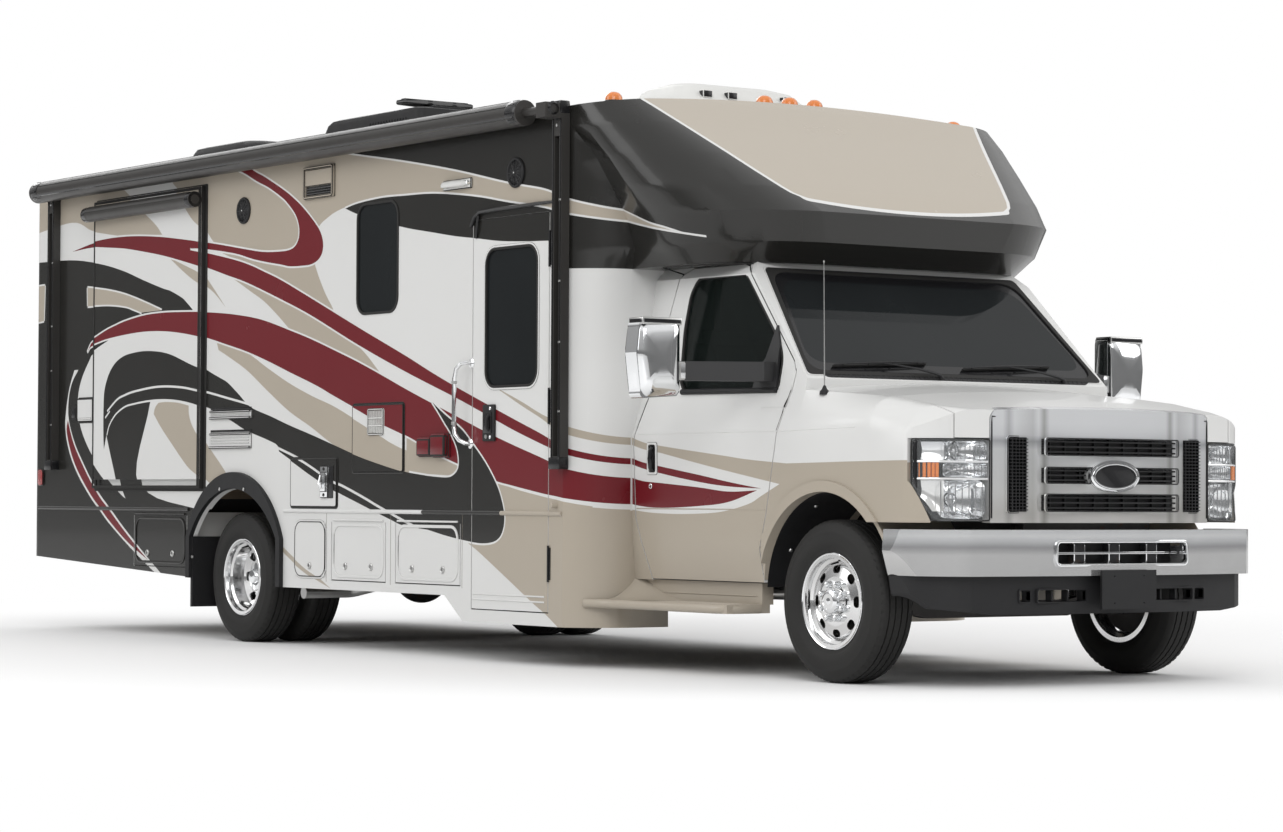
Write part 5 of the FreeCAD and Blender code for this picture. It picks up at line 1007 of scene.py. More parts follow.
    def copied(self, node, wanted, finish, lift=0.0005):
        """Faces of a CAD node for which wanted(middle, normal) holds, lifted a little."""
        source, behind = NODES[node].data, Vector((0, AXLE_Y, 0))
        index, rows, cells = {}, [], []
        for face in source.polygons:
            if not wanted(face.center - behind, face.normal):
                continue
            cell = []
            for i in face.vertices:
                key = tuple(round(value, 5) for value in source.vertices[i].co)
                if key not in index:
                    index[key] = len(rows)
                    rows.append([source.vertices[i].co - behind, Vector()])
                rows[index[key]][1] += face.normal
                cell.append(index[key])
            if len(set(cell)) == len(cell):
                cells.append(cell)
        self.add([spot + normal.normalized() * lift for spot, normal in rows], cells, finish)
        return self

    def done(self, name, body, slot=None, smooth=30.0, solid=True):
        """Ends the mesh and links it as a piece."""
        bmesh.ops.remove_doubles(self.bm, verts=self.bm.verts, dist=1e-5)
        if solid:
            bmesh.ops.recalc_face_normals(self.bm, faces=self.bm.faces)
        bmesh.ops.translate(self.bm, verts=self.bm.verts, vec=(0, AXLE_Y, 0))
        mesh = bpy.data.meshes.new(name)
        self.bm.to_mesh(mesh)
        self.bm.free()
        return piece(name, mesh, body, self.names, smooth)


# ---------------------------------------------------------------- operators
NODE_FINISHES = {
    "fender": "fenders",
    "corner": "corner_panels",
    "white": "cab_body hood left_cab_door right_cab_door left_wall right_wall entry_door skirts "
             "left_slide_out right_slide_out left_middle_hatch right_front_hatch right_middle_hatch "
             "right_rear_hatch rear_wall",
    "cap": "overcab_cap",
    "membrane": "roof",
    "bright": "grille",
    "bumper": "front_bumper",
    "mirror": "left_mirror right_mirror",
    "wheel": "front_left_rim front_right_rim rear_left_rims rear_right_rims",
    "black": "bumper_valance wheel_flares dashboard",
    "grey": "air_conditioner roof_box",
    "pale": "skylight side_fittings lockers",
    "clear": "headlamps",
    "amber": "outer_lamps",
    "frame": "chassis_frame rear_bumper fuel_tank",
    "iron": "front_axle rear_axle left_knuckle right_knuckle engine_block",
    "steel": "exhaust",
    "rubber": "front_left_tyre front_right_tyre rear_left_tyres rear_right_tyres",
    "cab_glass": "left_door_glass right_door_glass",
    "coach_glass": "window_glass entry_door_glass left_slide_glass",
    "awning": "awning left_slide_topper right_slide_topper",
    "seat": "cab_seats",
    "board": "coach_floor",
}


class MOTORHOME_OT_finishes(bpy.types.Operator):
    """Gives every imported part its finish"""

    bl_idname = "motorhome.finishes"
    bl_label = "Part finishes"

    def execute(self, context):
        FINISHES.update(make_finishes())
        for finish, nodes in NODE_FINISHES.items():
            for node in nodes.split():
                materials = NODES[node].data.materials
                for index in range(len(materials)):
                    materials[index] = FINISHES[finish]
                if len(materials) == 0:
                    materials.append(FINISHES[finish])
        return {"FINISHED"}


# Nodes with graphics, and the bodies of those that move.
PAINTED = ("corner_panels left_wall right_wall skirts rear_wall overcab_cap fenders cab_body entry_door "
           "right_cab_door left_cab_door right_slide_out left_slide_out right_front_hatch right_middle_hatch "
           "right_rear_hatch left_middle_hatch")
BODIES = {"entry_door": "entry", "right_cab_door": "right_door", "left_cab_door": "left_door",
          "right_slide_out": "right_room", "left_slide_out": "left_room"}


class MOTORHOME_OT_graphics(bpy.types.Operator):
    """Lays the painted graphics over the walls, doors and hatches"""

    bl_idname = "motorhome.graphics"
    bl_label = "Painted graphics"

    def execute(self, context):
        width = settings("paint_colours").pinstripe
        layers = drawn(SIDE_GRAPHICS, SIDE_LINES, width)
        for node in PAINTED.split():
            low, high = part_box(node)
            both = low.x * high.x < 0
            body = f"{node}_lid" if node.endswith("hatch") else BODIES.get(node, COACH)
            base = "charcoal" if node == "overcab_cap" else "white"
            facing = 0.03 if node == "corner_panels" else 0.3
            for view, reach in (("right", -low.x), ("left", high.x)):
                if reach > 0.5 and (both or reach > 0.9):
                    made = skin(f"{node}_paint_{view}", node, view, body, layers, base, facing)
                    if node == "overcab_cap":
                        made.data.materials[PAINTS.index("charcoal")] = FINISHES["cap"]
        bands = drawn(BACK_GRAPHICS, (), width)
        skin("rear_wall_paint_back", "rear_wall", "back", COACH, bands, "white", lift=0.0009)
        return {"FINISHED"}


# Wheels: name, tyre node, body, side outwards, middles of its tyres across from the body's.
TWIN = 0.135
WHEELS = (
    ("front_left", "front_left_tyre", "front_left_wheel", 1, (0.0,)),
    ("front_right", "front_right_tyre", "front_right_wheel", -1, (0.0,)),
    ("rear_left", "rear_left_tyres", "rear_left_wheels", 1, (-TWIN, TWIN)),
    ("rear_right", "rear_right_tyres", "rear_right_wheels", -1, (-TWIN, TWIN)),
)
GROOVES, GROOVE_WIDTH, TREAD_EDGE = (-0.052, -0.018, 0.018, 0.052), 0.008, 0.066
# Half of a tyre's side: distance from its middle, how far in from the tread.
TYRE_SIDE = (
    (0.079, 0.004), (0.088, 0.012), (0.0895, 0.013), (0.098, 0.030), (0.1055, 0.050), (0.1085, 0.056),
    (0.1085, 0.060), (0.1105, 0.078), (0.1112, 0.094), (0.1095, 0.110), (0.1085, 0.112), (0.1060, 0.120),
    (0.0990, 0.132), (0.0970, 0.134), (0.0960, 0.138), (0.0850, 0.152), (0.0840, 0.165),
)


class MOTORHOME_OT_tyres(bpy.types.Operator):
    """Turns tyres with grooved tread, ribbed shoulders and banded sidewalls"""

    bl_idname = "motorhome.tyres"
    bl_label = "Tyres"

    def section(self, radius, depth):
        """(along, radius) rows from bead to bead, with a note of which rows are notched."""
        tread = [(-TREAD_EDGE, radius)]
        for groove in GROOVES:
            half = GROOVE_WIDTH / 2
            tread += [(groove - half, radius), (groove - half * 0.7, radius - depth),
                      (groove + half * 0.7, radius - depth), (groove + half, radius)]
        tread.append((TREAD_EDGE, radius))
        side = [(along, radius - sunk) for along, sunk in TYRE_SIDE]
        rows = [(-along, out) for along, out in side[::-1]] + tread + side
        shoulder = {index for index, (along, out) in enumerate(rows) if 0.070 < abs(along) < 0.0892}
        ribs = {index for index, (along, out) in enumerate(rows)
                if abs(along) < 0.067 and out > radius - 0.001}
        return rows, shoulder, ribs

    def execute(self, context):
        sizes = settings("tyre_sizes")
        for word, node, body, _, offsets in WHEELS:
            low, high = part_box(node)
            centre = (low + high) / 2
            radius = (high.z - low.z) / 2 - 0.0005
            rows, shoulder, ribs = self.section(radius, sizes.tread_depth)

            def ripple(step, row):
                if row in shoulder:
                    return -0.7 * sizes.tread_depth if step % 4 == 0 else 0.0
                if row in ribs:
                    return -0.0022 if (step + row) % 4 == 2 else 0.0
                return 0.0

            mould = Mould()
            for offset in offsets:
                spot = (centre.x + offset, centre.y - AXLE_Y, centre.z)
                mould.lathe(rows, spot, "x", "rubber", sizes.blocks * 4, ripple=ripple)
            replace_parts(mould.done(f"{word}_tyre_tread", body, "tyre_rubber", 38), node)
        return {"FINISHED"}


# Turned parts of a wheel: (out from the wheel's face, radius).
NUT = ((0.0, 0.018), (0.005, 0.018), (0.009, 0.0155), (0.028, 0.0150), (0.034, 0.0125), (0.037, 0.007),
       (0.038, TIP))
FRONT_CAP = ((0.094, 0.0585), (0.106, 0.0555), (0.114, 0.045), (0.1145, 0.037), (0.110, 0.034),
             (0.109, 0.018), (0.112, 0.016), (0.113, TIP))
REAR_CAP = ((0.135, 0.079), (0.139, 0.075), (0.141, 0.050), (0.155, 0.044), (0.165, 0.036), (0.167, TIP))
BEAD = ((0.001, 0.2195), (0.0065, 0.2215), (0.0085, 0.2185), (0.006, 0.212), (-0.004, 0.199), (-0.020, 0.195))
DISC = ((0.012, 0.060), (0.012, 0.172), (-0.012, 0.172), (-0.012, 0.060))


class MOTORHOME_OT_wheel_trim(bpy.types.Operator):
    """Adds lug caps, hub rings, valves and brake discs to the wheels"""

    bl_idname = "motorhome.wheel_trim"
    bl_label = "Wheel trim"

    def execute(self, context):
        for word, node, body, out, offsets in WHEELS:
            hub = middle(node) - Vector((0, AXLE_Y, 0))
            front = len(offsets) == 1
            circle, face, rim, brake = (0.082, 0.070, 0.085, -0.02) if front else (0.104, 0.077, 0.220, -0.16)

            def on_hub(along, across=0.0, up=0.0):
                return hub + Vector((out * along, across, up))

            mould = Mould()
            for turn in range(8):
                angle = math.tau * (turn + 0.5) / 8
                mould.lathe(NUT, on_hub(face, circle * math.cos(angle), circle * math.sin(angle)), "x",
                            "chrome", 18, (out, 1))
            mould.lathe(FRONT_CAP if front else REAR_CAP, hub, "x", "chrome", 40, (out, 1))
            mould.lathe(BEAD, on_hub(rim), "x", "chrome", 96, (out, 1))
            mould.tube([on_hub(rim - 0.030, 0, 0.178), on_hub(rim - 0.012, 0, 0.174),
                        on_hub(rim + 0.010, 0, 0.168)],
                       [0.0055, 0.0045, 0.0038], "rubber", 10)
            mould.lathe(DISC, on_hub(brake), "x", "iron", 64, (out, 1))
            mould.done(f"{word}_wheel_trim", body, "bright_steel", 35)
        return {"FINISHED"}


# Openings of the grille: left and right edge, foot and head.
FRONT_SLOTS = ((-0.400, 0.400, 0.790, 0.860), (-0.400, 0.400, 0.915, 0.980), (-0.400, 0.400, 1.040, 1.110))
SIDE_VENTS = ((0.478, 0.577, 0.785, 1.115), (-0.577, -0.478, 0.785, 1.115))
OVAL_LEVEL = 0.945


class MOTORHOME_OT_grille(bpy.types.Operator):
    """Fills the grille with louvres and mesh round a blank oval"""

    bl_idname = "motorhome.grille"
    bl_label = "Grille"

    def lattice(self, mould, opening, back, bars, posts):
        """Backing sheet, level bars and upright posts; each a depth, a half thickness and a finish."""
        left, right, foot, head = opening
        margin, near, far = back
        mould.block((left - margin, near, foot - margin), (right + margin, far, head + margin), "black",
                    0.002)
        count, near, far, below, above, bevel = bars
        for bar in range(count):
            level = foot + (head - foot) * (bar + 0.5) / count
            mould.block((left, near, level - below), (right, far, level + above), "gloss_black", bevel)
        count, near, far, half, finish = posts
        for post in range(count):
            across = left + (right - left) * (post + 0.5) / count
            mould.block((across - half, near, foot), (across + half, far, head), finish, 0.001)

    def execute(self, context):
        mould = Mould()
        for opening in FRONT_SLOTS:
            self.lattice(mould, opening, (0.01, -0.772, -0.762), (3, -0.798, -0.764, 0.0035, 0.0045, 0.002),
                         (9, -0.786, -0.764, 0.003, "black"))
        for opening in SIDE_VENTS:
            self.lattice(mould, opening, (0.005, -0.750, -0.742), (22, -0.778, -0.750, 0.0022, 0.0022, 0.001),
                         (5, -0.776, -0.752, 0.0022, "gloss_black"))
            left, right, foot, head = opening
            low, high = (left, foot), (right, head)
            depth = before("grille", (left + right) / 2, foot - 0.02)
            mould.plate(grown(low, high, 0.008, 0.018), "y", depth - 0.002, depth + 0.012, "bright",
                        rounded(low, high, 0.012), 0.003)
        for left, right, foot, head in FRONT_SLOTS:
            outer = rounded((left - 0.007, foot - 0.006), (right + 0.007, head + 0.006), 0.013)
            mould.plate(outer, "y", -0.8165, -0.800, "bright", rounded((left, foot), (right, head), 0.008),
                        0.003)
        low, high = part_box("grille")
        edge = high.x - 0.006
        half = [(edge - 0.034, high.z - 0.008), (edge - 0.010, high.z - 0.024), (edge, high.z - 0.050),
                (edge, low.z + 0.02)]
        line = [(-across, level) for across, level in half[::-1]] + [(0.0, high.z - 0.006)] + half
        mould.tube(draped("grille", line, 0, 0.001), 0.0034, "gloss_black", 8)
        front = low.y - AXLE_Y
        for across, up, back, raised, finish in (
            (0.152, 0.073, 0.012, 0.004, "chrome"), (0.132, 0.058, 0.0, 0.0055, "gloss_black"),
        ):
            mould.plate(oval((0, OVAL_LEVEL), across, up), "y", front - raised, front + back, finish,
                        bevel=0.003)
        mould.plate(oval((0, OVAL_LEVEL), 0.136, 0.061), "y", front - 0.009, front, "chrome",
                    oval((0, OVAL_LEVEL), 0.122, 0.050), 0.002)
        mould.done("grille_trim", COACH, "chrome_trim")
        return {"FINISHED"}


# Headlamp outline, and its bowls: inner and outer edge, foot and head, ribs, their radius,
# whether a bulb is in it.
LAMP_OUTLINE = ((0.668, 0.748), (0.925, 0.748), (0.981, 0.912), (0.981, 1.100), (0.668, 1.100))
LAMP_SEAL = ((0.6655, 0.7445), (0.927, 0.7445), (0.984, 0.914), (0.984, 1.1035), (0.6655, 1.1035))
LAMP_BOWLS = (
    (0.672, 0.885, 1.010, 1.095, 9, 0.0022, True),
    (0.672, 0.880, 0.936, 1.000, 12, 0.0022, False),
    (0.678, 0.905, 0.752, 0.925, 7, 0.0028, True),
)
# Hollow outer reflectors: left and right edge, foot and head.
LAMP_PANELS = ((0.872, 0.976, 1.012, 1.092), (0.872, 0.976, 0.785, 0.922))


def within(value, low, high):
    return min(max(value, low), high)


class MOTORHOME_OT_headlamps(bpy.types.Operator):
    """Builds reflectors, bulbs and amber corners behind clear lenses"""

    bl_idname = "motorhome.headlamps"
    bl_label = "Headlamps"

    def bowl(self, mould, side, ahead, cell):
        """Reflector with its ribs and, at choice, a bulb."""
        inner, outer, foot, head, ribs, thick, lit = cell
        centre = ((inner + outer) / 2, (foot + head) / 2)
        across, up = (outer - inner) / 2, (head - foot) / 2
        depth = ahead(*centre)
        rings = []
        for share, back in ((1.0, 0.012), (0.96, 0.030), (0.82, 0.060), (0.55, 0.085), (0.22, 0.097)):
            line = rounded((centre[0] - across * share, centre[1] - up * share),
                           (centre[0] + across * share, centre[1] + up * share), up * share * 0.55, 4)
            rings.append([(side * a, back + (ahead(within(a, 0.67, 0.965), within(b, 0.76, 1.09))
                                             if share > 0.9 else depth), b) for a, b in line])
        mould.stacked(rings, "chrome")
        if lit:
            mould.lathe([(0.0, 0.016), (-0.024, 0.016), (-0.030, 0.011), (-0.032, TIP)],
                        (side * centre[0], depth + 0.088, centre[1]), "y", "clear", 20)
            mould.lathe([(0.004, 0.030), (-0.003, 0.029), (-0.003, 0.020), (0.004, 0.0195)],
                        (side * centre[0], depth + 0.086, centre[1]), "y", "chrome", 24)
        for rib in range(ribs):
            a = centre[0] - across + 2 * across * (rib + 0.5) / ribs
            levels = (foot + 0.008, foot + (head - foot) * 0.35, foot + (head - foot) * 0.65, head - 0.008)
            mould.tube([(side * a, ahead(min(a, 0.96), b) + 0.010, b) for b in levels], thick, "chrome", 6)

    def execute(self, context):
        for side, word in ((1, "left"), (-1, "right")):
            def ahead(across, level):
                return before("headlamps", side * across, level)

            def sunk(across, level, depth, bend=0.94):
                """Point behind the lens, which turns back round the corner."""
                station = ahead(min(across, 0.968), level) + depth + max(0, across - bend) * 0.6
                return side * across, station, level

            def rim_station(across, level):
                if across < 0.975:
                    return ahead(within(across, 0.667, 0.975), within(level, 0.748, 1.100)) - 0.001
                return ahead(0.972, within(level, 0.93, 1.1)) + 0.02

            mould = Mould()
            outline = softened(LAMP_OUTLINE, 0.012)
            mould.plate([(side * across, level) for across, level in outline], "y", -0.600, -0.566,
                        "gloss_black", bevel=0.003)
            for cell in LAMP_BOWLS:
                self.bowl(mould, side, ahead, cell)
            for a in (0.902, 0.916, 0.930, 0.944, 0.958, 0.972):
                mould.tube([sunk(a, b, 0.012) for b in (0.936, 0.957, 0.979, 1.0)], 0.008, "amber", 8)
            for level in (0.929, 1.005):
                mould.tube([sunk(a, level, 0.005, 0.955)
                            for a in (0.672, 0.74, 0.80, 0.86, 0.91, 0.95, 0.978)],
                           0.0055, "bright", 8)
            for left, right, foot, head in LAMP_PANELS:
                rows = []
                for step in range(7):
                    level = foot + (head - foot) * step / 6
                    most = min(right, 0.905 + (level - 0.765) * 0.55)
                    for part in range(7):
                        a = left + (most - left) * part / 6
                        hollow = 0.016 * math.sin(math.pi * part / 6) * math.sin(math.pi * step / 6)
                        x, y, _ = sunk(a, within(level, 0.76, 1.09), 0.018 + hollow)
                        rows.append((x, y, level))
                mould.add(rows, net(7, 7), "bright")
            mould.done(f"{word}_headlamp_inside", COACH, "lens")
            cover = Mould()
            cover.copied("headlamps", lambda spot, normal: spot.x * side > 0 and (
                normal.y < -0.25 or normal.x * side > 0.4) and spot.y < -0.57, "clear", 0.0006)
            lens_piece = cover.done(f"{word}_headlamp_lens", COACH, "lens", solid=False)
            if side > 0:
                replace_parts(lens_piece, "headlamps")
            rim = Mould()
            rim.tube([(side * a, rim_station(a, b), b) for a, b in softened(LAMP_SEAL, 0.012)], 0.0035,
                     "seal", 6, loop=True)
            rim.done(f"{word}_headlamp_seal", COACH, "black_plastic")
        return {"FINISHED"}


class MOTORHOME_OT_bumper(bpy.types.Operator):
    """Backs the bumper and valance slots and finishes the blank plate bracket"""

    bl_idname = "motorhome.bumper"
    bl_label = "Bumper and valance"

    def execute(self, context):
        mould = Mould()
        low, high = (-0.389, 0.554), (0.389, 0.646)
        front = before("front_bumper", 0.0, 0.53)
        mould.plate(grown(low, high, 0.013, 0.026), "y", front + 0.004, front + 0.030, "chrome",
                    rounded(low, high, 0.016), 0.005)
        mould.plate(rounded((-0.40, 0.545), (0.40, 0.655), 0.02), "y", front + 0.120, front + 0.128, "black")
        for across in (-0.20, 0.01, 0.24):
            mould.cuboid((across - 0.035, across + 0.035), (front + 0.075, front + 0.120), (0.552, 0.648),
                         "frame", 0.006)
        mould.cuboid((-0.385, 0.385), (front + 0.060, front + 0.072), (0.595, 0.605), "frame", 0.003)
        mould.done("bumper_slot_lining", COACH, "black_plastic")
        lower = Mould()
        foot, head = 0.385, 0.437
        for left, right in ((-0.560, -0.500), (-0.470, -0.190), (0.190, 0.470), (0.500, 0.560)):
            depth = before("bumper_valance", (left + right) / 2, 0.36)
            lower.plate(grown((left, foot), (right, head), 0.006, 0.012), "y", depth - 0.003, depth + 0.055,
                        "black", rounded((left, foot), (right, head), 0.008), 0.002)
            posts = max(1, round((right - left) / 0.11))
            for post in range(1, posts):
                across = left + (right - left) * post / posts
                lower.cuboid((across - 0.005, across + 0.005), (depth + 0.010, depth + 0.050),
                             (foot + 0.001, head - 0.001), "black", 0.002)
        plate = extent("bumper_valance")[0]
        lower.plate(rounded((-0.162, 0.352), (0.162, 0.523), 0.018), "y", plate + 0.0004, plate + 0.004,
                    "black", rounded((-0.150, 0.366), (0.150, 0.509), 0.010), 0.0015)
        for across in (-0.089, 0.089):
            for level in (0.377, 0.498):
                outer, inner = (oval((across, level), size, size, 20) for size in (0.0085, 0.0042))
                lower.plate(outer, "y", plate + 0.0003, plate + 0.003, "steel", inner, 0.0008)
        lower.done("valance_trim", COACH, "black_plastic")
        return {"FINISHED"}


# Windshield: middle of its foot, its rake, half widths at foot and head, length up the rake.
GLASS_FOOT, GLASS_RAKE = Vector((0, 0.268, 1.42375)), Vector((0, 0.560, 0.575))
GLASS_HALF, GLASS_TALL = (0.900, 0.771), 0.7063
WIPERS = (((0.66, -0.017), (0.34, 0.060), (0.05, 0.045), (0.62, 0.078)),
          ((-0.12, -0.017), (-0.44, 0.056), (-0.74, 0.042), (-0.16, 0.076)))


def on_windshield():
    """Mould whose shapes are measured on the windshield: across, up the glass, outwards."""
    return Mould().turned(GLASS_FOOT, (1, 0, 0), GLASS_RAKE)


class MOTORHOME_OT_windshield(bpy.types.Operator):
    """Fits the windshield's seal, wipers, cowl grille, inner mirror and the aerial"""

    bl_idname = "motorhome.windshield"
    bl_label = "Windshield"

    def inset(self, sides, foot, head, radius):
        """The windshield's opening drawn in, with round corners."""
        (a, b), up = (half - sides for half in GLASS_HALF), GLASS_TALL - head
        return softened(((a, foot), (b, up), (-b, up), (-a, foot)), radius, 8)

    def execute(self, context):
        self.seal()
        cowl = on_windshield()
        cowl.plate(softened(((-0.80, -0.031), (0.80, -0.031), (0.84, -0.006), (-0.84, -0.006)), 0.010), "z",
                   -0.004, 0.003, "black", bevel=0.0015)
        for bar in range(54):
            across = -0.78 + 1.56 * bar / 53
            cowl.tube([(across, -0.028, 0.003), (across, -0.010, 0.003)], 0.0022, "gloss_black", 6)
        for wiper in WIPERS:
            self.wiper(cowl, *(Vector(spot) for spot in wiper))
        cowl.done("cowl_and_wipers", COACH, "black_plastic")
        self.inner_mirror()
        self.aerial()
        return {"FINISHED"}

    def seal(self):
        mould = on_windshield()
        mould.plate(self.inset(-0.014, -0.014, -0.014, 0.030), "z", -0.004, 0.0045, "seal",
                    self.inset(0.012, 0.012, 0.012, 0.100), 0.002)
        mould.plate(self.inset(0.002, 0.002, 0.002, 0.03), "z", -0.0042, -0.0034, "gloss_black",
                    self.inset(0.040, 0.072, 0.060, 0.12))
        mould.plate(self.inset(-0.020, -0.020, -0.018, 0.014), "z", -0.002, 0.0016, "white",
                    self.inset(-0.001, -0.001, -0.001, 0.100), 0.0006)
        mould.done("windshield_seal", COACH, "black_plastic")

    def wiper(self, cowl, pivot, tip, a, b):
        """Arm from its pivot to its tip, and the blade from a to b."""
        def along(share, height, start=a, end=b):
            spot = start + (end - start) * share
            return spot.x, spot.y, height

        cowl.lathe([(-0.004, 0.013), (0.008, 0.013), (0.013, 0.010), (0.015, TIP)], (*pivot, 0.004), "z",
                   "black", 18)
        cowl.tube([along(share, lift, pivot, tip) for share, lift in
                   ((0.02, 0.020), (0.15, 0.026), (0.45, 0.030), (0.8, 0.026), (1.0, 0.020))],
                  [0.011, 0.010, 0.0065, 0.005, 0.005], "black", 8, 0.6)
        cowl.tube([along(share, 0.016 + 0.007 * math.sin(math.pi * share))
                   for share in (0, 0.1, 0.25, 0.4, 0.5, 0.6, 0.75, 0.9, 1)],
                  [0.0025, 0.004, 0.005, 0.006, 0.0075, 0.006, 0.005, 0.004, 0.0025], "black", 8, 0.8)
        cowl.tube([along(share, 0.004) for share in (0, 0.25, 0.5, 0.75, 1)], 0.0042, "seal", 6, 1.6)
        for share in (0.1, 0.37, 0.63, 0.9):
            cowl.tube([along(share, 0.004), along(share, 0.017 + 0.006 * math.sin(math.pi * share))], 0.003,
                      "black", 6)

    def inner_mirror(self):
        inner = on_windshield()
        inner.lathe([(-0.006, 0.022), (-0.012, 0.022), (-0.020, 0.012), (-0.055, 0.009), (-0.060, TIP)],
                    (0, 0.560, 0), "z", "black", 18)
        inner.upright()
        inner.plate(rounded((-0.125, 1.735), (0.125, 1.800), 0.026), "y", 0.735, 0.760, "black", bevel=0.008)
        inner.plate(rounded((-0.115, 1.742), (0.115, 1.793), 0.022), "y", 0.760, 0.763, "chrome", bevel=0.001)
        for across in (-0.42, 0.42):
            visor = rounded((across - 0.20, 1.775), (across + 0.20, 1.885), 0.03)
            inner.plate(visor, "y", 0.800, 0.818, "cloth", bevel=0.007)
        inner.done("inner_mirror", COACH, "black_plastic")

    def aerial(self):
        aerial = Mould()
        foot = cast("hood fenders cab_body", (-0.925, 0.12, AFAR), (0, 0, -1))[0]
        aerial.lathe([(-0.012, 0.024), (0.004, 0.022), (0.013, 0.013), (0.028, 0.0065), (0.036, TIP)],
                     foot, "z", "black", 24)
        aerial.tube([foot + Vector((0, *spot)) for spot in ((0, 0.028), (0.003, 0.25), (0.008, 0.60))],
                    [0.0032, 0.0024, 0.0016], "steel", 8)
        aerial.lathe([(0.595, 0.0015), (0.598, 0.004), (0.603, 0.004), (0.606, TIP)],
                     foot + Vector((0, 0.008, 0)), "z", "steel", 12)
        aerial.done("aerial", COACH, "bright_steel")


CAB = "cab_body fenders hood right_cab_door left_cab_door corner_panels overcab_cap"
# Mirror head: (across, level), its middle, and its shell's rings of (station, share of the outline).
MIRROR_SHELL = ((1.345, 1.330), (1.360, 1.312), (1.535, 1.300), (1.565, 1.330), (1.586, 1.510),
                (1.573, 1.630), (1.545, 1.656), (1.365, 1.670), (1.346, 1.645))
MIRROR_MIDDLE = Vector((1.466, 1.486))
MIRROR_RINGS = ((0.764, 1.004), (0.735, 1.010), (0.705, 1.008), (0.682, 0.985), (0.664, 0.93), (0.652, 0.83),
                (0.645, 0.66), (0.642, 0.40), (0.641, 0.12))


def pillar(level):
    """Station of the windshield pillar's edge at a level."""
    return 0.240 + 0.560 * (level - 1.395) / 0.575


# Cab door and its window: (station, level).
DOOR = ((0.500, 0.486), (0.520, 0.640), (0.470, 0.794), (0.380, 1.194), (0.330, 1.460),
        (pillar(1.48) + 0.034, 1.480), (pillar(1.72) + 0.034, 1.72), (pillar(1.958) + 0.034, 1.958),
        (1.300, 1.958), (1.345, 1.933), (1.420, 1.640), (1.500, 1.300), (1.536, 1.100), (1.528, 0.92),
        (1.520, 0.740), (1.400, 0.486))
DOOR_WINDOW = ((0.450, 1.345), (1.205, 1.354), (1.245, 1.400), (1.262, 1.660), (1.245, 1.830), (1.195, 1.905),
               (pillar(1.905) + 0.075, 1.905), (pillar(1.88) + 0.070, 1.880), (pillar(1.56) + 0.070, 1.560),
               (0.440, 1.490))
HANDLE, LOCK = (1.38, 1.03), (1.395, 0.895)


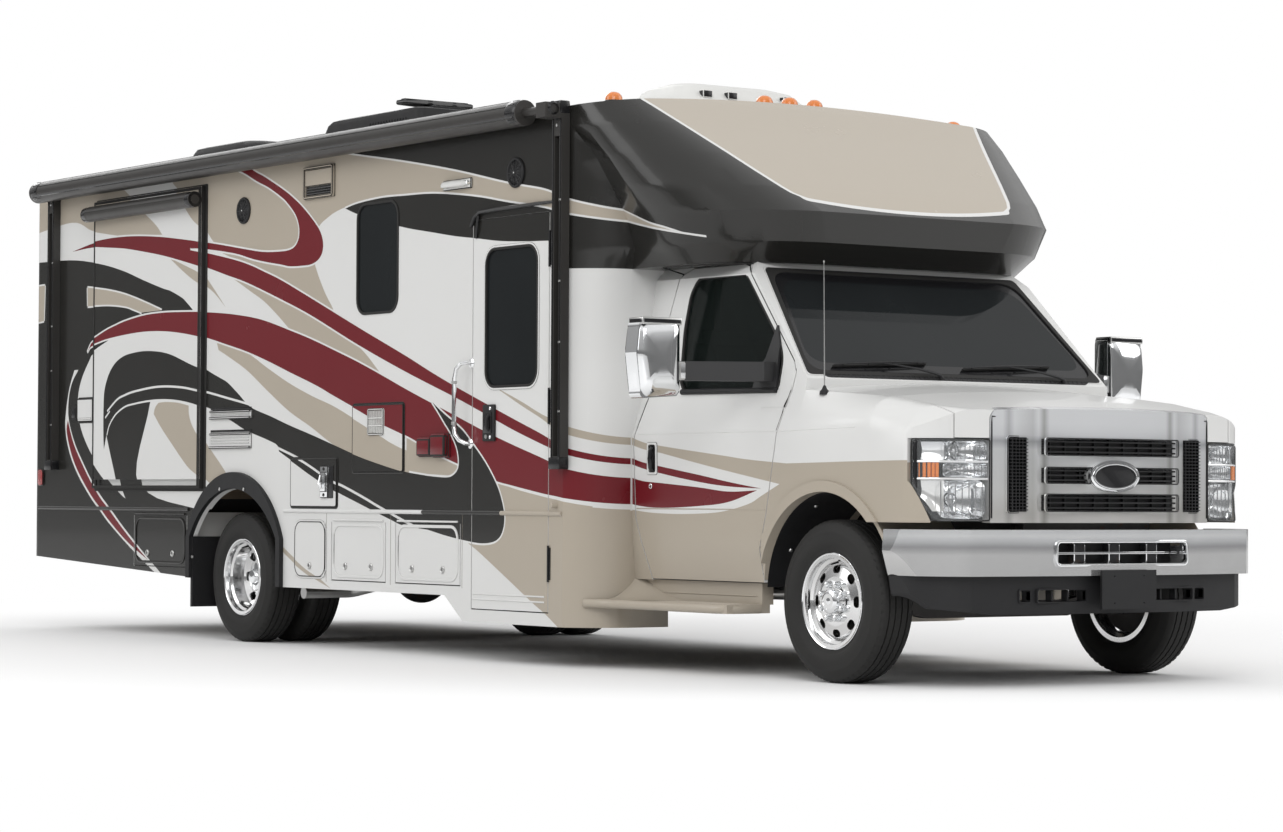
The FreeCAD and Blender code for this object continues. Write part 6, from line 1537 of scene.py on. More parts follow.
class MOTORHOME_OT_cab_sides(bpy.types.Operator):
    """Draws door seams, creases, belt mouldings, handles and locks on the cab doors"""

    bl_idname = "motorhome.cab_sides"
    bl_label = "Cab sides"

    def seams(self, side, word):
        """Gap round a door and the creases over it."""
        mould, laid = Mould(), []
        for u, v in divided((*DOOR, DOOR[0]), 0.04):
            found = [beside(CAB, side, u + du, v + dv, False)
                     for du, dv in ((0.010, 0), (-0.010, 0), (0, 0.010), (0, -0.010))]
            near = [met[0].x * side for met in found if met]
            if near:
                laid.append(Vector((side * (max(near) - 0.0045), u, v)))
        mould.tube(laid, 0.0034, "seal", 6, loop=True)
        both = f"{word}_cab_door cab_body fenders corner_panels"
        for finish, line in (("white", [(-0.20, 1.162), (0.35, 1.150), (1.53, 1.150)]),
                             ("beige", [(0.475, 0.786), (1.515, 0.786)])):
            mould.tube(draped(both, line, side, -0.0014), 0.0042, finish, 8, 0.8)
        mould.done(f"{word}_door_seams", COACH, "black_plastic")

    def trim(self, side, word, body):
        """Window seal, belt moulding, handle and lock of a door."""
        node, trim, surface = f"{word}_cab_door", Mould(), []
        for u, v in softened(DOOR_WINDOW, 0.035):
            spot = Vector((0, u, v))
            inward = (Vector((0, 0.85, 1.63)) - spot).normalized() * -0.016
            hit = beside(f"{node} cab_body", side, spot.y + inward.y, spot.z + inward.z)[0]
            surface.append(Vector((hit.x - side * 0.003, spot.y, spot.z)))
        trim.tube(surface, 0.0075, "seal", 8, loop=True)
        belt = draped(node, [(0.455, 1.328), (1.215, 1.336)], side, 0.0)
        trim.tube([spot + Vector((side * 0.001, 0, 0.016)) for spot in belt], 0.016, "black", 10, 0.9)
        trim.tube([spot + Vector((side * 0.006, 0, 0.022)) for spot in belt], 0.004, "gloss_black", 8)
        face, rise = beside(node, side, *HANDLE)[0].x, 0.07
        lean = Vector((beside(node, side, HANDLE[0], HANDLE[1] + rise)[0].x - face, 0, rise)).normalized()
        trim.turned((face, *HANDLE), (0, side, 0), lean)
        trim.plate(rounded((-0.044, -0.080), (0.044, 0.080), 0.014), "z", -0.004, 0.0042, "white",
                   rounded((-0.026, -0.066), (0.026, 0.066), 0.010), 0.002)
        trim.plate(rounded((-0.027, -0.067), (0.027, 0.067), 0.010), "z", -0.006, 0.0012, "black")
        grip = ((-0.058, 0.004), (-0.046, 0.016), (0.0, 0.020), (0.040, 0.016), (0.052, 0.006))
        trim.tube([(0.004, *spot) for spot in grip], [0.013, 0.014, 0.014, 0.014, 0.012], "gloss_black", 12,
                  0.7)
        trim.block((-0.022, 0.044, 0.0), (0.006, 0.066, 0.012), "gloss_black", 0.004)
        trim.turned((beside(node, side, *LOCK)[0].x, *LOCK), (0, side, 0), lean)
        trim.lathe([(-0.002, 0.013), (0.0030, 0.013), (0.0045, 0.010), (0.0040, 0.0085), (0.0048, TIP)],
                   (0, 0, 0), "z", "chrome", 24)
        trim.block((-0.0012, -0.005, 0.0045), (0.0012, 0.005, 0.0054), "seal", 0.0004)
        trim.done(f"{word}_door_trim", body, "black_plastic")

    def mirror(self, side, word, body):
        """Shell, glasses and arm cover of a door mirror, made for the left and turned over for the right."""
        glass, outline = Mould(), softened(MIRROR_SHELL, 0.02)

        def scaled(share):
            return [MIRROR_MIDDLE + (Vector(p) - MIRROR_MIDDLE) * share for p in outline]

        for low, high, radius in (((1.362, 1.400), (1.562, 1.655), 0.022),
                                  ((1.362, 1.318), (1.556, 1.388), 0.018)):
            glass.plate(rounded(low, high, radius), "y", 0.7695, 0.7725, "steel", bevel=0.001)
        glass.plate(outline, "y", 0.752, 0.776, "gloss_black", scaled(0.93), 0.002)
        glass.block((1.362, 0.766, 1.390), (1.560, 0.775, 1.398), "gloss_black", 0.002)
        glass.stacked([[(p[0], back, p[1]) for p in scaled(share)] for back, share in MIRROR_RINGS], "chrome")
        glass.block((1.270, 0.672, 1.386), (1.350, 0.748, 1.474), "chrome", 0.010)
        glass.block((1.345, 0.655, 1.640), (1.570, 0.770, 1.674), "gloss_black", 0.008)
        for vert in glass.bm.verts:
            vert.co.x *= side
        glass.done(f"{word}_mirror_shell", body, "chrome_trim", 40)

    def execute(self, context):
        for side, word, body in ((1, "left", "left_door"), (-1, "right", "right_door")):
            self.seams(side, word)
            self.trim(side, word, body)
            self.mirror(side, word, body)
        return {"FINISHED"}


# Leaves on the right wall: start, end, foot, head.
LEAVES = ((3.260, 3.780, 0.975, 1.325), (3.960, 4.460, 0.785, 1.040), (4.080, 4.410, 0.400, 0.695),
          (6.980, 7.180, 1.300, 1.430))
# Blocks on the right wall: how far out they start and end, start, end, foot, head, finish, bevel.
LATCH_BLOCKS = (
    (0.007, 0.012, 3.985, 4.075, 0.828, 1.006, "gloss_black", 0.002),
    (0.008, 0.018, 4.035, 4.118, 0.830, 1.004, "chrome", 0.004),
    (0.016, 0.026, 4.046, 4.106, 0.862, 0.972, "chrome", 0.005),
)
HOOD_VENT_BLOCKS = (
    (0.005, 0.0155, 4.020, 4.310, 2.552, 2.641, "beige", 0.003),
    (0.005, 0.0085, 4.022, 4.308, 2.500, 2.550, "gloss_black", 0.001),
    *((0.008, 0.015, 4.024, 4.306, 2.506 + 0.014 * bar, 2.510 + 0.014 * bar, "grey", 0.001)
      for bar in range(3)),
)
INLET_BLOCKS = (
    (0.0, 0.014, 7.190, 7.262, 1.305, 1.392, "black", 0.005),
    (0.012, 0.018, 7.200, 7.252, 1.318, 1.380, "gloss_black", 0.003),
    (0.007, 0.012, 6.990, 7.170, 1.306, 1.318, "pale", 0.002),
)
# Turned parts on the right wall: (out from the wall, radius).
SPEAKER = ((0.0, 0.076), (0.008, 0.077), (0.014, 0.072), (0.012, 0.064), (0.004, 0.060), (0.010, 0.050),
           (0.006, 0.040), (0.011, 0.030), (0.013, 0.016), (0.018, 0.012), (0.020, TIP))
# Grab handle: out from the wall, station, level.
GRAB_HANDLE = ((-0.002, 2.585, 1.522), (0.030, 2.590, 1.526), (0.052, 2.612, 1.520), (0.060, 2.640, 1.495),
               (0.062, 2.655, 1.445), (0.062, 2.658, 1.320), (0.062, 2.658, 1.200), (0.060, 2.650, 1.158),
               (0.050, 2.625, 1.128), (0.030, 2.600, 1.114), (-0.002, 2.592, 1.110))


class RightWall(Mould):
    """Mould whose shapes are measured out from the right wall."""

    def slabs(self, rows):
        for near, far, start, end, foot, head, finish, bevel in rows:
            self.cuboid((-WALL_X - near, -WALL_X - far), (start, end), (foot, head), finish, bevel)

    def slab(self, *row):
        self.slabs([row])

    def rod(self, points, radius, finish, sides=10, flat=1.0):
        self.tube([(-WALL_X - out, u, v) for out, u, v in points], radius, finish, sides, flat)

    def knob(self, profile, station, level, finish, steps=18):
        self.lathe(profile, (-WALL_X, station, level), "x", finish, steps, (-1, 1))

    def surround(self, start, end, foot, head, radius, width, proud, finish):
        """Raised frame round an opening."""
        low, high = (start, foot), (end, head)
        self.plate(grown(low, high, width, radius + width, 6), "x", -WALL_X - proud, -WALL_X + 0.001, finish,
                   rounded(low, high, radius, 6), min(width, proud) * 0.3)


class MOTORHOME_OT_wall_fittings(bpy.types.Operator):
    """Makes the hatches, vents, lamps, covers and handles on the right wall"""

    bl_idname = "motorhome.wall_fittings"
    bl_label = "Wall fittings"

    def leaves(self, wall):
        """Painted leaves, which keep the graphics, with their frames, the latch and the lock."""
        skin("side_hatches_paint", "side_fittings", "right", COACH,
             drawn(SIDE_GRAPHICS, SIDE_LINES, settings("paint_colours").pinstripe), "white",
             wanted=lambda u, v: any(a - 0.01 < u < b + 0.01 and c - 0.01 < v < e + 0.01
                                     for a, b, c, e in LEAVES))
        gap = 0.0035
        for start, end, foot, head in LEAVES:
            corner = 0.06 if head < 0.75 else 0.012
            dark = 0.74 < foot < 0.99 or foot > 1.29
            wall.surround(start, end, foot, head, corner, gap, 0.0090, "seal")
            wall.surround(start - gap, end + gap, foot - gap, head + gap, corner, 0.012, 0.0035,
                          "charcoal" if dark else "white")
        wall.slabs(LATCH_BLOCKS)
        wall.rod([(0.026, 4.076, 0.880), (0.034, 4.076, 0.905), (0.030, 4.076, 0.952)], [0.016, 0.020, 0.014],
                 "chrome", 12, 0.5)
        for level in (0.846, 0.988):
            wall.knob([(0.017, 0.010), (0.0215, 0.008), (0.0225, TIP)], 4.076, level, "seal", 14)
        u, v = 4.245, 0.455
        wall.knob([(0.007, 0.019), (0.012, 0.0185), (0.014, 0.015), (0.0125, 0.012), (0.014, TIP)], u, v,
                  "steel", 24)
        wall.slab(0.0135, 0.0152, u - 0.0015, u + 0.0015, v - 0.007, v + 0.007, "seal", 0.0004)

    def vents(self, wall):
        """Furnace outlet, outlet covers, refrigerator vents and range hood vent."""
        wall.slab(0.0, 0.004, 3.445, 3.615, 1.165, 1.310, "pale", 0.003)
        wall.surround(3.455, 3.605, 1.175, 1.300, 0.006, 0.010, 0.016, "pale")
        wall.slab(0.004, 0.0055, 3.455, 3.605, 1.175, 1.300, "gloss_black", 0.0005)
        for bar in range(9):
            u = 3.463 + 0.134 * bar / 8
            wall.slab(0.006, 0.015, u - 0.0032, u + 0.0032, 1.176, 1.299, "pale", 0.001)
        for level in (1.217, 1.258):
            wall.slab(0.006, 0.0155, 3.456, 3.604, level - 0.004, level + 0.004, "pale", 0.001)
        for start, end, foot, head, proud in (
            (2.795, 2.935, 1.048, 1.158, 0.040), (2.955, 3.085, 1.052, 1.140, 0.030),
        ):
            wall.slab(0.0, proud * 0.35, start - 0.008, end + 0.008, foot - 0.006, head + 0.008, "red", 0.004)
            wall.slab(proud * 0.3, proud, start, end, foot, head, "red", 0.010)
            wall.rod([(proud * 0.7, u, head + 0.002) for u in (start + 0.006, end - 0.006)], 0.005, "red", 8)
        start, end = 4.935, 5.425
        for foot, head, slot in ((1.280, 1.330, 1.334), (1.110, 1.200, 1.205)):
            wall.slab(0.0, 0.006, start - 0.005, end + 0.005, foot, head, "white", 0.003)
            wall.slab(0.003, 0.018, start, end, foot, foot + 0.014, "white", 0.005)
            wall.slab(0.003, 0.016, start, end, head - 0.012, head, "white", 0.005)
            wall.slab(0.0, 0.004, start, end, slot, slot + 0.013, "gloss_black", 0.001)
            for bar in range(3):
                level = foot + (head - foot) * (0.34 + 0.18 * bar)
                wall.slab(0.004, 0.010, start + 0.015, end - 0.015, level - 0.003, level + 0.003, "white",
                          0.001)
        wall.slab(0.0, 0.006, 4.000, 4.330, 2.480, 2.660, "beige", 0.003)
        wall.surround(4.016, 4.314, 2.496, 2.644, 0.004, 0.015, 0.021, "beige")
        wall.slabs(HOOD_VENT_BLOCKS)

    def fittings(self, wall):
        """Porch light, loudspeakers, water inlet and grab handle."""
        wall.slab(0.0, 0.012, 2.590, 2.860, 2.424, 2.478, "pale", 0.006)
        wall.rod([(0.022, 2.612, 2.450), (0.030, 2.630, 2.451), (0.032, 2.725, 2.451), (0.030, 2.820, 2.451),
                  (0.022, 2.838, 2.450)], [0.008, 0.018, 0.020, 0.018, 0.008], "clear_lamp", 16)
        for u in (2.604, 2.846):
            wall.knob([(0.010, 0.012), (0.030, 0.010), (0.034, TIP)], u, 2.451, "chrome", 14)
        for u in (2.175, 5.040):
            wall.knob(SPEAKER, u, 2.470, "black", 48)
            for spoke in range(12):
                angle = math.tau * spoke / 12
                wall.rod([(out, u + reach * math.cos(angle), 2.47 + reach * math.sin(angle))
                          for out, reach in ((0.013, 0.014), (0.012, 0.066))], 0.0018, "gloss_black", 6)
            wall.knob([(0.019, 0.005), (0.0215, TIP)], u, 2.470, "steel", 12)
        wall.slabs(INLET_BLOCKS)
        wall.rod(GRAB_HANDLE, 0.0115, "chrome", 14)
        for level in (1.215, 1.425):
            wall.lathe([(-0.008, 0.0118), (-0.007, 0.0150), (0.007, 0.0150), (0.008, 0.0118)],
                       (-WALL_X - 0.062, 2.657, level), "z", "steel", 18)
        for u, level in ((2.586, 1.523), (2.593, 1.111)):
            wall.knob([(0.0, 0.027), (0.004, 0.026), (0.008, 0.018), (0.010, 0.012)], u, level, "chrome", 24)

    def execute(self, context):
        wall = RightWall()
        self.leaves(wall)
        self.vents(wall)
        self.fittings(wall)
        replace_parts(wall.done("wall_fittings", COACH, "white_plastic"), "side_fittings")
        return {"FINISHED"}


HATCHES = (("right_front_hatch", -1, "white"), ("right_middle_hatch", -1, "white"),
           ("right_rear_hatch", -1, "charcoal"), ("left_middle_hatch", 1, "white"))
RAIL_RUNS = ((1.745, 2.300, "beige"), (2.300, 3.060, "charcoal"), (3.060, 4.545, "white"),
             (5.695, 6.260, "charcoal"), (6.260, 7.755, "charcoal"))


class MOTORHOME_OT_hatches(bpy.types.Operator):
    """Adds pressed frames, seams and locks to the compartment hatches and skirts"""

    bl_idname = "motorhome.hatches"
    bl_label = "Hatches and skirts"

    def execute(self, context):
        for node, side, finish in HATCHES:
            start, end, foot, head = extent(node)
            face, mould = side * WALL_X, Mould()
            for inset, width, proud, tint, bevel in (
                (0.030, 0.016, 0.0055, finish, 0.0025), (0.026, 0.0035, 0.0012, "seal", 0.0),
            ):
                low, high = (start + inset, foot + inset), (end - inset, head - inset * 0.8)
                mould.plate(grown(low, high, width, 0.055 + width, 6), "x", face - side * 0.001,
                            face + side * proud, tint, rounded(low, high, 0.055, 6), bevel)
            for share in (0.26, 0.74):
                mould.lock(side, start + (end - start) * share, foot + 0.075)
            mould.done(f"{node}_trim", f"{node}_lid", "white_body")
            around = Mould()
            outer = rounded((start - 0.005, foot - 0.005), (end + 0.005, head + 0.003), 0.010, 6)
            around.plate(outer, "x", face - side * 0.012, face - side * 0.003, "seal",
                         grown((start, foot), (end, head), -0.001, 0.006, 6))
            around.tube([(face + side * 0.004, u, head + 0.010) for u in (start + 0.02, end - 0.02)], 0.0055,
                        finish, 10)
            around.done(f"{node}_surround", COACH, "black_plastic")
        self.rails()
        return {"FINISHED"}

    def rails(self):
        """Rub rails, seams of the skirts and the step's lips."""
        rail = Mould()
        for side in (-1, 1):
            for start, end, finish in RAIL_RUNS:
                rail.tube([(side * (WALL_X + 0.001), u, 0.758) for u in (start, end)], 0.0105, finish, 12,
                          1.1)
            for station in (1.742, 2.668, 3.385, 4.070):
                if station > 2 or side > 0:
                    rail.block((side * WALL_X - 0.0012, station - 0.0015, 0.37),
                               (side * WALL_X + 0.0012, station + 0.0015, 0.745), "seal", 0.0005)
            for level in (0.318, 0.345):
                rail.tube([(side * (WALL_X + 0.0006), u, level) for u in (1.90, 2.56)], 0.0045, "white", 8)
        rail.done("rub_rails", COACH, "white_body")


# Drip rail over the entry door, bent down at its rear end: out from the wall, station, level.
DRIP_RAIL = ((0.006, 1.802, 2.300), (0.012, 1.95, 2.300), (0.014, 2.30, 2.296), (0.014, 2.500, 2.290),
             (0.012, 2.545, 2.270), (0.006, 2.592, 2.225))

# Window behind the entry door: lowest and highest corner.
RIGHT_WINDOW = ((3.334, 1.829), (3.746, 2.406))


class MOTORHOME_OT_entry(bpy.types.Operator):
    """Dresses the entry door: window frame, latch, hinges, edge moulding and drip rail"""

    bl_idname = "motorhome.entry_trim"
    bl_label = "Entry door"

    def execute(self, context):
        wall = -WALL_X
        start, end, foot, head = extent("entry_door_glass")
        low, high = (start, foot), (end, head)
        door = RightWall()
        lip = grown(low, high, 0.008, 0.087, 6)
        door.plate(lip, "x", wall - 0.006, wall + 0.006, "seal", grown(low, high, -0.004, 0.075, 6), 0.002)
        door.plate(grown(low, high, 0.020, 0.098, 6), "x", wall - 0.0045, wall + 0.002, "white", lip, 0.0015)
        door.slab(0.0, 0.014, 2.352, 2.462, 1.122, 1.308, "black", 0.008)
        door.slab(0.012, 0.020, 2.372, 2.444, 1.160, 1.270, "gloss_black", 0.005)
        paddle = ((0.018, 1.175), (0.030, 1.190), (0.032, 1.215), (0.030, 1.240), (0.018, 1.255))
        door.rod([(out, 2.392, level) for out, level in paddle], 0.008, "black")
        for level in (1.142, 1.288):
            door.knob([(0.012, 0.010), (0.018, 0.009), (0.020, 0.005), (0.0205, TIP)], 2.385, level,
                      "chrome")
        door.knob([(0.012, 0.011), (0.017, 0.011), (0.0175, TIP)], 2.425, 1.145, "steel")
        door.done("entry_door_trim", "entry", "black_plastic")

        start, end, foot, head = extent("entry_door")
        around = RightWall()
        outer = rounded((start - 0.007, foot - 0.006), (end + 0.007, head + 0.007), 0.008, 6)
        around.plate(outer, "x", wall + 0.003, wall + 0.010, "seal",
                     grown((start, foot), (end, head), 0.001, 0.004, 6))
        for low, high in ((0.42, 0.60), (1.20, 1.38), (1.98, 2.16)):
            around.rod([(0.006, start - 0.004, low), (0.006, start - 0.004, high)], 0.006, "gloss_black")
            around.slab(0.0, 0.004, start - 0.020, start - 0.004, low + 0.01, high - 0.01, "gloss_black",
                        0.0015)
        around.rod(DRIP_RAIL, [0.009, 0.012, 0.013, 0.013, 0.013, 0.010], "gloss_black", 10, 0.8)
        around.rod([(0.010, 2.520, 2.276), (0.010, 2.535, 2.200), (0.004, 2.545, 2.160)],
                   [0.008, 0.007, 0.005], "gloss_black", 8)
        door_holder = [(0.0, 0.017), (0.010, 0.016), (0.030, 0.012), (0.034, TIP)]
        around.knob(door_holder, 1.800, 0.800, "beige", 20)
        low, high = RIGHT_WINDOW
        around.plate(grown(low, high, 0.014, 0.088, 6), "x", wall - 0.0055, wall + 0.005, "seal",
                     rounded(low, high, 0.075, 6), 0.002)
        around.done("entry_surround", COACH, "black_plastic")
        return {"FINISHED"}


# End of a topper's roller: along in metres, radius in shares of the roller's.
TOPPER_END = ((-0.030, 1.012), (0.018, 1.012), (0.024, 0.94), (0.024, 0.60), (0.016, 0.52), (0.016, 0.18),
              (0.023, 0.14), (0.0232, 0.002))


class MOTORHOME_OT_slide_rooms(bpy.types.Operator):
    """Adds the slide-out rooms' seals and corner mouldings, and the ends and seams of their toppers"""

    bl_idname = "motorhome.slide_rooms"
    bl_label = "Slide-out rooms"

    def execute(self, context):
        for side, word in ((-1, "right"), (1, "left")):
            low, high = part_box(f"{word}_slide_out")
            face = low.x if side < 0 else high.x
            a, b, c, e = extent(f"{word}_slide_out")
            seal = Mould()
            seal.plate(rounded((a - 0.030, c - 0.016), (b + 0.014, e + 0.012), 0.012, 6), "x",
                       side * (WALL_X - 0.002), side * (WALL_X + 0.0045), "seal",
                       grown((a, c), (b, e), -0.010, 0.010, 6), 0.0015)
            seal.done(f"{word}_slide_seal", COACH, "black_plastic")
            room = Mould()
            room.plate(grown((a, c), (b, e), -0.001, 0.008, 6), "x", face - side * 0.004,
                       face + side * 0.0016,
                       "seal", rounded((a + 0.024, c + 0.016), (b - 0.008, e - 0.016), 0.008, 6), 0.0008)
            room.cuboid((side * (WALL_X + 0.001), face), (a - 0.0022, a - 0.0002), (c, e), "seal", 0.0006)
            edge = face + side * 0.0008
            for station in (a + 0.030, b - 0.014):
                room.tube([(edge, station, c + 0.012), (edge, station, e - 0.012)], 0.0042, "seal", 8)
            for level in (c + 0.014, e - 0.014):
                room.tube([(edge, a + 0.014, level), (edge, b - 0.014, level)], 0.0042, "seal", 8)
            if side > 0:
                room.cuboid((face, face + side * 0.030), (a + 0.02, b - 0.05), (c + 0.085, c + 0.105),
                            "white", 0.006)
            room.done(f"{word}_slide_moulding", f"{word}_room", "white_body")
            self.topper(side, word, face)
        return {"FINISHED"}

    def topper(self, side, word, face):
        """Ends, brackets and seams of a rolled topper."""
        start, end, foot, head = extent(f"{word}_slide_topper")
        centre, radius = middle(f"{word}_slide_topper"), (head - foot) / 2
        centre.y = 0
        topper = Mould()
        for u, way in ((start + 0.024, -1), (end - 0.024, 1)):
            topper.lathe(TOPPER_END, centre + Vector((0, u, 0)), "y", "gloss_black", 40, (way, radius))
            topper.cuboid((face, centre.x - side * radius * 0.2), (u - 0.010, u + 0.010),
                          (centre.z - radius * 0.5, centre.z + radius * 0.35), "black", 0.003)
        reach = radius + 0.0006
        for turn in (0.18, 1.35, 2.6):
            topper.tube([centre + Vector((side * reach * math.cos(turn), u, reach * math.sin(turn)))
                         for u in (start + 0.05, (start + end) / 2, end - 0.05)], 0.0016, "seal", 6)
        topper.done(f"{word}_topper_ends", f"{word}_room", "awning_cloth")


# End of the awning's roller: along in metres, radius in shares of the roller's.
AWNING_END = ((-0.080, 1.035), (-0.070, 1.055), (0.000, 1.055), (0.010, 1.0), (0.012, 0.72), (0.004, 0.66),
              (0.004, 0.30), (0.020, 0.26), (0.022, 0.002))
AWNING_RADIUS, AWNING_REAR = 0.0605, 7.575
# Folded arms of the awning: station, foot.
AWNING_ARMS = ((1.695, 0.980), (7.470, 1.000))
# Seams of the rolled awning: turn in degrees, radius, finish.
AWNING_SEAMS = ((205, 0.0075, "gloss_black"), (100, 0.003, "seal"), (150, 0.0022, "seal"),
                (245, 0.003, "seal"))


class MOTORHOME_OT_awning(bpy.types.Operator):
    """Adds end caps, knuckles, arm channels, bolts and the rolled edge to the awning"""

    bl_idname = "motorhome.awning"
    bl_label = "Awning"

    def execute(self, context):
        top, radius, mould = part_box("awning")[1].z, AWNING_RADIUS, Mould()
        front = beside("awning", -1, 4.0, top - 0.060)[0].x
        crown = cast("awning", (front + 0.030, 4.0, 3.2), (0, 0, -1))[0].z
        centre = Vector((front + radius, 0, crown - radius * 0.86))
        first = cast("awning", (centre.x, 0.5, centre.z + radius * 0.7), (0, 1, 0))[0].y
        for u, way in ((first + 0.014, -1), (AWNING_REAR, 1)):
            mould.lathe(AWNING_END, centre + Vector((0, u, 0)), "y", "gloss_black", 48, (way, radius))
            for turn in range(10):
                angle = math.tau * turn / 10
                rim = centre + Vector((radius * 1.05 * math.cos(angle), u - way * 0.035,
                                       radius * 1.05 * math.sin(angle)))
                mould.tube([rim - Vector((0, 0.028, 0)), rim + Vector((0, 0.028, 0))], 0.0028, "black", 6)
        for degrees, size, finish in AWNING_SEAMS:
            turn = math.radians(degrees)
            mould.tube([centre + Vector((radius * math.cos(turn), u, radius * math.sin(turn)))
                        for u in (first + 0.02, 3.2, 4.6, 6.0, 7.55)], size, finish, 8)
        for station, foot in AWNING_ARMS:
            self.arm(mould, station, foot, top, centre)
        mould.done("awning_trim", COACH, "awning_cloth")
        return {"FINISHED"}

    def arm(self, mould, station, foot, top, centre):
        """Channel of a folded arm with its bolts, feet and knuckle."""
        wall = -WALL_X
        face = beside("awning", -1, station + 0.012, 1.6)[0].x
        width = cast("awning", (wall - 0.02, station + 0.6, 1.6), (0, -1, 0))[0].y - station
        half = station + width / 2
        for u in (station + 0.010, station + width - 0.010):
            mould.tube([(face - 0.001, u, foot + 0.02), (face - 0.001, u, top - 0.10)], 0.0048,
                       "gloss_black", 8)
        inner = rounded((station + 0.026, foot + 0.075), (station + width - 0.026, top - 0.175), 0.008)
        mould.plate(inner, "x", wall - 0.018, wall - 0.006, "gloss_black", bevel=0.002)
        mould.tube([(wall - 0.020, half, foot + 0.09), (wall - 0.020, half, top - 0.19)], 0.009, "black", 10)
        for u, level in ((half, foot + 0.035), (station + 0.012, foot + 0.28), (station + 0.012, foot + 0.62),
                         (station + 0.012, 1.90), (station + 0.012, 2.30), (half, top - 0.14)):
            mould.lathe([(-0.001, 0.0085), (0.003, 0.0080), (0.005, 0.0045), (0.0052, TIP)],
                        (face, u, level), "x", "steel", 16, (-1, 1))
        for out, margin, low, high, bevel in ((0.010, 0.006, foot - 0.004, foot + 0.055, 0.006),
                                              (0.012, 0.004, top - 0.085, top - 0.020, 0.010)):
            mould.block((face - out, station - margin, low), (wall, station + width + margin, high),
                        "gloss_black", bevel)
        knuckle = Vector((centre.x, half, centre.z))
        mould.lathe([(-0.62, 0.024), (-0.5, 0.034), (0.5, 0.034), (0.62, 0.024)], knuckle, "y",
                    "gloss_black", 24, (width, 1))
        mould.tube([knuckle, knuckle + Vector((0.045, 0, -0.030)), Vector((wall - 0.02, half, top - 0.11))],
                   0.020, "black", 10)


ROOF_LEVEL = 2.765


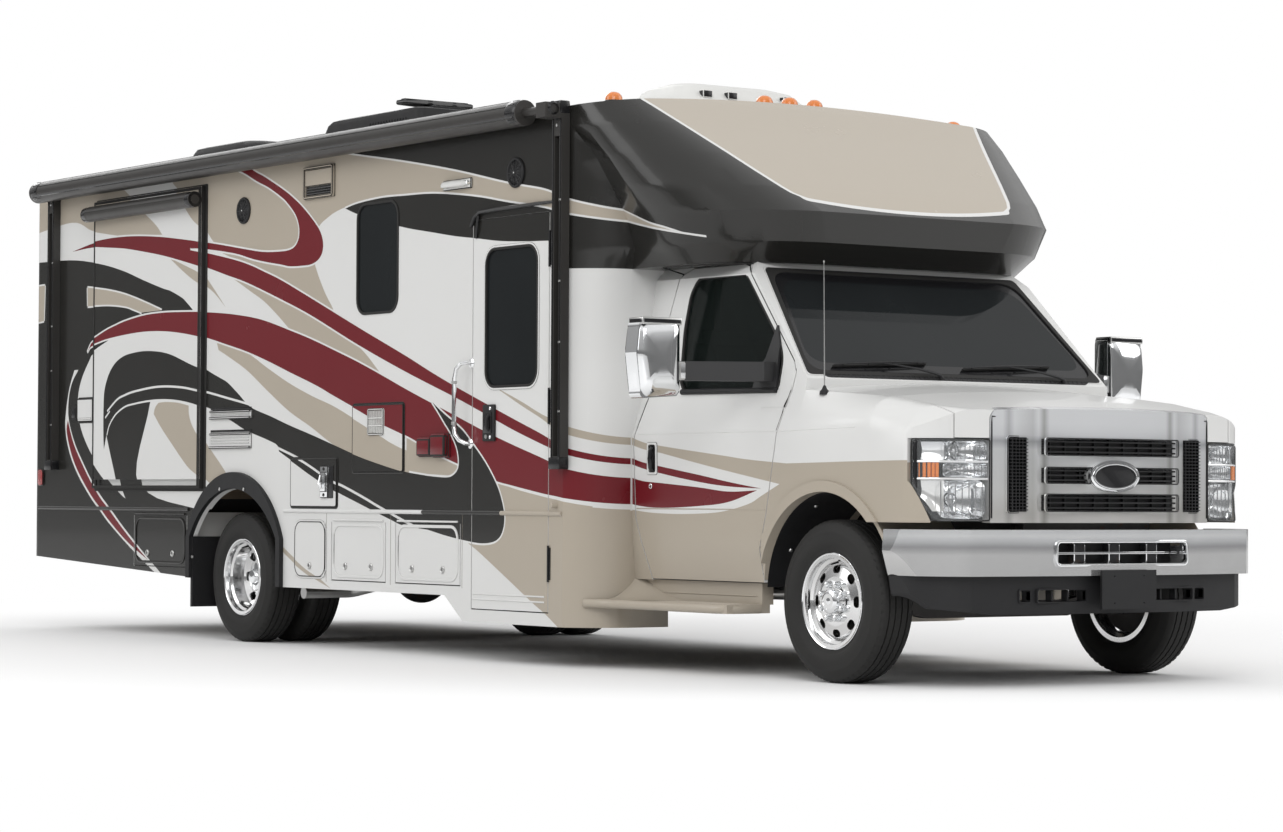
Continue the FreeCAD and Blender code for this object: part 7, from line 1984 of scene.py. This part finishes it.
class MOTORHOME_OT_roof(bpy.types.Operator):
    """Shapes the roof air conditioner, the roof box with its folded aerial and the skylight"""

    bl_idname = "motorhome.roof"
    bl_label = "Roof fittings"

    def place(self, node):
        """Spans across and along of a node, and its top."""
        low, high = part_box(node)
        return (low.x, high.x), extent(node)[:2], high.z

    def shroud(self, mould, x, y, levels, finish):
        """Moulded cover: rings (level, draw at the sides, front, back, corner) one above another."""
        mould.stacked([[(a, b, level) for a, b in rounded((x[0] + sides, y[0] + front),
                                                          (x[1] - sides, y[1] - back), corner, 6)]
                       for level, sides, front, back, corner in levels], finish)

    def air_conditioner(self):
        x, y, top = self.place("air_conditioner")
        roof, unit = ROOF_LEVEL, Mould()
        self.shroud(unit, x, y, (
            (roof - 0.03, 0.0, 0.0, 0.0, 0.10), (roof + 0.03, 0.0, 0.0, 0.0, 0.11),
            (roof + 0.12, 0.008, 0.03, 0.01, 0.12), (top - 0.11, 0.014, 0.07, 0.02, 0.12),
            (top - 0.045, 0.022, 0.12, 0.03, 0.12), (top - 0.014, 0.038, 0.17, 0.05, 0.12),
            (top - 0.002, 0.075, 0.24, 0.10, 0.11)), "black")
        for bar in range(16):
            across = -0.24 + 0.48 * bar / 15
            unit.cuboid((across - 0.006, across + 0.006), (y[1] - 0.006, y[1] + 0.001),
                        (roof + 0.05, top - 0.12), "gloss_black", 0.002)
        for side in (-1, 1):
            for bar in range(5):
                start = y[0] + 0.52 + 0.10 * bar
                unit.cuboid((side * (x[1] - 0.030), side * (x[1] - 0.010)), (start, start + 0.07),
                            (top - 0.105, top - 0.085), "gloss_black", 0.003)
            unit.tube([(side * (x[1] - 0.001), u, roof + 0.035) for u in (y[0] + 0.12, y[1] - 0.10)], 0.004,
                      "black", 8)
        for u in (y[0] + 0.62, y[1] - 0.20):
            for across in (-0.11, 0.11):
                unit.lathe([(-0.004, 0.012), (0.0, 0.010), (0.0005, TIP)], (across, u, top - 0.0006), "z",
                           "steel", 14)
        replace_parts(unit.done("air_conditioner_shroud", COACH, "grey_plastic", 35), "air_conditioner")

    def roof_box(self):
        x, y, top = self.place("roof_box")
        roof, cover, box = ROOF_LEVEL, top - 0.062, Mould()
        self.shroud(box, x, y, (
            (roof - 0.03, 0.0, 0.0, 0.0, 0.05), (roof + 0.02, 0.0, 0.0, 0.0, 0.05),
            (roof + 0.03, 0.012, 0.012, 0.012, 0.05), (cover - 0.030, 0.016, 0.03, 0.16, 0.05),
            (cover - 0.008, 0.024, 0.04, 0.20, 0.05), (cover, 0.045, 0.07, 0.24, 0.05)), "black")
        for rib in range(7):
            across = x[0] + 0.12 + (x[1] - x[0] - 0.24) * rib / 6
            box.tube([(across, y[0] + 0.14, cover), (across, y[1] - 0.30, cover)], 0.006, "black", 8)
        for slat in range(14):
            u = y[0] + 0.16 + 0.030 * slat
            for face in (x[0] + 0.016, x[1] - 0.016):
                box.cuboid((face - 0.006, face + 0.006), (u, u + 0.016), (roof + 0.055, cover - 0.055),
                           "black", 0.002)
        # folded aerial: foot, hinge and the flat head
        mast = Vector((x[0] + 0.25, y[0] + 0.24))

        def on_mast(half, reach, low, high, finish, bevel):
            box.cuboid((mast.x - half, mast.x + half), (mast.y - reach, mast.y + reach), (low, high),
                       finish, bevel)

        on_mast(0.11, 0.16, cover - 0.01, cover + 0.014, "black", 0.006)
        on_mast(0.035, 0.075, cover, top - 0.030, "black", 0.010)
        box.tube([(mast.x + a, mast.y + 0.03, top - 0.044) for a in (-0.050, 0.050)], 0.008, "steel", 12)
        blade = ((-0.23, -0.05), (-0.08, -0.085), (0.08, -0.085), (0.23, -0.05), (0.23, 0.05), (0.08, 0.085),
                 (-0.08, 0.085), (-0.23, 0.05))
        box.plate(softened([mast + Vector(corner) for corner in blade], 0.02, 4), "z", top - 0.034,
                  top - 0.012, "grey", bevel=0.008)
        on_mast(0.21, 0.020, top - 0.014, top - 0.002, "grey", 0.005)
        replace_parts(box.done("roof_box_and_aerial", COACH, "grey_plastic", 35), "roof_box")

    def skylight(self):
        x, y, top = self.place("skylight")
        roof, sky = ROOF_LEVEL, Mould()
        self.shroud(sky, x, y, (
            (roof - 0.02, 0.0, 0.0, 0.0, 0.06), (roof + 0.045, 0.0, 0.0, 0.0, 0.06),
            (roof + 0.055, 0.010, 0.010, 0.010, 0.06), (roof + 0.055, 0.030, 0.030, 0.030, 0.06),
            (top - 0.10, 0.050, 0.070, 0.070, 0.08), (top - 0.035, 0.095, 0.14, 0.14, 0.09),
            (top - 0.008, 0.16, 0.22, 0.22, 0.10), (top - 0.001, 0.24, 0.31, 0.31, 0.10)), "pale")
        for side in (-1, 1):
            for u in (y[0] + 0.20, y[0] + 0.42, y[1] - 0.14):
                sky.cuboid((side * (x[1] - 0.012), side * x[1]), (u, u + 0.055), (roof + 0.018, roof + 0.062),
                           "gloss_black", 0.004)
        for across in (-0.26, -0.10, 0.26):
            sky.cuboid((across - 0.030, across + 0.030), (y[0] + 0.066, y[0] + 0.105),
                       (top - 0.098, top - 0.058), "gloss_black", 0.004)
        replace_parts(sky.done("skylight_dome", COACH, "white_plastic", 35), "skylight")

    def execute(self, context):
        self.air_conditioner()
        self.roof_box()
        self.skylight()
        return {"FINISHED"}


# Roof marker's lens: (height over its foot, radius), and where the markers stand.
MARKER_LENS = ((0.006, 0.0445), (0.022, 0.043), (0.036, 0.037), (0.047, 0.026), (0.0525, 0.012),
               (0.0535, TIP))
MARKERS, MARKER_STATION = (-1.09, -0.16, 0.0, 0.16, 1.09), 1.600
# Where the rear clearance lamps stand.
CLEARANCE_LAMPS = (-0.90, -0.16, 0.0, 0.16, 0.90)
# Tail lamp lenses: foot, head, finish; and how far from the middle they stand.
TAIL_LAMPS = ((0.912, 1.095, "lamp_red"), (1.101, 1.190, "amber"), (1.196, 1.318, "clear_lamp"))
TAIL_ACROSS = 1.06


class MOTORHOME_OT_lamps(bpy.types.Operator):
    """Makes the amber roof markers, tail lamps, clearance lamps and side markers"""

    bl_idname = "motorhome.lamps"
    bl_label = "Outer lamps"

    def execute(self, context):
        mould = Mould()
        for across in MARKERS:
            foot = cast("overcab_cap roof", (across, MARKER_STATION, 4), (0, 0, -1))[0].z
            spot = (across, MARKER_STATION, foot)
            mould.lathe([(-0.012, 0.050), (0.006, 0.050), (0.010, 0.046)], spot, "z", "gloss_black", 32)
            mould.lathe(MARKER_LENS, spot, "z", "amber", 32,
                        ripple=lambda step, row: 0.0012 if step % 2 and 0 < row < 4 else 0.0)
        rear = extent("rear_wall")[1]
        for side in (-1, 1):
            across, wall = side * TAIL_ACROSS, side * WALL_X
            for foot, head, finish in TAIL_LAMPS:
                mould.plate(rounded((across - 0.055, foot), (across + 0.055, head), 0.020), "y", rear,
                            rear + 0.0095, finish, bevel=0.004)
            low, high = (across - 0.056, 0.909), (across + 0.056, 1.321)
            mould.plate(grown(low, high, 0.010, 0.030), "y", rear - 0.002, rear + 0.006, "chrome",
                        rounded(low, high, 0.022), 0.003)
            low, high = (7.682, 0.902), (7.748, 0.998)
            mould.plate(grown(low, high, 0.006, 0.012), "x", wall, wall + side * 0.006, "gloss_black",
                        bevel=0.002)
            mould.plate(rounded(low, high, 0.010), "x", wall + side * 0.003, wall + side * 0.0125, "lamp_red",
                        bevel=0.004)
        for across in CLEARANCE_LAMPS:
            mould.plate(rounded((across - 0.052, 2.637), (across + 0.052, 2.673), 0.010), "y", rear - 0.001,
                        rear + 0.004, "gloss_black", bevel=0.001)
            mould.plate(rounded((across - 0.046, 2.642), (across + 0.046, 2.668), 0.008), "y", rear + 0.002,
                        rear + 0.0095, "lamp_red", bevel=0.003)
        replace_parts(mould.done("lamp_lenses", COACH, "lens"), "outer_lamps")
        return {"FINISHED"}


# Middles of the front well and the rear flare, the flare's screw circle, and the section of the
# well's liner: (across, radius).
WELL, FLARE, FLARE_CIRCLE = (0.030, 0.400), (5.120, 0.372), 0.525
LINER = ((0.600, 0.462), (0.700, 0.4655), (0.962, 0.4665), (0.962, 0.4690), (0.700, 0.4685), (0.600, 0.4660))


def on_circle(centre, radius, turn):
    """Station and level on a circle, by its turn in radians."""
    return centre[0] + radius * math.cos(turn), centre[1] + radius * math.sin(turn)


class MOTORHOME_OT_wheel_wells(bpy.types.Operator):
    """Lines the front wheel wells and adds the screws and lips of the rear flares"""

    bl_idname = "motorhome.wheel_wells"
    bl_label = "Wheel wells"

    def execute(self, context):
        mould, steps = Mould(), 48
        for side in (-1, 1):
            rows = []
            for step in range(steps + 1):
                turn = math.radians(3 + 162 * step / steps)
                for across, radius in LINER:
                    pinch = 0.0015 if step % 4 == 0 and across == 0.700 else 0.0
                    rows.append((side * across, *on_circle(WELL, radius - pinch, turn)))
            size = len(LINER)
            ends = [tuple(range(first, first + size)) for first in (0, steps * size)]
            mould.add(rows, band(steps + 1, size) + ends, "black")
            for degrees in (25, 60, 92, 124, 152):
                turn = math.radians(degrees)
                spot = Vector((side * 0.86, *on_circle(WELL, 0.4645, turn)))
                out = Vector((0, math.cos(turn), math.sin(turn)))
                mould.tube([spot + out * 0.002, spot - out * 0.004], [0.011, 0.007], "steel", 10)
        mould.done("front_well_liners", COACH, "black_plastic", 40)
        flare = Mould()
        for side in (-1, 1):
            for degrees in (12, 42, 74, 106, 138, 168):
                spot = on_circle(FLARE, FLARE_CIRCLE, math.radians(degrees))
                found = cast("wheel_flares", (side * 2.0, *spot), (-side, 0, 0), False)
                if found:
                    flare.lathe([(-0.004, 0.0100), (0.0030, 0.0095), (0.0050, 0.0060), (0.0052, TIP)],
                                found[0], "x", "steel", 16, (side, 1))
        flare.done("flare_screws", COACH, "bright_steel", 40)
        return {"FINISHED"}


class MOTORHOME_OT_running_boards(bpy.types.Operator):
    """Rounds the running boards' lips and sweeps them up into the corner panels"""

    bl_idname = "motorhome.running_boards"
    bl_label = "Running boards"

    def execute(self, context):
        mould = Mould()
        top, foot, edge, sill, rear = 0.340, 0.300, 1.150, 0.946, 1.556
        for side in (-1, 1):
            lip = ((edge + 0.070, rear + 0.085), (edge + 0.046, rear + 0.045), (edge + 0.020, rear + 0.010),
                   (edge + 0.006, rear - 0.060), (edge, rear - 0.160), (edge, 1.100), (edge, 0.660),
                   (edge - 0.012, 0.600), (edge - 0.045, 0.575), (1.020, 0.572), (0.955, 0.572))
            mould.tube([(side * a, b, (top + foot) / 2 + 0.001) for a, b in lip], 0.0225, "beige", 14)
            # coving that fills the corner between board, sill and panel
            height, spokes, rings, rows = 0.150, 14, 10, []
            for share in [spoke / spokes for spoke in range(spokes + 1)]:
                across = (edge + 0.010 - sill) * (1 - share ** 1.6)
                along = -0.44 * share ** 1.25
                for out in [ring / rings for ring in range(rings + 1)]:
                    rows.append((side * (sill + across * out), rear + along * out,
                                 top + 0.001 + height * (1 - out) ** 2.1 * (1 - 0.15 * share)))
            mould.add(rows, net(spokes + 1, rings + 1), "beige")
            for level in (0.380, 0.450):
                mould.tube([(side * 0.9462, 0.600, level), (side * 0.9462, 1.500, level)], 0.0035, "beige", 8)
            for bar in range(7):
                across = side * (0.975 + 0.024 * bar)
                mould.tube([(across, 0.640, top + 0.0005), (across, 1.200, top + 0.0005)], 0.0028, "beige", 6)
        mould.done("running_board_mouldings", COACH, "white_body", 40)
        return {"FINISHED"}


# Windows of the left side and the rear: lowest and highest corner.
LEFT_WINDOW, REAR_WINDOW = ((5.950, 1.500), (6.950, 2.150)), ((-0.450, 1.500), (0.450, 2.050))


class MOTORHOME_OT_windows(bpy.types.Operator):
    """Frames the coach's side and rear windows and adds their bars"""

    bl_idname = "motorhome.windows"
    bl_label = "Coach windows"

    def execute(self, context):
        mould, rear = Mould(), extent("rear_wall")[1]
        for (low, high), axis, wall in ((LEFT_WINDOW, "x", WALL_X), (REAR_WINDOW, "y", rear)):
            mould.plate(grown(low, high, 0.014, 0.086, 8), axis, wall - 0.004, wall + 0.006, "seal",
                        grown(low, high, -0.004, 0.070, 8), 0.002)
            if axis == "x":
                bar = (low[0] + high[0]) / 2
                mould.cuboid((wall + 0.002, wall + 0.0065), (bar - 0.012, bar + 0.012),
                             (low[1] + 0.004, high[1] - 0.004), "seal", 0.002)
            else:
                mould.cuboid((low[0] + 0.01, high[0] - 0.01), (wall + 0.002, wall + 0.0065), (1.715, 1.735),
                             "seal", 0.002)
        mould.done("window_frames", COACH, "black_plastic")
        return {"FINISHED"}


class MOTORHOME_OT_rear(bpy.types.Operator):
    """Adds the rear bumper's step ribs and the exhaust's tip and hanger"""

    bl_idname = "motorhome.rear"
    bl_label = "Rear and exhaust"

    def execute(self, context):
        back, level, mould = extent("rear_bumper")[1], extent("rear_bumper")[3] + 0.0006, Mould()
        for row in range(5):
            u = back - 0.050 - 0.018 * row
            mould.tube([(-0.95, u, level), (0.95, u, level)], 0.0022, "black", 6)
        mould.done("rear_bumper_trim", COACH, "black_plastic")
        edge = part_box("exhaust")[0].x + 0.004
        tail = [vertex.co for vertex in NODES["exhaust"].data.vertices if vertex.co.x < edge]
        centre = sum(tail, Vector()) / len(tail) - Vector((0, AXLE_Y, 0))
        pipe = Mould()
        pipe.lathe([(0.16, 0.0330), (0.010, 0.0335), (0.0005, 0.0345), (0.000, 0.0325), (0.008, 0.0300),
                    (0.09, 0.0295), (0.091, TIP)], centre, "x", "steel", 36)
        hanger = ((0.13, 0, 0.030), (0.14, 0, 0.075), (0.16, 0.03, 0.105))
        pipe.tube([centre + Vector(spot) for spot in hanger], 0.007, "iron", 8)
        pipe.done("exhaust_tip", COACH, "axle_iron", 40)
        return {"FINISHED"}


SEAT_ACROSS, DASH_VENTS = 0.455, (-0.74, -0.20, 0.08, 0.72)
WHEEL_MIDDLE, WHEEL_AXIS = Vector((0.400, 0.828, 1.157)), Vector((0, 0.80, 0.35))


class MOTORHOME_OT_cockpit(bpy.types.Operator):
    """Builds the steering wheel's trim, the dashboard's vents and the padded cab seats"""

    bl_idname = "motorhome.cockpit"
    bl_label = "Cockpit"

    def cushion(self, name, centre, size, channels, lean):
        """Crowned pad whose sides pull in between its corners, with sewn channels."""
        count, half, spin = 34, Vector(size) / 2, Matrix.Rotation(lean, 3, "X")
        build, grid = bmesh.new(), {}
        for face in (1, -1):
            for i in range(count + 1):
                for j in range(count + 1):
                    u, v = 2 * i / count - 1, 2 * j / count - 1
                    edge = i in (0, count) or j in (0, count)
                    if face < 0 and edge:
                        grid[face, i, j] = grid[1, i, j]
                        continue
                    plump = ((1 - abs(u) ** 3.2) * (1 - abs(v) ** 3.2)) ** 0.5
                    level = 0.0 if edge else face * half.z * (0.16 + 0.84 * plump)
                    if face > 0 and not edge:
                        for mark in channels:
                            level -= half.z * 0.34 * math.exp(-((u - mark) / 0.035) ** 2)
                    pull_u, pull_v = 1 - 0.045 * (1 - v * v), 1 - 0.045 * (1 - u * u)
                    spot = spin @ Vector((u * half.x * pull_u, v * half.y * pull_v, level))
                    grid[face, i, j] = build.verts.new(Vector(centre) + spot + Vector((0, AXLE_Y, 0)))
        for face in (-1, 1):
            for i in range(count):
                for j in range(count):
                    ring = [grid[face, i, j], grid[face, i + 1, j], grid[face, i + 1, j + 1],
                            grid[face, i, j + 1]]
                    build.faces.new(ring if face > 0 else ring[::-1])
        bmesh.ops.recalc_face_normals(build, faces=build.faces)
        mesh = bpy.data.meshes.new(name)
        build.to_mesh(mesh)
        build.free()
        for polygon in mesh.polygons:
            polygon.use_smooth = True
        made = bpy.data.objects.new(name, mesh)
        bpy.context.scene.collection.objects.link(made)
        mesh.materials.append(FINISHES["seat"])
        modifier = made.modifiers.new("smooth", "SUBSURF")
        modifier.levels = modifier.render_levels = 1
        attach(made, COACH)
        return made

    def seats(self):
        floor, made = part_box("cab_seats")[0].z, []
        for side, word in ((-1, "right"), (1, "left")):
            x = side * SEAT_ACROSS
            for name, spot, size, channels, lean in (
                ("seat_cushion", (x, 1.205, floor + 0.235), (0.475, 0.455, 0.135), (-0.5, 0.5), 0.08),
                ("seat_back", (x, 1.420, floor + 0.610), (0.455, 0.640, 0.125), (-0.52, 0.52),
                 math.radians(76)),
                ("head_rest", (x, 1.530, 1.600), (0.270, 0.165, 0.085), (), math.radians(80)),
            ):
                made.append(self.cushion(f"{word}_{name}", spot, size, channels, lean))
        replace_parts(made[0], "cab_seats")
        mould = Mould()
        for x in (-SEAT_ACROSS, SEAT_ACROSS):
            mould.block((x - 0.20, 1.00, floor + 0.002), (x + 0.20, 1.42, floor + 0.175), "black", 0.020)
            for step in (-0.045, 0.045):
                mould.tube([(x + step, 1.490, 1.470), (x + step, 1.525, 1.575)], 0.006, "steel", 10)
            mould.tube([(x - 0.235, 1.15, floor + 0.16), (x - 0.235, 1.33, floor + 0.16)], 0.018, "black", 10)
        mould.done("seat_bases", COACH, "black_plastic")

    def steering_wheel(self):
        wheel, centre, lean, right = Mould(), WHEEL_MIDDLE, WHEEL_AXIS.normalized(), Vector((1, 0, 0))
        up = right.cross(lean).normalized()

        def on_rim(turn, radius):
            return centre + radius * (math.cos(turn) * right + math.sin(turn) * up)

        wheel.tube([on_rim(math.tau * i / 48, 0.176) for i in range(48)], 0.0125, "black", 12, loop=True)
        for degrees in (200, 340, 90, 270):
            tip = on_rim(math.radians(degrees), 0.170)
            wheel.tube([centre - lean * 0.012, (centre + tip) / 2 - lean * 0.010, tip], [0.022, 0.013, 0.011],
                       "black", 10, 1.6)
        wheel.tube([centre - lean * 0.055, centre - lean * 0.01, centre + lean * 0.012],
                   [0.036, 0.062, 0.052], "black", 24)
        wheel.done("steering_wheel_trim", COACH, "black_plastic", 50)

    def execute(self, context):
        self.seats()
        self.steering_wheel()
        dash = Mould()
        for across in DASH_VENTS:
            found = cast("dashboard", (across, 2.0, 1.02), (0, -1, 0), False)
            if found:
                station = found[0].y
                dash.plate(rounded((across - 0.075, 0.99), (across + 0.075, 1.05), 0.014), "y",
                           station - 0.004, station + 0.003, "gloss_black", bevel=0.001)
        dash.done("dashboard_vents", COACH, "black_plastic")
        return {"FINISHED"}


# Lamps of the studio: place, aim, size, share of the key lamp's power.
STUDIO_LAMPS = (
    ("key_lamp", (-9, -13, 9), (0, -1, 1), 9, 1.0),
    ("side_lamp", (-12, 4, 7), (0, 0.5, 1.2), 8, 0.45),
    ("fill_lamp", (10, -8, 7), (0, 0, 1), 8, 0.45),
    ("back_lamp", (3, 13, 8), (0, 1, 1), 8, 0.5),
)
# The camera's turn, tilt and roll in degrees, its place, and its lens in millimetres.
CAMERA_ANGLES, CAMERA_PLACE, CAMERA_LENS = (-34.989, 1.393, 0.286), (-10.53, AXLE_Y - 12.14, 0.835), 95.18


class MOTORHOME_OT_stage(bpy.types.Operator):
    """Sets up the pale floor, the soft lamps, the backdrop and the camera"""

    bl_idname = "motorhome.stage"
    bl_label = "Studio"

    def execute(self, context):
        levels = settings("light_levels")
        scene = context.scene
        scene.view_settings.view_transform = "Standard"
        world = bpy.data.worlds.new("studio_world")
        scene.world = world
        w = Finish(world)
        path = w.node("ShaderNodeLightPath", {}, {})
        seen = [Value(w, path.socket.node.outputs[kind]) for kind in ("Is Camera Ray", "Is Transmission Ray")]
        shown = seen[0].maths("MAXIMUM", *seen)
        sky = w.node("ShaderNodeSeparateXYZ", {}, {0: w.node("ShaderNodeTexCoord", {}, {}, "Generated")}, 2)
        rise = w.node("ShaderNodeMapRange", {"interpolation_type": "SMOOTHSTEP"},
                      {"Value": sky, "From Min": -0.02, "From Max": 0.55, "To Min": 0.28, "To Max": 1.5})
        strength = shown * levels.backdrop + (1 - shown) * (levels.sky * rise)
        background = w.tree.nodes["Background"]
        w.feed(background.inputs["Color"], (1, 1, 1, 1))
        w.feed(background.inputs["Strength"], strength)
        self.floor(levels)
        for name, spot, aim, size, share in STUDIO_LAMPS:
            lamp = bpy.data.lights.new(name, "AREA")
            lamp.size, lamp.energy = size, levels.key * share
            holder = bpy.data.objects.new(name, lamp)
            scene.collection.objects.link(holder)
            holder.location = spot
            holder.rotation_euler = (Vector(aim) - Vector(spot)).to_track_quat("-Z", "Y").to_euler()
        self.camera(scene)
        return {"FINISHED"}

    def floor(self, levels):
        """Round pale floor that fades into the backdrop but keeps the shadow."""
        bm = bmesh.new()
        bmesh.ops.create_circle(bm, cap_ends=True, segments=96, radius=60)
        mesh = bpy.data.meshes.new("floor")
        bm.to_mesh(mesh)
        bm.free()
        floor = bpy.data.objects.new("floor", mesh)
        bpy.context.scene.collection.objects.link(floor)
        f = new_finish("floor_card")
        away = f.node("ShaderNodeMapRange", {"interpolation_type": "SMOOTHSTEP"},
                      {"Value": f.node("ShaderNodeVectorMath", {"operation": "LENGTH"}, {0: f.place()}, 1),
                       "From Min": 4.2, "From Max": 9.0})
        path = f.node("ShaderNodeLightPath", {}, {})
        seen = Value(f, path.socket.node.outputs["Is Camera Ray"])
        f.shader(Base_Color=(0.86, 0.86, 0.86, 1), Roughness=0.9, Specular_IOR_Level=0.0)
        plain = f.tree.nodes["Principled BSDF"].outputs[0]
        glow = f.node("ShaderNodeEmission", {}, {"Color": (1, 1, 1, 1), "Strength": levels.backdrop})
        blend = f.node("ShaderNodeMixShader", {}, {0: away * seen, 1: Value(f, plain), 2: glow})
        f.tree.links.new(blend.socket, f.tree.nodes["Material Output"].inputs["Surface"])
        mesh.materials.append(f.owner)

    def camera(self, scene):
        """Long lens at the eye level of someone standing off the front corner."""
        yaw, pitch, roll = (math.radians(angle) for angle in CAMERA_ANGLES)
        ahead = Vector((-math.sin(yaw) * math.cos(pitch), math.cos(yaw) * math.cos(pitch), math.sin(pitch)))
        right = Vector((math.cos(yaw), math.sin(yaw), 0))
        above = right.cross(ahead)
        x = right * math.cos(roll) + above * math.sin(roll)
        y = above * math.cos(roll) - right * math.sin(roll)
        data = bpy.data.cameras.new("camera")
        data.lens, data.sensor_width, data.clip_end = CAMERA_LENS, 36, 200
        camera = bpy.data.objects.new("camera", data)
        scene.collection.objects.link(camera)
        turn = Matrix((x, y, -ahead)).transposed().to_4x4()
        camera.matrix_world = Matrix.Translation(CAMERA_PLACE) @ turn
        scene.camera = camera


OPERATORS = (
    MOTORHOME_OT_finishes, MOTORHOME_OT_graphics, MOTORHOME_OT_tyres, MOTORHOME_OT_wheel_trim,
    MOTORHOME_OT_grille, MOTORHOME_OT_headlamps, MOTORHOME_OT_bumper, MOTORHOME_OT_windshield,
    MOTORHOME_OT_cab_sides, MOTORHOME_OT_wall_fittings, MOTORHOME_OT_hatches, MOTORHOME_OT_entry,
    MOTORHOME_OT_slide_rooms, MOTORHOME_OT_awning, MOTORHOME_OT_roof, MOTORHOME_OT_lamps,
    MOTORHOME_OT_wheel_wells, MOTORHOME_OT_running_boards, MOTORHOME_OT_windows, MOTORHOME_OT_rear,
    MOTORHOME_OT_cockpit, MOTORHOME_OT_stage,
)
GROUPS = {"paint_colours": PaintColours, "tyre_sizes": TyreSizes, "light_levels": LightLevels}


class MOTORHOME_PT_parts(bpy.types.Panel):
    """Lists the steps that dress the motorhome"""

    bl_idname = "MOTORHOME_PT_parts"
    bl_label = "Motorhome"
    bl_space_type = "VIEW_3D"
    bl_region_type = "UI"
    bl_category = "Motorhome"

    def draw(self, context):
        for operator in OPERATORS:
            self.layout.operator(operator.bl_idname)
        for name in GROUPS:
            group = getattr(context.scene, name)
            for key in group.bl_rna.properties.keys():
                if key not in ("rna_type", "name"):
                    self.layout.prop(group, key)


def register():
    for group in GROUPS.values():
        bpy.utils.register_class(group)
    for name, group in GROUPS.items():
        setattr(bpy.types.Scene, name, PointerProperty(type=group))
    for operator in OPERATORS:
        bpy.utils.register_class(operator)
    bpy.utils.register_class(MOTORHOME_PT_parts)


def unregister():
    bpy.utils.unregister_class(MOTORHOME_PT_parts)
    for operator in reversed(OPERATORS):
        bpy.utils.unregister_class(operator)
    for name, group in GROUPS.items():
        delattr(bpy.types.Scene, name)
        bpy.utils.unregister_class(group)


def main():
    register()
    for operator in OPERATORS:
        group, name = operator.bl_idname.split(".")
        getattr(getattr(bpy.ops, group), name)()


if __name__ == "__main__":
    main()
